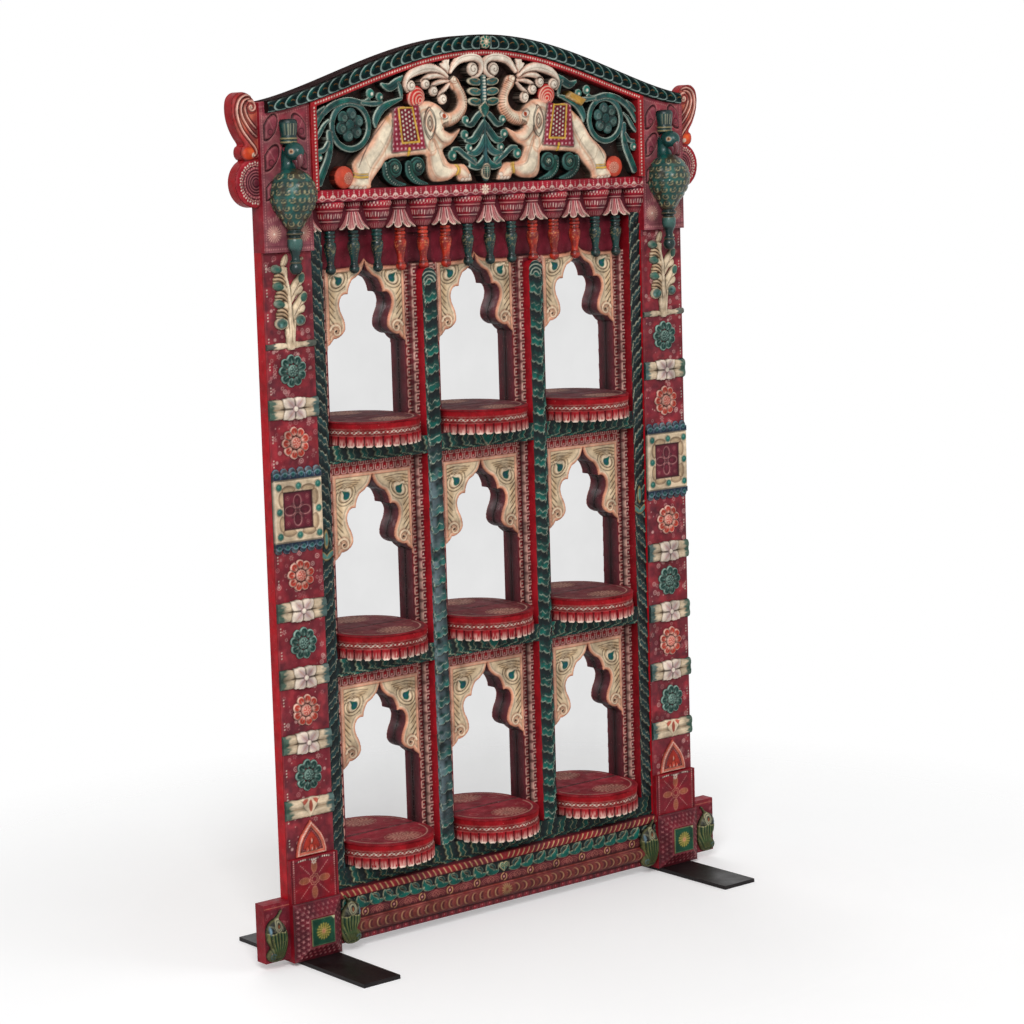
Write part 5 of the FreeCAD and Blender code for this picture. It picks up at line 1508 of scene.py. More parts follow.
def leaf_tone(part, gap, fill=TEAL, dark=DEEP_TEAL, seed=1):
    """Brushed teal that darkens towards the edge of a leaf."""
    deep = np.clip(1.1 + gap / 7, 0, 1)
    mottle = noise(part.u, part.v, 13, seed)
    mix = np.clip(deep * 0.6 + mottle * 1.7 - 0.30, 0, 1)[..., None]
    part.tint(gap, (fill + (dark - fill) * mix) * 0.92)
    glint = noise(part.u, part.v, 17, seed + 60)
    part.tint(np.maximum(gap + 2.5, (0.68 - glint) * 14), paint(70, 110, 114), 0.3, 3)


EDGE_LIGHT = paint(198, 208, 192)


def frond(part, points, ball=None, height=9, fill=TEAL, edge=EDGE_LIGHT, seed=1, vein=True):
    """A scrolling leaf along rows of place and width, with a curl's ball at its end."""
    gap = stroke(part.u, part.v, points)
    under = part.rise.copy()
    if ball is not None:
        round_gap = disc(part.u, part.v, ball[:2], ball[2])
        gap = union(gap, round_gap)
    part.tint(gap - 1.2, SHADOW, 0.8, 2)
    leaf_tone(part, gap, fill, DEEP_TEAL, seed)
    shape = height * rounded(gap, 6.5)
    part.rise[:] = np.where(gap < 0, np.maximum(under * 0.6, shape), under)
    if vein:
        aside = along_curve(part.u, part.v, points)[1]
        inner = only(gap < -3, np.abs(aside) - 0.5)
        part.tint(inner, BLACK_TEAL, 0.5)
        part.carve(inner - 0.5, 0.9, 1.2)
    part.line(gap + 0.9, edge, 1.8, 1.0)
    if ball is not None:
        shape = (height + 2.5) * dome(np.maximum(round_gap + ball[2], 0), ball[2])
        part.level(round_gap, np.maximum(shape, part.rise))
        part.tint(round_gap + 1, fill * 1.1, 0.8)
        spot = disc(part.u, part.v, (ball[0] + 1.5, ball[1] - 1), ball[2] * 0.3)
        part.tint(spot, IVORY, 0.95, 2.5)
    return gap


def cream_scroll(part, points, ball, height=16):
    """A cream scroll with warm shading at its edges."""
    gap = stroke(part.u, part.v, points)
    part.tint(gap - 1.5, SHADOW, 0.8, 2)
    part.tint(gap, IVORY * 0.94)
    part.level(gap, height * rounded(gap, 8))
    part.tint(np.abs(gap + 1) - 2.6, PEACH, 0.55, 3)
    aside = along_curve(part.u, part.v, points)[1]
    groove = only(gap < -3.5, np.abs(aside - 2) - 0.4)
    part.tint(groove, OCHRE, 0.45)
    part.carve(groove - 0.6, 1.2, 1.5)
    if ball is not None:
        round_gap = disc(part.u, part.v, ball[:2], ball[2])
        part.tint(round_gap - 1.2, BROWN, 0.7, 2)
        part.tint(round_gap, IVORY)
        away = np.hypot(part.u - ball[0], part.v - ball[1])
        part.level(round_gap, np.maximum((height + 3) * dome(away, ball[2]), 4))
        part.tint(np.abs(round_gap + 1.5) - 1.2, PEACH, 0.5, 2)
        start = math.atan2(points[-1][1] - ball[1], points[-1][0] - ball[0])
        hand = 1 if ball[0] < points[-1][0] or ball[1] > points[-1][1] else -1
        groove = stroke(part.u, part.v, spiral(ball[:2], ball[2] * 0.92, start, hand * 1.35,
                                               2.0), 3)
        part.tint(groove, paint(150, 96, 66), 0.75, 2)
        part.carve(groove, 3.5, 1.6)
        gap = union(gap, round_gap)
    return gap


def stand_clear(shell, part, gap, share=0.62, face=-4):
    """Lay carving with steep edges that stands clear of the panel's board."""
    part.rise *= share
    shell.lay(part, front(face), gap, CROWN_BOARD + 2 - face, None, 0.42, deep_shade=0.4)


ELEPHANT = ((-74, 1734.5), (-60.5, 1728.6), (-49, 1708), (-39, 1685.5), (-41, 1665),
            (-56, 1647), (-78.6, 1634.5), (-99, 1631), (-95, 1626), (-81, 1622), (-59, 1630),
            (-65, 1617), (-83, 1599), (-99, 1592), (-103.6, 1585.5), (-97, 1572), (-88, 1562),
            (-72, 1560), (-51, 1559), (-38, 1544.5), (-32, 1529), (-36, 1524), (-66, 1525),
            (-74, 1536), (-94.5, 1527), (-131, 1526), (-144.5, 1540), (-147, 1563),
            (-151, 1578.6), (-185.5, 1578.6), (-240, 1574), (-258, 1558), (-283, 1531),
            (-285.5, 1519), (-310, 1517), (-338, 1520), (-338, 1533), (-326, 1544.5),
            (-329, 1567), (-312.7, 1585.5), (-285.5, 1608), (-262.7, 1640), (-235.5, 1662.7),
            (-217, 1676), (-185.5, 1674), (-162.7, 1683), (-135.5, 1686), (-110.5, 1676),
            (-94.5, 1662.7), (-76, 1667), (-66, 1681), (-69.5, 1699), (-82, 1710.5),
            (-84.5, 1724))


COAT = paint(232, 216, 190)
GOLD_BANDS = ([(-334, 1546, 4.5), (-318, 1541, 5), (-296, 1541, 4.5)],
              [(-331, 1552, 2), (-316, 1547, 2.4), (-295, 1547, 2)],
              [(-77, 1561, 5), (-71, 1551, 5.5), (-75, 1537, 5)],
              [(-71, 1560, 2), (-66, 1551, 2.4), (-69, 1537, 2)],
              [(-193, 1593, 6.5), (-193, 1585, 7), (-192, 1579, 6)])


def elephant_body(part, gap):
    """Limbs, head and trunk with warm edges, and the folds of the trunk."""
    u, v = part.u, part.v
    hind = stroke(u, v, [(-245, 1640, 44), (-272, 1604, 50), (-300, 1570, 48),
                         (-312, 1540, 44), (-312, 1529, 52)])
    fore = stroke(u, v, [(-133, 1600, 22), (-127, 1575, 32), (-117, 1549, 36),
                         (-92, 1543, 30), (-66, 1545, 26), (-50, 1536, 24)])
    shoulder = stroke(u, v, [(-150, 1655, 30), (-146, 1620, 34), (-137, 1590, 24)])
    head = union(ellipse(u, v, (-120, 1653), 34, 29, 0.35),
                 stroke(u, v, [(-112, 1630, 40), (-97, 1613, 30), (-75, 1622, 12),
                               (-64, 1628, 8)]))
    trunk_line = [(-96, 1649, 34), (-72, 1655, 27), (-55, 1674, 26), (-54, 1693, 24),
                  (-65, 1711, 21), (-75, 1724, 17)]
    trunk = stroke(u, v, trunk_line)
    for shape, height, bevel in ((hind, 15, 15), (fore, 15, 12), (shoulder, 15, 12),
                                 (head, 18.5, 14), (trunk, 20, 11)):
        shape = np.maximum(shape, gap)
        part.lift(shape, height, bevel)
        edge = np.abs(shape + 0.8) - 1.4
        part.tint(np.maximum(edge, gap + 4), paint(196, 132, 92), 0.62, 3)
        part.tint(np.maximum(np.abs(shape + 3) - 3.5, gap + 3), PEACH, 0.32, 5)
    warm = noise(u, v, 26, 17)
    part.tint(np.abs(gap + 3) - 2.6, paint(224, 142, 100), 0.75, 5)
    part.tint(np.abs(gap + 7) - 8 * warm, PEACH, 0.5, 7)
    part.line(gap + 0.8, paint(104, 58, 44), 1.7, 0.85)
    reach, aside = along_curve(u, v, trunk_line)
    tick = np.abs(wrap(reach, 4.4)[0]) - 0.55
    tick = only((gap > -13) & (gap < -1.2) & (aside < 0) & (trunk < 2), tick)
    part.tint(tick, BROWN * 0.8, 0.85)
    part.carve(tick - 0.3, 1.0, 1.2)
    snout = disc(u, v, (-76, 1727), 8.5)
    part.tint(snout, COAT)
    part.lift(snout, 20, 8)
    for radius in (8, 4.4):
        part.line(disc(u, v, (-75, 1726.5), radius), paint(168, 88, 60), 1.6, 0.9)


def elephant_face(part):
    """Mouth, eye and ear."""
    u, v = part.u, part.v
    mouth = stroke(u, v, [(-101, 1628, 2), (-92, 1627.5, 6.0), (-80, 1628, 5.5),
                          (-66, 1631, 2)])
    part.tint(mouth, paint(34, 20, 18), 1.0, 2)
    part.level(mouth, 3)
    for row, tone in (([(-108, 1634, 1.4), (-100, 1634, 1.4), (-84, 1637, 1.0)], BROWN),
                      ([(-99, 1624, 1.2), (-84, 1620, 1.2), (-68, 1626, 1)], BROWN),
                      ([(-113, 1626, 1.2), (-108, 1631, 1.2), (-103, 1633, 1)], ORANGE)):
        part.tint(stroke(u, v, row), tone, 0.7)
    eye = ellipse(u, v, (-105.5, 1656), 9.2, 5.6, -0.35)
    part.tint(eye - 1.3, BROWN * 0.6, 0.9)
    part.tint(eye, IVORY * 1.05)
    for radius, tone, share in ((4.9, paint(120, 40, 20), 1.0), (4.0, paint(206, 84, 40), 1.0),
                                (1.7, SHADOW, 0.9)):
        part.tint(disc(u, v, (-104.5, 1655.5), radius), tone, share)
    part.tint(stroke(u, v, [(-117, 1660, 1.2), (-109, 1666, 1.8), (-97, 1661, 1.2)]),
              paint(60, 60, 66), 0.8)
    part.tint(stroke(u, v, [(-114, 1650, 1.0), (-104, 1648, 1.4), (-96, 1652, 1.0)]),
              paint(60, 60, 66), 0.7)
    ear = []
    for size in (0.94, 0.80, 0.46, 0.22):
        lens = np.maximum(disc(u, v, (-140 - 30 * size, 1641), 45.5 * size),
                          disc(u, v, (-140 + 30 * size, 1641), 45.5 * size))
        ear.append(lens)
        part.tint(np.abs(lens) - 1.0, paint(44, 40, 38), 0.95)
    part.level(ear[0], np.maximum(part.rise, 15.5 + 3 * np.clip(-ear[0] / 4, 0, 1)))
    part.carve(ear[2], 2.0, 4)


def saddle_cloth(part):
    """The checked cloth with its dotted field, and the line over the hind leg."""
    u, v = part.u, part.v
    slope_left = -228.6 - 6.9 * (1672.7 - v) / 87
    slope_right = -167 + 16 * (1678.6 - v) / 87
    across = (u - slope_left) / (slope_right - slope_left)
    low = 1585.5 + 6.5 * across
    high = 1674 + 5.5 * across + 3 * np.sin(across * math.pi)
    cloth = np.maximum(np.maximum(slope_left - u, u - slope_right),
                       np.maximum(low - v, v - high))
    part.tint(cloth, paint(128, 24, 46))
    part.level(cloth, np.maximum(part.rise, 16.5))
    cell_u, number_u = wrap(u + v * 0.05, 10.2)
    cell_v, number_v = wrap(v, 9.6)
    check = rect(cell_u, cell_v, -3.7, -3.5, 3.7, 3.5, 1)
    tone = np.where(((number_u + number_v) % 2 == 0)[..., None], paint(176, 84, 102),
                    paint(150, 34, 56))
    on = cover(np.maximum(check, cloth + 1.0))[..., None]
    part.colour += (tone - part.colour) * on * 0.85
    part.tint(np.maximum(disc(cell_u, cell_v, (0, 0), 1.7), cloth + 1), paint(232, 200, 196),
              0.8)
    part.carve(np.maximum(np.abs(check) - 0.6, cloth + 1), 0.5, 1)
    field = polygon(u, v, [(-216.6, 1673), (-210, 1604.5), (-168, 1606), (-183, 1674)])
    field = np.maximum(field, cloth)
    part.tint(field, paint(112, 14, 36))
    dot_u, odd = wrap(u + v * 0.1, 8.4)
    dot_v = wrap(v + 4.2 * (odd % 2), 8.6)[0]
    part.tint(np.maximum(disc(dot_u, dot_v, (0, 0), 2.0), field + 3), IVORY, 0.95)
    border = only(v < high - 3.2, np.abs(field) - 2.1)
    flank = stroke(u, v, [(-235.5, 1661, 1.0), (-252, 1645, 1.6), (-268, 1628, 2.0),
                          (-286, 1606, 2.0), (-304, 1583, 1.8), (-317, 1560, 1.2)])
    part.tint(flank, paint(84, 74, 72), 0.85)
    part.carve(flank, 1.4, 1.4)
    part.tint(border, paint(206, 160, 54))
    part.pile(border, 1.2, 2)
    part.line(cloth + 0.6, paint(90, 20, 34), 1.4, 0.8)


def elephant_marks(part, gap):
    """Gold bands on the legs and under the cloth, toes and faint creases."""
    u, v = part.u, part.v
    for points in GOLD_BANDS:
        band = np.maximum(stroke(u, v, points), gap)
        part.tint(band, paint(214, 166, 44))
        part.pile(band, 1.8, 2.5)
        part.line(band, BROWN, 0.9, 0.6)
    for x, z in ((-332, 1522), (-322, 1521), (-312, 1520), (-302, 1520), (-42, 1529),
                 (-50, 1528), (-59, 1528), (-40, 1536)):
        toe = ellipse(u, v, (x, z), 4.4, 3.8)
        part.tint(toe, IVORY * 1.06, 0.8)
        part.line(toe, BROWN, 1.0, 0.75)
    for row in ([(-262, 1610, 1.2), (-252, 1596, 1.4), (-250, 1580, 1)],
                [(-300, 1580, 1), (-290, 1560, 1.2), (-268, 1556, 1)],
                [(-150, 1600, 1), (-138, 1586, 1.4), (-120, 1592, 1.2), (-108, 1590, 1)]):
        part.tint(np.maximum(stroke(u, v, row), gap + 2), paint(150, 100, 64), 0.55)
    gold = ellipse(u, v, (-240, 1650), 5, 13, 0.5)
    part.tint(np.maximum(gold, gap + 1.5), OCHRE * 1.1, 0.5, 4)


def elephant():
    part = fine_patch(-346, -24, 1513, 1740, COAT)
    gap = polygon(part.u, part.v, outline_of(ELEPHANT, 3, True))
    part.lift(gap, 13, 12)
    elephant_body(part, gap)
    elephant_face(part)
    saddle_cloth(part)
    elephant_marks(part, gap)
    part.age_and_shade_hollows(301, 1.0, IVORY)
    shell = Shell()
    stand_clear(shell, part, gap)
    return shell


left_elephant = elephant()
left_elephant.make("elephant_left_carved", ["elephant_left"], "cream_paint", PAINTED)
right_elephant = left_elephant.mirrored()
part = fine_patch(206, 286, 1658, 1710, OCHRE)
gap = polygon(part.u, part.v, [(216.7, 1687), (231, 1700.5), (276, 1682.6), (259.5, 1668)])
part.colour[:] = paint(188, 142, 62)
part.tint(np.abs(wrap(part.u + part.v, 9)[0]) - 1, paint(150, 104, 44), 0.4, 2)
part.lift(gap, 16, 4)
part.line(gap + 1, paint(120, 80, 40), 1.4, 0.6)
part.age_and_shade_hollows(305, 1.0, IVORY)
stand_clear(right_elephant, part, gap)
right_elephant.make("elephant_right_carved", ["elephant_right"], "cream_paint", PAINTED)

VOLUTES = (([(-84, 1742, 10), (-72, 1757, 15), (-58, 1767, 19), (-38, 1771, 20),
             (-18, 1770, 19), (-5, 1760, 15), (-4, 1746, 12), (-13, 1735, 10),
             (-25, 1732, 9)], (-27, 1746.5, 14)),
           ([(-92, 1733, 9), (-109, 1744, 14), (-137, 1750, 20), (-166, 1745, 20),
             (-188, 1734, 15), (-196, 1718, 12), (-191, 1706, 9)], (-183.5, 1715, 12)),
           ([(-92, 1730, 7), (-115, 1735, 12), (-137, 1733, 13), (-155, 1724, 9)],
            (-147, 1719, 11)),
           ([(-90, 1724, 7), (-106, 1723, 10), (-124, 1718, 10), (-134, 1708, 7)],
            (-127.5, 1705, 11)),
           ([(-88, 1718, 7), (-97, 1709, 10), (-110, 1700, 8), (-115, 1692, 6)],
            (-105.6, 1689, 11.5)))
part = fine_patch(-214, -0.4, 1672, 1784)
gaps = []
bud = polygon(part.u, part.v, [(-90, 1735), (-105, 1748), (-110, 1758), (-103, 1760),
                               (-101, 1768), (-84, 1767), (-86, 1757), (-83, 1748)])
part.tint(bud, IVORY * 0.92)
part.lift(bud, 13, 7)
part.line(bud + 1.5, PEACH, 2.0, 0.5)
part.tint(segment(part.u, part.v, (-90, 1738), (-95, 1764), 0.7, 0.5), OCHRE, 0.6)
gaps.append(bud)
for points, ball in reversed(VOLUTES):
    gaps.append(cream_scroll(part, points, ball))
part.age_and_shade_hollows(311, 1.1, IVORY)
shell = Shell()
stand_clear(shell, part, union(*gaps), 0.5, -9)
shell.join(shell.mirrored())
shell.make("crown_volutes_carved", ["crown_volutes"], "cream_paint", PAINTED)

part = fine_patch(-100, 0, 1522, 1740)
u, v = part.u, part.v
gaps = []
FRONDS = (([(0, 1571, 16), (-8, 1560, 18), (-20, 1553, 16), (-38, 1554, 10)], (-32, 1563, 11)),
          ([(-28, 1560, 8), (-50, 1575, 12), (-68, 1588, 12), (-82, 1589, 9)], (-84, 1577, 11)),
          ([(0, 1612, 14), (-10, 1592, 18), (-24, 1581, 16), (-42, 1580, 9)], (-41, 1591, 9)),
          ([(0, 1640, 14), (-14, 1622, 18), (-30, 1606, 17), (-48, 1606, 9)], (-51, 1617, 10)),
          ([(-2, 1664, 12), (-18, 1652, 15), (-32, 1638, 14), (-46, 1637, 8)], (-48, 1646, 9)))
for number, (points, ball) in enumerate(FRONDS):
    gaps.append(frond(part, points, ball, 11, TEAL if number == 1 else TEAL * 0.75,
                      seed=number))
for number, height in enumerate((1684, 1704, 1724)):
    leaf = ellipse(u, v, (-22, height - 2), 20, 8.6, -0.10)
    part.tint(leaf - 1, SHADOW, 0.8)
    leaf_tone(part, leaf, TEAL * 0.85, DEEP_TEAL, 9 + number)
    part.lift(leaf, 11, 6)
    part.line(only(u < -8, leaf + 1.3), CREAM, 1.6, 0.9)
    fold = stroke(u, v, [(-14, height + 2, 1.6), (-20, height - 2, 2.2), (-30, height + 1, 1)])
    part.tint(fold, OCHRE, 0.55)
    part.carve(fold, 1.0, 1.4)
    gaps.append(leaf)
stem = np.abs(u) - 7.5
stem = np.maximum(stem, np.maximum(1660 - v, v - 1736))
leaf_tone(part, stem, paint(50, 104, 112), DEEP_TEAL, 21)
part.lift(stem, 14, 6)
bead = wrap(v, 6.2)[0]
part.tint(only(v > 1668, ellipse(u, bead, (0, 0), 3.6, 1.9)), IVORY, 0.85)
bud = polygon(u, v, [(0, 1684), (-14, 1672), (-11, 1660), (0, 1648), (11, 1660), (14, 1672)])
leaf_tone(part, bud, TEAL * 0.7, BLACK_TEAL, 22)
part.lift(bud, 17, 8)
part.line(bud + 1.4, CREAM, 1.6, 0.9)
spine = stroke(u, v, [(0, 1650, 5), (0, 1600, 8), (0, 1565, 14), (0, 1540, 20), (0, 1530, 16)])
leaf_tone(part, spine, paint(52, 98, 108), DEEP_TEAL, 23)
part.lift(spine, 13, 6)
tail = ellipse(u, v, (0, 1543), 12.5, 16.5)
leaf_tone(part, tail, TEAL * 0.8, BLACK_TEAL, 24)
part.lift(tail, 16, 8)
part.line(tail + 1.3, CREAM, 1.6, 0.85)
part.tint(np.maximum(np.abs(np.sin(u * 0.9) * np.cos(v * 0.8)) * 6 - 1.2, tail + 3), CREAM, 0.6)
part.age_and_shade_hollows(321, 1.0, PALE_TEAL)
shell = Shell()
stand_clear(shell, part, union(stem, bud, spine, tail, *gaps), 0.5, -9)
shell.join(shell.mirrored())
shell.make("crown_plume_carved", ["crown_plume"], "teal_paint", PAINTED)

WAVES = (([(-200, 1523, 5), (-226, 1528, 14), (-243, 1543, 20), (-246, 1560, 19)],
          (-226, 1556, 19)),
         ([(-146, 1523, 5), (-171, 1529, 14), (-187, 1544, 20), (-190, 1561, 19)],
          (-169, 1558, 19)))
FOLIAGE = (([(-414, 1636, 10), (-396, 1662, 13), (-367, 1682, 14), (-331, 1690, 13),
             (-297, 1684, 12), (-283, 1690, 10)], (-278.6, 1702, 10), 1),
           ([(-300, 1684, 8), (-272, 1682, 11), (-252, 1684, 9)], (-256, 1695, 9), 1),
           ([(-249, 1719, 8), (-232, 1713, 17), (-214, 1722, 18), (-198, 1735, 4)], None, 1),
           ([(-202, 1692, 6), (-205, 1712, 12), (-210, 1722, 6)], None, 0.8),
           ([(-203, 1691, 7), (-228, 1683, 13), (-252, 1672, 18), (-267, 1652, 16),
             (-268, 1638, 6)], None, 1),
           ([(-414, 1657, 7), (-404, 1667, 10), (-389, 1678, 5)], None, 1),
           ([(-416, 1612, 6), (-404, 1625, 11), (-392, 1642, 9), (-380, 1652, 6)], None, 1),
           ([(-380, 1628, 13), (-379, 1604, 15), (-384, 1580, 16), (-396, 1556, 17),
             (-407, 1534, 17)], None, 0.8),
           ([(-384, 1610, 8), (-394, 1596, 11), (-408, 1593, 9)], (-406, 1582, 9), 1))
part = fine_patch(-414, -140, PANEL_FOOT, 1738)
u, v = part.u, part.v
gaps = []
ring = np.abs(disc(u, v, (-328.6, 1640), 44)) - 6.5
leaf_tone(part, ring, TEAL * 0.7, DEEP_TEAL, 41)
part.lift(ring, 10, 6)
part.line(ring + 1.0, EDGE_LIGHT, 1.4, 0.9)
gaps.append(ring)
for number, (points, ball, tone) in enumerate(FOLIAGE):
    gaps.append(frond(part, points, ball, 11, TEAL * tone, seed=50 + number))
for number, (points, (x, z, radius)) in enumerate(WAVES):
    body, head = stroke(u, v, points), disc(u, v, (x, z), radius)
    gap = union(body, head)
    part.tint(gap - 1.5, SHADOW, 0.8, 2)
    leaf_tone(part, gap, paint(14, 66, 54), paint(8, 34, 32), 91 + number)
    part.lift(gap, 13, 9)
    curl = stroke(u, v, spiral((x, z), radius * 0.86, 2.6, -1.5, 3.2), 3)
    part.carve(curl, 4.0, 2.2)
    part.tint(curl, BLACK_TEAL, 0.55, 2)
    reach, aside = along_curve(u, v, points)
    stitch = wrap(reach, 5.2)[0]
    part.tint(only(body < 0, np.hypot(stitch, aside - 3) - 0.9), EDGE_LIGHT, 0.8)
    part.line(gap + 1.2, PALE_TEAL, 1.1, 0.5)
    for k in range(7):
        fleck = (x + 1.5 + 4.5 * math.cos(k * 2.4), z + 1 + 4.0 * math.sin(k * 2.4))
        part.tint(disc(u, v, fleck, 1.1), paint(206, 206, 180), 0.8)
    part.tint(disc(u, v, (x + 1.5, z + 1), 1.6), paint(206, 206, 180), 0.8)
    gaps.append(gap)
for number, turn in enumerate(np.arange(6) * math.pi / 3 + 0.3):
    place = (-330 + 21 * math.cos(turn), 1643 + 21 * math.sin(turn))
    petal = disc(u, v, place, 12.4)
    part.tint(petal - 1, SHADOW, 0.8)
    leaf_tone(part, petal, paint(24, 66, 60), BLACK_TEAL, 61 + number)
    part.lift(petal, 13, 10)
    part.line(petal + 1.2, PALE_TEAL, 0.9, 0.6)
    part.line(disc(u, v, (place[0] + 2, place[1] - 2), 5.2), paint(150, 168, 156), 0.9, 0.7)
    part.line(disc(u, v, (place[0] + 2, place[1] - 2), 2.4), paint(150, 168, 156), 0.8, 0.6)
    part.carve(disc(u, v, place, 4.2), 2.2, 3)
    gaps.append(petal)
heart = disc(u, v, (-330, 1643), 10)
leaf_tone(part, heart, TEAL * 0.6, DEEP_TEAL, 71)
part.lift(heart, 15.5, 9)
part.line(heart + 1, PALE_TEAL, 1.4, 0.8)
gaps.append(heart)
part.age_and_shade_hollows(331, 1.0, PALE_TEAL)
shell = Shell()
stand_clear(shell, part, union(*gaps), 0.5)
shell.join(shell.mirrored())
shell.make("crown_foliage_carved", ["crown_foliage"], "teal_paint", PAINTED)

shell = Shell()
for centre, radius, rings in (((-349, 1542), 22, False), ((-168, 1694), 22, True)):
    part = patch_around(centre, 25, ORANGE)
    u, v = part.u, part.v
    gap = disc(u, v, centre, radius)
    away = gap + radius
    part.colour[:] = paint(176, 32, 32) if rings else paint(190, 62, 44)
    part.rise[:] = 20 * dome(away, radius + 0.5)
    part.tint(gap + 4, paint(196, 40, 36) if rings else paint(204, 78, 52), 0.6, 8)
    if rings:
        for level in (19.5, 14.5, 9.5, 4.5):
            lace = disc(u, v, (centre[0] + (20 - level) * 0.3, centre[1] - 3 - (20 - level)
                               * 0.3), level)
            part.line(lace, paint(236, 190, 168), 2.0, 0.9)
            part.carve(np.abs(lace) - 0.5, 0.8, 1)
    else:
        spot = (centre[0] + 6, centre[1] - 2)
        part.tint(disc(u, v, spot, 12), paint(150, 52, 44), 0.8, 3)
        for reach, count, size in ((9.6, 12, 1.9), (5.2, 8, 1.3)):
            for k in range(count):
                at = 2 * math.pi * k / count
                dot = disc(u, v, (spot[0] + reach * math.cos(at), spot[1] + reach * math.sin(at)),
                           size)
                part.line(dot, paint(226, 176, 150), 0.9, 0.85)
        part.tint(disc(u, v, spot, 1.8), paint(226, 176, 150), 0.9)
    part.age_and_shade_hollows(341, 0.8, PEACH)
    stand_clear(shell, part, gap)
shell.join(shell.mirrored())
shell.make("crown_balls_carved", ["crown_balls"], "orange_paint", PAINTED)

part = Patch(steps(-RAIL_END, RAIL_END, 2.4), steps(PANEL_FOOT, PANEL_TIP, 2.4),
             paint(24, 14, 13))
u, v = part.u, part.v
ceiling = ceiling_level(u)
part.tint(noise(u, v, 18, 5) * 8 - 5.2, paint(46, 28, 22), 0.7, 4)
hollow = np.abs(np.sin(u * 0.11 + 2.2 * np.sin(v * 0.07)) * 9) - 1.2
part.tint(hollow, paint(58, 38, 28), 0.5, 2)
part.carve(hollow, 1.2, 2)
part.age_and_shade_hollows(351, 1.0, BROWN)
shell = Shell()
shell.lay(part, front(CROWN_BOARD), v - ceiling, 15, paint(60, 28, 30), backed=True)
shell.make("crown_panel_ground", ["crown_board"], "dark_paint", PAINTED)


# The beaded frame of the panel and the leafy cornice over it

part = fine_patch(-RAIL_END, RAIL_END, PANEL_FOOT, PANEL_TIP, RED * 0.9)
u, v = part.u, part.v
ceiling = ceiling_level(u)
inner = np.maximum(np.abs(u) - 413, v - ceiling + 12)
outer = v - ceiling
frame_gap = np.maximum(-inner, outer)
part.lift(frame_gap, 2.0, 3)
along_side, along_arch = wrap(v, 6.6)[0], wrap(u, 6.4)[0]
part.tint(only(v < ceiling - 10, disc(np.abs(u) - 419.5, along_side, (0, 0), 1.6)),
          IVORY, 0.9)
part.tint(only(np.abs(u) < 418, disc(v - ceiling + 6, along_arch, (0, 0), 1.6)),
          IVORY, 0.9)
part.carve(only(v < ceiling - 10, np.abs(np.abs(u) - 424.5) - 0.6), 1.2, 1.2)
part.age_and_shade_hollows(361, 0.9, PINK)
shell = Shell()
shell.lay(part, front(-14), frame_gap, 25.5, RED * 0.7, deep_shade=0.4)
shell.make("crown_fillet_beaded", ["crown_fillet"], "crimson_paint", PAINTED)

DARK_EDGE = paint(38, 18, 18)
part = Patch(steps(-CORNICE_END, CORNICE_END, FINE), steps(0, 1, 0.045), BLACK_TEAL)
x = part.u
low, high = ceiling_level(x), crest_level(x)
width = high - low
v = part.v * width
outward = np.abs(x)
side_pitch = 25.3
place = wrap(outward, side_pitch, 14)[0]
for step in (1, 0, -1):
    run = place - step * side_pitch
    middle = width * 0.5
    leaf = (np.hypot(np.maximum(run - 2 + 0.45 * (v - middle), -2) / 20,
                     (v - middle) / (width * 0.47)) - 1) * 12
    leaf = only(run - 2 > -17, leaf)
    leaf = np.maximum(leaf, 13 - outward)
    under = part.rise.copy()
    part.tint(leaf - 1.2, BLACK_TEAL * 0.6, 0.9, 2)
    glow = noise(x, v, 21, 8 + step)
    part.tint(leaf, BLACK_TEAL)
    shine = np.clip((run - 4) / 12, 0, 1) * np.clip((v / width - 0.35) * 2.2, 0, 1)
    shine = shine * np.clip(glow * 1.8 - 0.1, 0, 1)
    part.tint(leaf, TEAL, shine * 0.9)
    part.line(only(run > -7, leaf + 1.2), paint(168, 192, 184), 1.5, 0.92)
    curl = np.abs(v - middle - 2.2 * np.sin(run / 3.4)) - 0.5
    part.tint(only((leaf < -4) & (np.abs(run - 3) < 6), curl), OCHRE * 0.9, 0.6)
    part.rise[:] = np.where(leaf < 0, 1.6 + 3.2 * np.clip(-leaf / 5, 0, 1)
                            * np.clip(0.55 + run / 40, 0.3, 1), under)
flower = disc(x, v, (0, 15.5), 14)
part.level(flower, 0)
part.tint(flower, BLACK_TEAL * 0.8)
rays = petals(x, v, (0, 15.5), 8, 13, 3.8, 0.2, 5)
part.tint(rays, TEAL * 0.9)
part.line(rays, CREAM, 1.4, 0.9)
part.lift(flower, 5.5, 8)
part.tint(disc(x, v, (0, 15.5), 4), CREAM)
part.pile(disc(x, v, (0, 15.5), 4), 2, 3)
part.tint(width - 3.4 - v, DARK_EDGE, 1.0, 1.5)
part.rise -= 2.0 * np.clip(1 - np.minimum(v, width - v) / 2.5, 0, 1)
part.age_and_shade_hollows(371, 1.0, PALE_TEAL)


def cornice_place(u, share, rise):
    base, crest = ceiling_level(u), crest_level(u)
    return np.stack([u, -20 - rise, base + (crest - base) * share], -1)


shell = Shell()
shell.lay(part, cornice_place, None, 48, DARK_EDGE, deep_shade=0.9, backed=True)
shell.make("cornice_leaves", ["cornice"], "teal_paint", DRY_PAINT)


# Turned work, rounded forms and tubes

# Radius at which turned patches are spread out flat, and the turn from one petal of a
# lotus to the next

ARC = 25.0
PETAL_TURN = 0.70


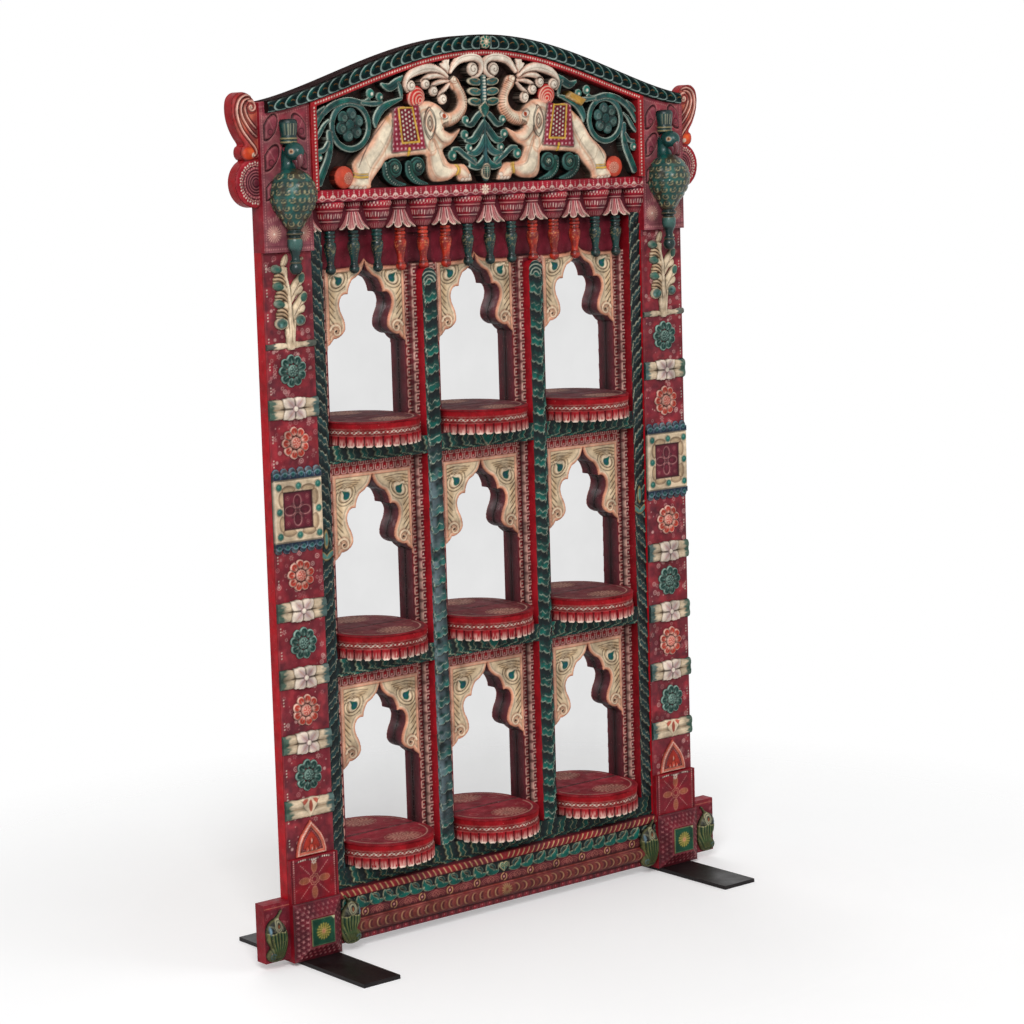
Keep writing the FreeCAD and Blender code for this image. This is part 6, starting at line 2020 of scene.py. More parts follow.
def turned(shell, centre, profile, paint_part, across=ROUND, sides=56, pitch=1.5, hem=None):
    """A turned form on an upright axis from rows of height and radius, top first.

    Its patch has the angle from the front as u and the run down the profile as v."""
    curve = np.array(profile, float)
    lengths = np.concatenate([[0], np.cumsum(np.hypot(*np.diff(curve, axis=0).T))])
    part = Patch(np.linspace(*across, sides)[::-1], steps(0, lengths[-1], pitch), CREAM)
    height = np.interp(part.v, lengths, curve[:, 0])
    radius = np.interp(part.v, lengths, curve[:, 1])
    paint_part(part, height, radius)
    edge = None if hem is None else hem(wrap(part.u, PETAL_TURN)[0]) - height

    def place(along, run, rise):
        turn = -along / ARC
        z = np.interp(run, lengths, curve[:, 0])
        out = np.interp(run, lengths, curve[:, 1]) + rise
        return np.stack([centre[0] + out * np.sin(turn), centre[1] - out * np.cos(turn), z],
                        -1)

    part.u = part.u * -ARC
    if hem is None:
        shell.lay(part, place)
    else:
        shell.lay(part, place, edge, 3)


def blob(shell, centre, half, colour, rows=20, spots=()):
    """A rounded form with spots of other paint, given as direction, size and colour."""
    turn, fall = np.meshgrid(np.linspace(0, 2 * math.pi, rows * 2), np.linspace(0, math.pi, rows),
                             indexing="ij")
    way = np.stack([np.sin(fall) * np.cos(turn), np.sin(fall) * np.sin(turn), np.cos(fall)], -1)
    colours = np.broadcast_to(colour, way.shape).copy()
    for aim, size, tone in spots:
        aim = np.array(aim, float) / np.linalg.norm(aim)
        amount = np.clip((size - np.arccos(np.clip(way @ aim, -1, 1))) / 0.08 + 0.5, 0, 1)
        colours += (tone - colours) * amount[..., None]
    shell.grid(np.array(centre) + way[:, ::-1] * np.array(half), colours[:, ::-1])


def tube(shell, rows, colour, sides=18, flat=1.0):
    """A tube in the plane across the front, along rows of depth, height and radius."""
    curve = np.array(smooth(rows, 6))
    way = np.gradient(curve[:, 1:3], axis=0)
    way /= np.linalg.norm(way, axis=1)[:, None]
    turn = np.linspace(0, 2 * math.pi, sides)
    points = np.zeros((len(curve), sides, 3))
    points[..., 0] = curve[:, None, 0] + flat * curve[:, None, 3] * np.cos(turn)
    points[..., 1] = curve[:, None, 1] - way[:, None, 1] * curve[:, None, 3] * np.sin(turn)
    points[..., 2] = curve[:, None, 2] + way[:, None, 0] * curve[:, None, 3] * np.sin(turn)
    shell.grid(points, np.broadcast_to(colour, points.shape))


# Upper post blocks, their scrolls, and the birds on round pots

def post_block(shell, side, seed):
    part, u = stile_patch(side, STILE_TOP, 1692, MAROON)
    v = part.v
    worn = np.clip(noise(u, v, 45, seed) * 1.5 - 0.3 + (u + v - 1620) / 260, 0, 1)[..., None]
    part.colour[:] = paint(128, 66, 76) * (1 - worn) + paint(152, 34, 52) * worn
    part.tint(noise(u, v, 12, seed + 5) * 8 - 4.6, paint(158, 104, 104), 0.3, 4)
    ceiling = ceiling_level(part.u) + 19 * (np.abs(part.u) > CORNICE_END)
    for s in SIDES:
        for z, turn, size in ((1642, 0.5, 26), (1584, 0.6, 27), (1524, 0.8, 24)):
            leaf = ellipse(u * s, v, (34, z), size * 0.5, size, turn)
            leaf = np.maximum(leaf, np.abs(u) - 47.5)
            part.pile(leaf, 4.2, 6)
            part.tint(leaf, paint(132, 56, 70), 0.5, 3)
            part.tint(leaf + 2, paint(112, 40, 54), 0.5, 8)
            part.tint(np.abs(leaf) - 0.9, paint(72, 20, 32), 0.8)
            part.carve(np.abs(leaf) - 1.2, 2.0, 1.5)
            part.line(leaf - 2.4, paint(206, 146, 142), 0.8, 0.45)
            lobe = disc(u * s, v, (34 + 3 * math.sin(turn), z - size * 0.35), size * 0.22)
            part.tint(np.abs(lobe) - 0.8, paint(70, 20, 32), 0.75)
            part.carve(np.abs(lobe) - 0.6, 1.4, 1.2)
            rib = stroke(u * s, v, [(34 - size * 0.3 * math.sin(turn), z - size * 0.1, 0.7),
                                    (36, z + size * 0.3, 1.2),
                                    (34 + size * 0.5 * math.sin(turn), z + size * 0.75, 0.5)])
            part.tint(rib, paint(196, 132, 130), 0.55)
        bead = wrap(v, 5.2)[0]
        part.tint(only(v < ceiling - 8, disc(u * s, bead, (52, 0), 1.1)), PINK, 0.6)
        part.line(only(v < ceiling - 8, np.abs(u * s - 52) - 3), DEEP_MAROON, 1.2, 0.6)
        part.tint(55 - u * s, paint(152, 74, 82), 0.6, 1.5)
        for radius, reach, count in ((16.0, 3.6, 20), (9.4, 2.8, 15), (4.6, 1.6, 9)):
            ray = petals(u, v, (s * 34, 1440), count, radius, 0.75, 0.1, radius - reach * 1.6)
            part.tint(ray, paint(226, 182, 160), 0.9)
        part.tint(disc(u, v, (s * 34, 1440), 1.8), IVORY, 0.9)
        for k in range(5):
            fleck = stroke(u * s, v, [(24 + 5 * k, 1468 - 2 * k, 0.6),
                                      (22 + 6 * k, 1476 - 2.5 * k, 1.4)])
            part.tint(fleck, paint(214, 164, 150), 0.7)
    bead = wrap(u, 5.2)[0]
    part.tint(disc(bead, v, (0, 1411), 1.2), PINK, 0.8)
    part.tint(disc(bead, v - ceiling, (0, -6.5), 1.2), PINK, 0.7)
    part.line(v - 1416.5, DEEP_MAROON, 1.4, 0.7)
    scatter(part, seed + 3, 40, (DUSTY_PINK, PINK))
    part.age_and_shade_hollows(seed, 1.1, PINK)
    shell.lay(part, front(-10), v - ceiling - 1.5, 37, paint(140, 24, 38), deep_shade=0.9,
              backed=True)


def side_scroll(shell, seed):
    """The left-hand scroll and lobe."""
    part = fine_patch(-603, -543, 1488, 1714, paint(148, 30, 30))
    u, v = part.u, part.v
    outer = [(-543, 1684), (-549, 1697), (-560, 1706), (-573, 1709), (-585, 1706),
             (-594, 1696), (-597, 1680), (-595.5, 1660), (-590, 1642), (-582, 1626),
             (-572, 1611), (-577, 1606), (-580, 1598), (-579, 1589), (-573, 1582),
             (-562, 1580), (-543, 1584)]
    corners = outline_of(outer, 4)
    scroll = polygon(u, v, corners + [(-530.0, 1584.0), (-530.0, 1684.0)])
    lobe = ellipse(u, v, (-552, 1538), 43.5, 46.5)
    gap = union(scroll, lobe)
    part.lift(scroll, 6, 7)
    part.tint(scroll + 9, paint(176, 74, 54), 0.85, 8)
    part.tint(ellipse(u, v, (-566, 1668), 14, 34, -0.5), paint(190, 112, 88), 0.6, 12)
    part.tint(ellipse(u, v, (-550, 1640), 13, 30, -0.5), paint(116, 44, 46), 0.8, 10)
    pale = paint(232, 190, 172)
    for run in ([(-553, 1700, 1.0), (-566, 1703, 2.4), (-581, 1695, 3.4), (-587.5, 1678, 4.0),
                 (-586, 1660, 3.6), (-577, 1638, 3.0), (-562, 1619, 2.6), (-550, 1605, 2.2),
                 (-546.5, 1595, 1.6), (-551, 1589.5, 1.2)],
                [(-558, 1697, 1.0), (-571, 1693, 2.2), (-578, 1680, 2.8), (-576, 1664, 2.6),
                 (-567, 1648, 2.2), (-556, 1634, 1.8), (-545, 1625, 1.0)],
                [(-562, 1690, 1.0), (-568.5, 1680, 1.8), (-566.5, 1667, 2.0),
                 (-558, 1653, 1.8), (-546, 1641, 1.0)]):
        ridge = stroke(u, v, run)
        part.tint(np.abs(ridge - 2.4) - 1.2, paint(104, 28, 30), 0.6, 1.6)
        part.tint(ridge, pale, 0.92)
        part.pile(ridge, 2.2, 1.8)
        part.carve(np.abs(ridge - 2.6) - 1.0, 1.8, 1.6)
    eye = disc(u, v, (-555, 1681), 13)
    part.tint(eye, paint(150, 44, 40), 0.9, 2)
    part.line(eye, paint(84, 18, 24), 1.6, 0.8)
    coil = stroke(u, v, spiral((-555.5, 1681), 11.5, 1.9, -1.15, 4.4))
    part.tint(coil, paint(196, 104, 84), 0.85)
    part.pile(coil, 3.4, 3)
    part.line(coil + 1, pale, 1.2, 0.9)
    part.tint(disc(u, v, (-555.5, 1680), 3.2), paint(240, 208, 184))
    centre = (-564, 1594.5)
    ball = ellipse(u, v, centre, 14.5, 11.5)
    part.tint(ball - 1.2, paint(96, 16, 22), 0.8, 1.5)
    part.tint(ball, paint(206, 66, 30), 0.95, 3)
    part.tint(ellipse(u, v, (-561, 1598), 6, 5), paint(232, 104, 50), 0.8, 6)
    part.lift(ball, 5.5, 11, part.rise.copy() * 0.5)
    part.tint(disc(u, v, (-555, 1591), 4.2), paint(240, 212, 188), 0.95, 2)
    away = np.hypot(u + 549, (v - 1538) * 0.93)
    turn = np.arctan2(v - 1538, u + 549)
    part.tint(np.maximum(lobe, v - 1581), paint(148, 18, 34))
    part.lift(lobe, 4, 5)
    part.tint(np.maximum(away - 36, lobe), paint(122, 40, 56), 0.9, 3)
    part.tint(np.maximum(away - 21, lobe), paint(92, 26, 42), 0.8, 5)
    for radius, count, width, tone in ((36.0, 40, 2.6, IVORY), (31.5, 40, 1.6, CREAM),
                                       (26.5, 30, 1.6, PINK)):
        dash = np.clip(0.5 + 1.8 * np.sin(turn * count), 0, 1)
        wavy = np.abs(away - radius - 1.0 * np.sin(turn * count / 2))
        part.tint(only(lobe < 0, wavy - width / 2), tone, 0.95 * dash)
    for radius, width in ((29.0, 1.0), (22.5, 1.6), (17.5, 1.4), (12.5, 1.4), (7.5, 1.2)):
        groove = only(lobe < 0, np.abs(away - radius) - width / 2)
        part.tint(groove, paint(58, 14, 26), 0.8)
        part.carve(groove - 0.4, 1.8, 1.4)
        part.tint(only(lobe < 0, np.abs(away - radius - 2.2) - 0.4),
                  paint(196, 128, 128), 0.55)
    part.age_and_shade_hollows(seed, 1.0, PINK)
    shell.lay(part, front(3), gap, 24, paint(158, 24, 30), deep_shade=0.9, backed=True)


def paint_pot(part, height, radius):
    arc = part.u * radius
    part.colour[:] = paint(44, 44, 34)
    sheen = noise(arc, part.v, 16, 81)
    part.tint(0.5 - sheen, paint(8, 62, 58), 0.9, 0.3)
    part.tint(0.62 - noise(arc, part.v, 8, 82), paint(74, 62, 40), 0.5, 0.3)
    part.tint(0.60 - noise(arc, part.v, 11, 83), paint(14, 96, 88), 0.6, 0.2)
    for row in range(7):
        level = 1549 - row * 15.0
        near = np.abs(height - level) < 8.0
        ring_radius = float(np.interp(level, [1455, 1475, 1500, 1525, 1560],
                                      [18, 31, 44, 44.8, 20]))
        count = max(6, int(round(2 * math.pi * ring_radius / 18.5)))
        turn = wrap(part.u, 2 * math.pi / count, (row % 2) * math.pi / count)[0]
        a, b = turn * radius, height - level
        mark = np.abs(np.hypot(a, b * 1.08) - 5.2) - 0.85
        mark = np.where((b > 2.6) & (np.abs(a) < 3.4), 9, mark)
        part.tint(only(near, np.hypot(a, b) - 4.4), paint(6, 40, 40), 0.7, 2)
        part.tint(only(near, mark - 0.9), BLACK_TEAL, 0.6)
        part.tint(only(near, mark), paint(170, 160, 120), 0.88)
        part.pile(only(near, np.hypot(a, b) - 6.4), 1.6, 3)
        part.tint(only(near, np.hypot(a, b - 0.5) - 1.3), paint(120, 120, 88), 0.8)
    part.tint(only(height < 1447, -1), paint(10, 36, 36), 0.9)
    for level in (1439.5, 1430.5, 1384.5):
        part.tint(np.abs(height - level) - 0.6, GOLD * 0.7, 0.5)
    part.tint(only((height < 1430) & (height > 1404), 0.62 - sheen), PALE_TEAL * 0.5,
              0.7, 0.3)


def paint_crest(part, height, radius):
    part.colour[:] = paint(14, 36, 38)
    part.tint(0.5 - noise(part.u * 15, part.v, 14, 95), paint(12, 60, 56), 0.8, 0.3)
    for turn in (-1.05, -0.62, -0.30, 0.08, 0.5):
        line = only((height < 1649) & (height > 1627), np.abs(part.u - turn) * 16 - 0.7)
        part.tint(line, paint(164, 164, 136), 0.8)
        part.carve(line - 0.6, 1.0, 1.4)
    part.tint(1651 - height, BLACK_TEAL, 0.7, 3)
    for level in (1620, 1613):
        part.tint(np.abs(height - level) - 1.2, paint(158, 142, 96), 0.85)


CREST_PROFILE = [(1657, 0.5), (1656.6, 12), (1655, 16), (1650, 18), (1640, 17.4), (1628, 15.6),
                 (1624, 15), (1622, 17), (1618, 17), (1616.4, 15), (1615, 16.6), (1611, 16.6),
                 (1608, 13)]
POT_PROFILE = [(1563, 13), (1559, 20), (1553, 28), (1545, 35.5), (1535, 41.5), (1524, 45),
               (1513, 46), (1500, 44), (1487, 38.5), (1475, 31), (1464, 23), (1455, 17.5),
               (1449, 15), (1447, 12.5), (1444.5, 12.5), (1443, 15.5), (1440, 16.2),
               (1437, 15), (1435.5, 11), (1433, 11), (1431, 13.5), (1426, 14.6), (1418, 14.8),
               (1411, 13.4), (1404, 10), (1397, 7.8), (1392, 7.6), (1389, 9.2), (1387, 11.4),
               (1384.5, 11.6), (1383, 9.6), (1380, 11.6), (1375, 12.8), (1370.5, 12.2),
               (1365, 9.4), (1362.5, 6), (1361.8, 0.3)]


EYE = ((0.0, 0.36, paint(70, 110, 116)), (0.02, 0.26, paint(214, 186, 150)),
       (0.02, 0.18, paint(150, 84, 40)), (0.02, 0.10, SHADOW))


def bird(shell, side):
    x, y = side * 484, -27
    turned(shell, (x, y), POT_PROFILE, paint_pot, sides=88)
    light = paint(10, 64, 60)
    tube(shell, [(x, -26, 1545, 24), (x, -18, 1560, 17.5), (x, -15, 1574, 14.5),
                 (x, -17, 1588, 15), (x, -24, 1598, 17)], light, 26)
    blob(shell, (x, -36, 1595), (16.5, 24, 18), light, 28,
         [((s, -0.52, rise), size, tone) for rise, size, tone in EYE for s in SIDES])
    tube(shell, [(x, -47, 1589, 9.5), (x, -53, 1584, 8.5), (x, -55, 1576, 6.5),
                 (x, -52, 1568, 4), (x, -48, 1562, 0.8)], paint(122, 70, 74), 20, 0.7)
    tube(shell, [(x, -38, 1582, 9), (x, -43, 1575, 6.5), (x, -44, 1568, 4),
                 (x, -42, 1562, 1)], paint(104, 46, 56), 16, 0.8)
    turned(shell, (x, -19), CREST_PROFILE, paint_crest, sides=48)


blocks = both_sides(post_block, 800, 802)
blocks.make("post_blocks_carved", ["post_blocks"], "maroon_paint", PAINTED)

shell = Shell()
side_scroll(shell, 811)
shell.join(shell.mirrored())
shell.make("side_scrolls_carved", ["side_scrolls"], "orange_paint", PAINTED)

birds = both_sides(bird)
birds.make("bird_brackets_carved", ["bird_brackets"], "teal_paint", GLOSSY_PAINT)


# The frieze: a painted rail, half-round cups and lotuses, and turned pendants

RAIL = 1495
PATTERN = 25.2

# From one cup to the next, how much longer the cups are than their profile, and how far
# that brings the pendants down

UNIT = 57.0667
DRAW = 1.11
DROP = 5.6

part = fine_patch(-RAIL_END, RAIL_END, RAIL, PANEL_FOOT, paint(162, 6, 34))
u, v = part.u, part.v
part.tint(noise(u, v, 50, 901) * 8 - 5.0, paint(136, 40, 54), 0.6, 5)
place = wrap(u, PATTERN)[0]
worked = np.abs(u) > PATTERN / 2
drop = v - 1497.6 - 4.6 * np.abs(np.sin(place / PATTERN * math.pi)) ** 1.6
part.tint(drop, paint(110, 26, 44), 0.8)
part.tint(np.abs(drop) - 0.7, paint(222, 176, 170), 0.9)
lily = union(ellipse(place, v, (0, 1505.6), 1.7, 4.4),
             *(ellipse(place, v, (s * 3.6, 1505.4), 1.5, 4.2, s * 0.75) for s in SIDES))
lily = only(worked, lily)
part.tint(lily, paint(228, 196, 184), 0.95)
part.lift(lily, 0.8, 1.2)
for level, size in ((1512.6, 1.0), (1516, 0.8)):
    part.tint(only(worked, disc(place, v, (0, level), size)), paint(236, 204, 196), 0.9)
for level, size in ((1506.6, 1.2), (1510.4, 1.0), (1514, 0.8)):
    part.tint(disc(np.abs(place), v, (PATTERN / 2, level), size), paint(236, 200, 192), 0.9)
star = petals(u, v, (0, 1507), 8, 10.5, 2.2, 0, 3)
part.tint(star, paint(232, 208, 184), 0.95)
part.tint(disc(u, v, (0, 1507), 2.4), IVORY)
part.lift(star, 0.9, 1.4)
part.rise -= 1.6 * np.clip(1 - np.minimum(v - RAIL, PANEL_FOOT - v) / 2.2, 0, 1)
part.age_and_shade_hollows(903, 1.0, PINK)
shell = Shell()
shell.lay(part, front(-8.5), None, 44.5, CRIMSON * 0.9, deep_shade=0.6)
shell.make("frieze_rail_painted", ["frieze_rail"], "crimson_paint", PAINTED)

CUP = [(1495, 31), (1493.5, 31.8), (1488, 32), (1483.6, 30), (1482, 28.2), (1480.6, 28.8),
       (1478.6, 28.4), (1477, 26.4), (1475.5, 27), (1466, 24.6), (1463.5, 22), (1462, 22.4),
       (1460, 21.8), (1458.5, 19.4), (1457, 19.6), (1454, 18.6), (1450, 16.4), (1446.5, 14),
       (1444.8, 11), (1444.4, 1)]
LOTUS = [(1495, 15), (1493.5, 16), (1485, 15.6), (1482.5, 13.6), (1481, 15.0), (1479, 14.6),
         (1477, 12.6), (1474, 12.8), (1468, 14.6), (1461, 18), (1455, 22.6), (1450.5, 27.4),
         (1447.5, 30.4), (1444.4, 31.4)]
LOTUS_HEART = [(1495, 11), (1446, 12.6), (1444.4, 1)]
CREAM_PINK = paint(228, 192, 180)


def lower(height):
    """A level of the drawn cup, drawn out below the rail."""
    return RAIL - DRAW * (RAIL - height)


def raised(level):
    """The level of the drawn cup that lower() brings here."""
    return RAIL - (RAIL - level) / DRAW


def drawn_out(profile):
    return [(lower(z), radius) for z, radius in profile]


def dashes(part, height, radius, low, high, pitch, tone=CREAM_PINK, slant=1.4):
    """A row of small slanting strokes round a tier."""
    way = part.u * radius + (height - low) * slant / (high - low)
    turn = wrap(way, pitch)[0]
    dash = rect(turn, height, -pitch * 0.13, low, pitch * 0.13, high, 1.0)
    part.tint(dash, tone, 0.9, 0.8)
    part.lift(dash, 0.9, 1.2)


def paint_cup(part, height, radius):
    height = raised(height)
    worn = np.clip(noise(part.u * 20, part.v, 14, 905) * 1.6 - 0.3, 0, 1)[..., None]
    part.colour[:] = paint(98, 28, 44) * (1 - worn) + paint(156, 20, 40) * worn
    part.tint(height - 1459, paint(108, 44, 52), 0.7, 3)
    dashes(part, height, 31, 1485.4, 1493, 6.4, slant=2.8)
    dashes(part, height, 26, 1465.8, 1474.6, 5.2, slant=0.6)
    dashes(part, height, 18, 1446, 1455, 4.6, paint(176, 122, 116), 0.4)
    for level in (1482, 1476.4, 1462.8, 1458.4):
        part.tint(np.abs(height - level) - 0.7, DEEP_MAROON * 0.6, 0.85)
    for level in (1479.4, 1461):
        part.tint(np.abs(height - level) - 0.45, CREAM_PINK, 0.75)


def hem(turn):
    """Height of the petals' lower edge round a lotus."""
    return 1445 + 9.5 * np.clip(np.abs(turn) / 0.34, 0, 1) ** 2.2


def paint_lotus(part, height, radius):
    height = raised(height)
    part.colour[:] = paint(126, 24, 42)
    dashes(part, height, 15, 1486, 1493, 4.8, slant=1.6)
    turn = wrap(part.u, PETAL_TURN)[0]
    a = np.abs(turn) * np.clip(radius, 14, 26)
    half = 0.345 * np.clip(radius, 14, 26)
    petal = only(height < 1477.5, a - half)
    rim = np.abs(a - half)
    streaks = np.abs(np.sin(a * 1.15 + 0.5))
    low = np.clip((1474 - height) / 26, 0, 1)
    part.tint(petal, paint(150, 32, 52))
    tone = CREAM_PINK * (1 - 0.12 * low[..., None])
    share = cover(petal) * (0.05 + 0.7 * low) * np.clip(streaks * 1.5 - 0.45, 0, 1)
    part.blend(tone, share)
    part.tint(only(height < 1477.5, rim - 1.0), paint(70, 14, 28), 0.9)
    part.tint(only(height < 1476, np.abs(a - half + 2.0) - 0.6), paint(232, 204, 192),
              0.85)
    part.tint(height - hem(turn) - 2.0, paint(222, 200, 180), 0.9, 1.5)
    part.rise += 3.0 * np.clip(1 - a / half, 0, 1) ** 0.6 * np.clip((1478 - height) / 8, 0, 1)
    for level in (1482, 1477.4):
        part.tint(np.abs(height - level) - 0.7, DEEP_MAROON * 0.6, 0.85)
    part.tint(np.abs(height - 1480) - 0.5, CREAM_PINK, 0.75)


def plain_heart(part, height, radius):
    part.colour[:] = paint(70, 16, 28)


shell = Shell()
for number in range(16):
    centre = ((number - 7.5) * UNIT, 20)
    reach = (0 if number == 0 else -math.pi / 2, 0 if number == 15 else math.pi / 2)
    sides = 44 if 0 < number < 15 else 23
    if number % 2:
        turned(shell, centre, drawn_out(CUP), paint_cup, reach, sides)
    else:
        turned(shell, centre, drawn_out(LOTUS), paint_lotus, reach, sides + 8,
               hem=lambda turn: lower(hem(turn)))
        turned(shell, centre, drawn_out(LOTUS_HEART), plain_heart, reach, 16)
shell.make("frieze_cups_carved", ["frieze_cups"], "maroon_paint", PAINTED)

PENDANT = [(1444, 10.2), (1440.5, 10.8), (1438.8, 10), (1437.6, 8.6), (1436, 10.6),
           (1433.4, 11.4), (1431, 10.6), (1429.6, 8.6), (1428, 10), (1426, 10.4), (1424.4, 9.6),
           (1423.4, 8.8), (1421, 11), (1417, 12.4), (1411, 12.4), (1404, 11.2), (1397, 9.4),
           (1390, 8.0), (1384, 7.0), (1379, 6.8), (1376.6, 7.8), (1375.6, 9.2), (1373.8, 9.4),
           (1372.8, 8.4), (1371.6, 9.6), (1368, 10.4), (1364.4, 9.6), (1361.4, 7.2),
           (1359.6, 4.4), (1358.4, 0.2)]


def paint_pendant(ground, glow, ring, number):
    def brush(part, height, radius):
        height = height + DROP
        part.colour[:] = ground
        seed = 700 + 11 * number
        cloud = noise(part.u * 14, part.v, 12, seed)
        part.tint(0.56 - cloud, glow, 0.85, 0.25)
        fleck = noise(part.u * 14, part.v, 2.2, seed + 3)
        band = np.exp(-((height - 1410) / 16) ** 2)
        part.tint(0.93 - fleck - 0.22 * band, ring, 0.7, 0.16)
        for level in (1437.6, 1429.6, 1423.4, 1375.2, 1372.8):
            part.tint(np.abs(height - level) - 0.8, SHADOW, 0.8)
        for level in (1433.4, 1368, 1440.5):
            part.tint(np.abs(height - level) - 1.0, glow * 1.15, 0.5)
        part.colour *= (0.85 + 0.3 * noise(part.u * 14, part.v, 3, 77))[..., None]
    return brush


shell = Shell()
GREEN_TONES = (paint(10, 32, 32), paint(16, 62, 58), paint(140, 128, 92))
ORANGE_TONES = (paint(128, 30, 26), paint(186, 50, 28), paint(214, 130, 84))
for number in range(14):
    tones = ORANGE_TONES if number in (3, 4, 5, 9, 10, 11) else GREEN_TONES
    brush = paint_pendant(*tones, number)
    turned(shell, ((number - 6.5) * UNIT, 18), [(z - DROP, radius) for z, radius in PENDANT],
           brush, sides=32)
shell.make("pendants_turned", ["pendants"], "teal_paint", GLOSSY_PAINT)


# The base: plinths with painted tiles, wings, and the mouldings of the rail between them

def rolled(low, high, depth):
    """Rise of a half-round moulding between two heights."""
    return lambda v: depth * dome(2 * v - low - high, high - low)


def rail_piece(part, name, node, slot, edge):
    """One moulding between the plinths, closed at the back."""
    shell = Shell()
    shell.lay(part, front(-3), None, 39, edge, deep_shade=0.7, backed=True)
    shell.make(name, [node], slot, PAINTED)


part = fine_patch(-RAIL_END, RAIL_END, 20, 84, paint(104, 34, 42))
u, v = part.u, part.v
part.tint(noise(u, v, 40, 951) * 8 - 4, paint(124, 40, 40), 0.6, 5)
away = np.abs(u)
on_roll = np.abs(v - 48.5) - 15.5
part.rise[:] = rolled(33, 64, 10)(v)
part.tint(on_roll, paint(140, 58, 42), 0.4 + 0.6 * noise(u, v, 22, 952))
TAN = paint(202, 158, 108)
place = -wrap(away, 20.4, 26)[0]
moon = np.maximum(disc(place, v, (1.5, 48.5), 9.4), -disc(place, v, (4.2, 48.5), 8.9))
# A dark crescent just within each tan one is painted shade beside the raised crescent
inside = np.maximum(disc(place, v, (4.6, 48.5), 7.0), -disc(place, v, (8.6, 48.5), 7.4))
for gap, tone, share in ((moon, TAN, 0.92), (inside, paint(44, 16, 22), 0.75)):
    part.tint(only((on_roll < -2) & (away > 14), gap), tone, share)
part.pile(only(away > 14, moon), 1.0, 1.4)
for shift in (9.5, 12.5):
    faint = np.abs(disc(place, v, (shift, 48.5), 7.4)) - 0.5
    part.tint(only((on_roll < -2) & (place < shift) & (away > 14), faint),
              paint(168, 92, 66), 0.55)
sun = petals(u, v, (0, 48.5), 14, 14, 1.5, 0, 4)
part.tint(np.maximum(sun, on_roll), GOLD, 0.85)
for level, tone in ((33.4, paint(140, 44, 34)), (63.6, paint(186, 60, 34))):
    part.tint(np.abs(v - level) - 1.6, tone, 0.5 + 0.4 * noise(u, v, 30, 954))
    part.carve(np.abs(v - level - math.copysign(2.4, 48.5 - level)) - 0.8, 1.2, 1)
place = wrap(u, 20.0)[0]
part.tint(30.8 - v - 12, DEEP_MAROON, 0.5, 2)
part.tint(petals(place, v, (0, 26.3), 6, 5.4, 1.8, 0, 1), paint(140, 26, 42), 0.75)
part.line(np.maximum(np.abs(place), np.abs(v - 26.3)) - 5.6, DUSTY_PINK, 1.1, 0.4)
part.tint(disc(place, v, (0, 26.3), 1.2), PINK, 0.8)
place = wrap(u, 72)[0]
band_on = (v > 66) & (v < 83)
halves = only(np.abs(place * 0.9 - (v - 74.5) * 0.35) > 2.0, 0)
ring = np.abs(np.hypot(place, v - 74.5) - 7.4) - 1.0
part.tint(only(band_on, ring + halves), TAN, 0.85)
part.tint(only(band_on, disc(place, v, (0, 74.5), 4.6)), DEEP_MAROON * 0.7, 0.7)
part.tint(only(band_on, disc(place, v, (0, 74.5), 2.3)), PINK, 0.95)
for shift in (11.5, 15.5, 20):
    arc = np.abs(np.hypot(np.abs(place) - 25, (v - 68) * 1.2) - shift + 6) - 0.65
    part.tint(only(band_on & (np.abs(place) > 12), arc), paint(178, 104, 92), 0.7)
leaf = np.abs(ellipse(np.abs(place), v, (32, 76), 6.5, 3.2, 0.9)) - 0.5
part.tint(only(band_on, leaf), paint(178, 104, 92), 0.7)
part.age_and_shade_hollows(953, 1.1, PINK)
rail_piece(part, "base_rail_carved", "base_rail", "maroon_paint", MAROON * 0.8)

part = fine_patch(-RAIL_END, RAIL_END, 84, 111, BLACK_TEAL * 0.9)
u, v = part.u, part.v
away = np.abs(u)
b = v - 97.5
place = wrap(away, 33.4, 30)[0]
part.tint(10 - away, BLACK_TEAL, 1.0)
for step in (-1, 0, 1):
    a = -(place - step * 33.4)
    wave = stroke(a, b, [(-13, 11.5, 3), (-13, 3, 10), (-8, -5, 15), (3, -8, 12), (14, -7, 5),
                         (19, -3, 1)], 4)
    curl = stroke(a, b, [(-9, 9, 3), (-1, 8, 6), (5, 2, 6), (2, -2, 3)], 4)
    keep = away > 13
    for gap, tone in ((wave, TEAL * 0.75), (curl, DEEP_TEAL * 1.2)):
        gap = only(keep, gap)
        part.tint(gap, tone, np.clip(0.35 + 0.9 * noise(u, v, 9, 958), 0, 1))
        part.lift(gap, 2.6, 4)
        low = (a < 0) | (b < -3)
        part.line(gap, paint(192, 184, 150), 1.3, 0.35 + 0.5 * low)
heart = union(disc(away, b, (5.5, 2.5), 6.8),
              polygon(away, b, [(-1, 0), (11.5, -1), (0, -11.5), (-1, -11.5)]))
part.tint(heart, TEAL * 0.7)
part.lift(heart, 3.2, 4)
part.line(heart + 0.8, paint(206, 186, 140), 1.4, 0.9)
part.line(heart + 4.4, GOLD, 1.0, 0.8)
part.age_and_shade_hollows(957, 1.1, PALE_TEAL)
rail_piece(part, "scroll_band_carved", "scroll_band", "teal_paint", BLACK_TEAL)

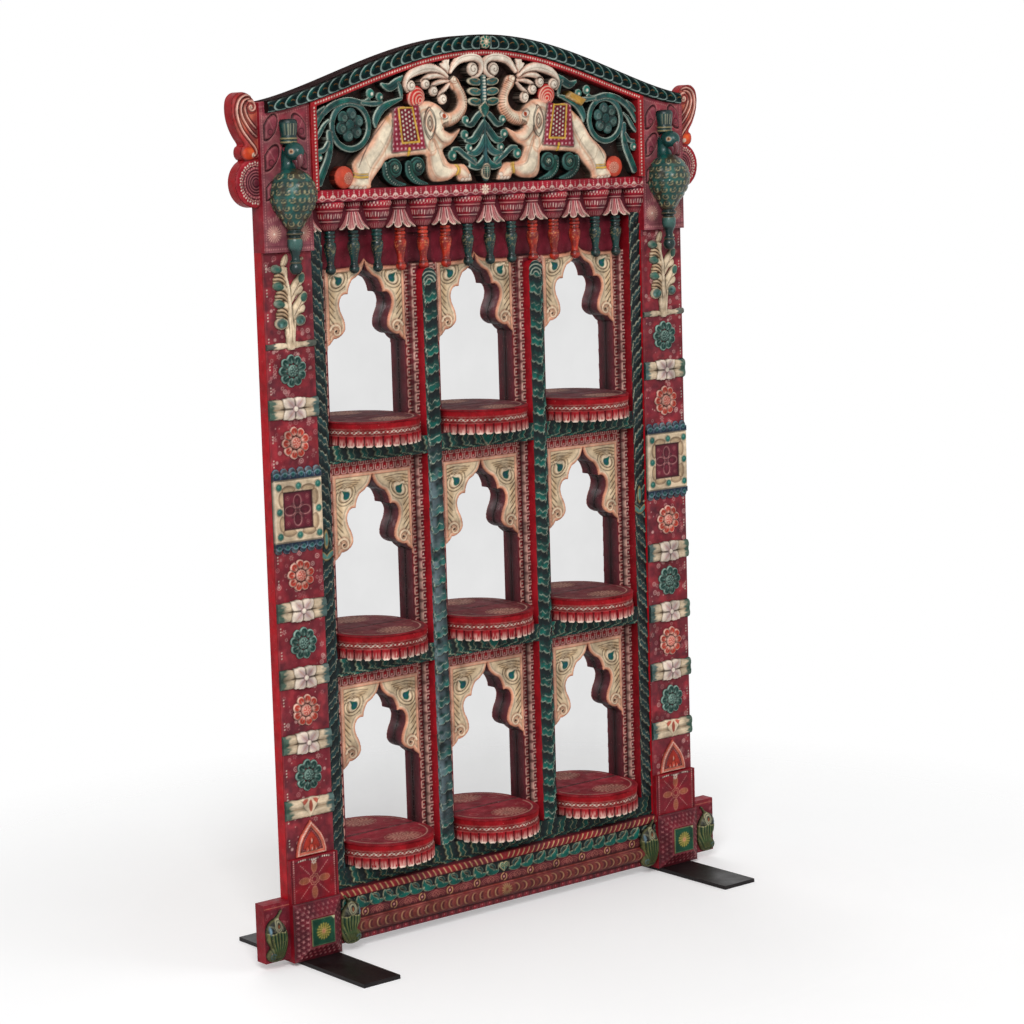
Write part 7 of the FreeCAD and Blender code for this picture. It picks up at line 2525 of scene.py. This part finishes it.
part = fine_patch(-RAIL_END, RAIL_END, 111, 129, MAROON * 0.95)
u, v = part.u, part.v
part.tint(noise(u, v, 45, 961) * 8 - 4.6, RED * 0.75, 0.7, 5)
lean = np.abs(u) - (v - 120) * 0.6
place = wrap(lean, 13.6, 9)[0]
strand = np.abs(place) - 1.35 - 0.4 * noise(u, v, 9, 962)
strand = np.maximum(strand, np.abs(v - 120) - 6.6)
part.rise[:] = rolled(110, 130, 6)(v)
part.tint(only(np.abs(u) > 7, strand), paint(200, 162, 112), 0.85)
part.pile(only(np.abs(u) > 7, strand), 0.9, 1.5)
part.carve(np.abs(np.abs(place) - 6.8) - 0.8, 0.9, 1.5)
part.tint(np.abs(place - 2.6) - 0.9, DEEP_MAROON * 0.8, 0.6)
part.age_and_shade_hollows(963, 1.1, PINK)
rail_piece(part, "rope_moulding_carved", "rope_moulding", "maroon_paint", MAROON * 0.8)

part = fine_patch(-RAIL_END, RAIL_END, 129, SILL_TOP, BLACK_TEAL)
u, v = part.u, part.v - 149.5
leaf_run(part, -v, np.abs(u) - 10, 41, 34, 10, 22, TEAL * 0.7, paint(184, 172, 128), 967)
part.age_and_shade_hollows(969, 1.1, PALE_TEAL)
shell = Shell()
shell.lay(part, front(LATTICE), None, BOARD - LATTICE, BLACK_TEAL)
shell.make("sill_carved", ["sill"], "teal_paint", PAINTED)


def plinth(shell, side, seed):
    part, u = stile_patch(side, 8, PLINTH_TOP, paint(112, 26, 40))
    v = part.v - 67.5
    part.tint(noise(u, v, 18, seed) * 8 - 4.2, paint(82, 26, 38), 0.7, 5)
    wear = np.clip(1.8 * noise(u, v, 14, seed + 4) - 0.3, 0.05, 1)
    wear = wear * np.where((u * side > 18) | (v < -34), 1.0, 0.35)
    away = np.maximum(np.abs(u), np.abs(v) - 2)
    part.rise[:] = np.clip((HALF_STILE - away) / (HALF_STILE - 29), 0, 1) * 18.6
    for reach in (50, 42, 34):
        wide = np.abs(np.maximum(np.abs(u), np.abs(v)) - reach)
        run = np.where(np.abs(u) > np.abs(v), v, u)
        bead, number = wrap(run, 11.2, 5.6 * (reach == 42))
        dome = np.hypot(wide, bead) - 2.9 - 0.9 * np.cos(5 * np.arctan2(wide, bead) + number)
        part.tint(dome, paint(150, 84, 88), 0.75 * wear, 1.5)
        part.tint(np.hypot(wide, bead) - 0.9, paint(206, 164, 156), 0.8 * wear)
        part.pile(dome, 1.6, 3.3)
    for edge in (56, 30.5):
        part.line(np.maximum(np.abs(u), np.abs(v) - (1.5 if edge > 50 else 0)) - edge,
                  DUSTY_PINK * 0.9, 1.2, 0.55)
    part.age_and_shade_hollows(seed + 2, 1.1, PINK)
    shell.lay(part, front(-14), None, 44, paint(132, 16, 30), deep_shade=0.8, backed=True)


def tile(shell, side, seed):
    part, u = stile_patch(side, 40.5, 94.5, paint(16, 72, 50), 27)
    v = part.v - 67.5
    part.tint(noise(u, v, 9, seed) * 8 - 4.6, paint(10, 56, 40), 0.7, 4)
    edge = np.maximum(np.abs(u), np.abs(v))
    dashed = np.sin((u + v) * 1.5) > -0.3
    part.tint(25.4 - edge, paint(96, 118, 84), 0.4 + 0.4 * dashed, 1.4)
    chip = np.maximum(6 - (u + v - 40), 25.6 - v - 4)
    part.tint(chip, paint(206, 200, 160), 0.8)
    glow = np.hypot(u, v)
    part.tint(glow - 16, paint(92, 98, 40), 0.75, 3)
    for reach, count, tone in ((14.5, 16, paint(156, 144, 64)), (9.5, 12, paint(164, 150, 70)),
                               (5, 8, paint(190, 150, 90))):
        ray = petals(u, v, (0, 0), count, reach + 2.6, 1.6, 0, reach - 3.4)
        part.tint(ray, tone, 0.9)
        part.lift(ray, 0.8, 1.4)
    part.tint(glow - 3, paint(206, 130, 100), 0.9)
    part.age_and_shade_hollows(seed, 0.9, CREAM)
    shell.lay(part, front(-35), None, 3, paint(150, 140, 96), deep_shade=0.8)


def wing(shell, side, seed):
    low, high = sorted((side * 543, side * 603))
    part = fine_patch(low, high, 17, 135, paint(112, 26, 38))
    u, v = part.u, part.v
    part.tint(noise(u, v, 30, seed) * 8 - 4.2, paint(88, 28, 40), 0.7, 5)
    part.tint(123 - v, paint(140, 30, 42), 0.5, 3)
    part.line(v - 127, paint(196, 120, 96), 1.4, 0.6)
    scatter(part, seed + 1, 26, (DUSTY_PINK * 0.9, DUSTY_PINK))
    part.age_and_shade_hollows(seed + 2, 1.1, PINK)
    shell.lay(part, front(-2), None, 30, paint(134, 16, 32), deep_shade=0.85, backed=True)


MANGO = ((10, 121), (3, 112), (-6, 106), (-17, 101), (-24, 90), (-25.5, 77), (-23, 62),
         (-16, 49), (-21, 43), (-25.5, 34), (-22, 24), (-12, 19), (2, 18.5), (13, 23),
         (20, 35), (24.5, 52), (24.5, 70), (20, 86), (12, 97), (5, 104), (8, 112), (14, 119))


def mango(shell, middle, lean, front_y, height, seed):
    part = fine_patch(middle - 27, middle + 27, 16, 124, paint(24, 52, 34))
    u, v = (part.u - middle) * lean, part.v
    corners = outline_of(MANGO, 3, True)
    gap = polygon(u, v, corners)
    part.lift(gap, height, 14)
    part.tint(gap + 5, paint(16, 66, 42), 0.6, 6)
    part.tint(v - 40, paint(72, 68, 30), 0.4, 14)
    part.tint(gap * -1 - 4 + u * 0.3, paint(66, 68, 28), 0.5, 5)
    part.tint(78 - v + 2 * np.cos(u / 4), paint(12, 20, 24), 1.0, 3)
    for k in range(-3, 4):
        flute = stroke(u, v, [(k * 7.4, 77, 1.4), (k * 7.0 + 1, 62, 2.2), (k * 4.5 + 1, 44, 1.6),
                              (k * 3 - 2, 28, 1.2)])
        flute = np.maximum(flute, gap + 2)
        part.tint(flute, paint(126, 122, 56), 0.5)
        part.carve(np.abs(flute - 2.6) - 0.9, 1.6, 1.8)
    part.tint(np.maximum(np.abs(v - 78 - 1.5 * np.cos(u / 4)) - 0.9, gap + 1),
              paint(176, 170, 120), 0.8)
    for radius in (12.5, 8.0):
        part.line(ellipse(u, v, (-1, 93), radius * 0.62, radius), paint(184, 178, 144), 1.3, 0.85)
    part.tint(ellipse(u, v, (-1, 91), 1.8, 4), paint(150, 84, 50), 0.9)
    for s in SIDES:
        for shift in (11, 15):
            rib = np.abs(np.hypot(u * s - shift - 8, v - 80) - 14) - 0.5
            part.tint(np.maximum(only(v > 80, rib), gap + 2), paint(150, 150, 124), 0.6)
    # A painted highlight: a blue-white streak down the left edge of the dark cap
    part.tint(ellipse(u, v, (-19, 84), 2.2, 9, 0.1), paint(120, 156, 176), 0.75)
    part.tint(stroke(u, v, spiral((-15, 31), 7, 0.4, 1.2, 2.2)), paint(70, 104, 112), 0.8)
    part.line(gap + 1.4, paint(110, 108, 60), 1.2, 0.5)
    part.age_and_shade_hollows(seed, 1.1, paint(170, 164, 120))
    shell.lay(part, front(front_y), gap, 0.5, None, 0.5)


for name, node, slot, build in (
        ("plinths_carved", "plinths", "maroon_paint", plinth),
        ("plinth_tiles_painted", "plinth_tiles", "teal_paint", tile),
        ("base_wings_painted", "base_wings", "maroon_paint", wing)):
    both_sides(build, 980, 982).make(name, [node], slot, PAINTED)

shell = Shell()
for side in SIDES:
    mango(shell, side * 577, -side, -2, 14, 991)
    mango(shell, side * 404, side, -8, 14, 993)
shell.make("mango_ornaments_carved", ["mango_ornaments"], "teal_paint", PAINTED)
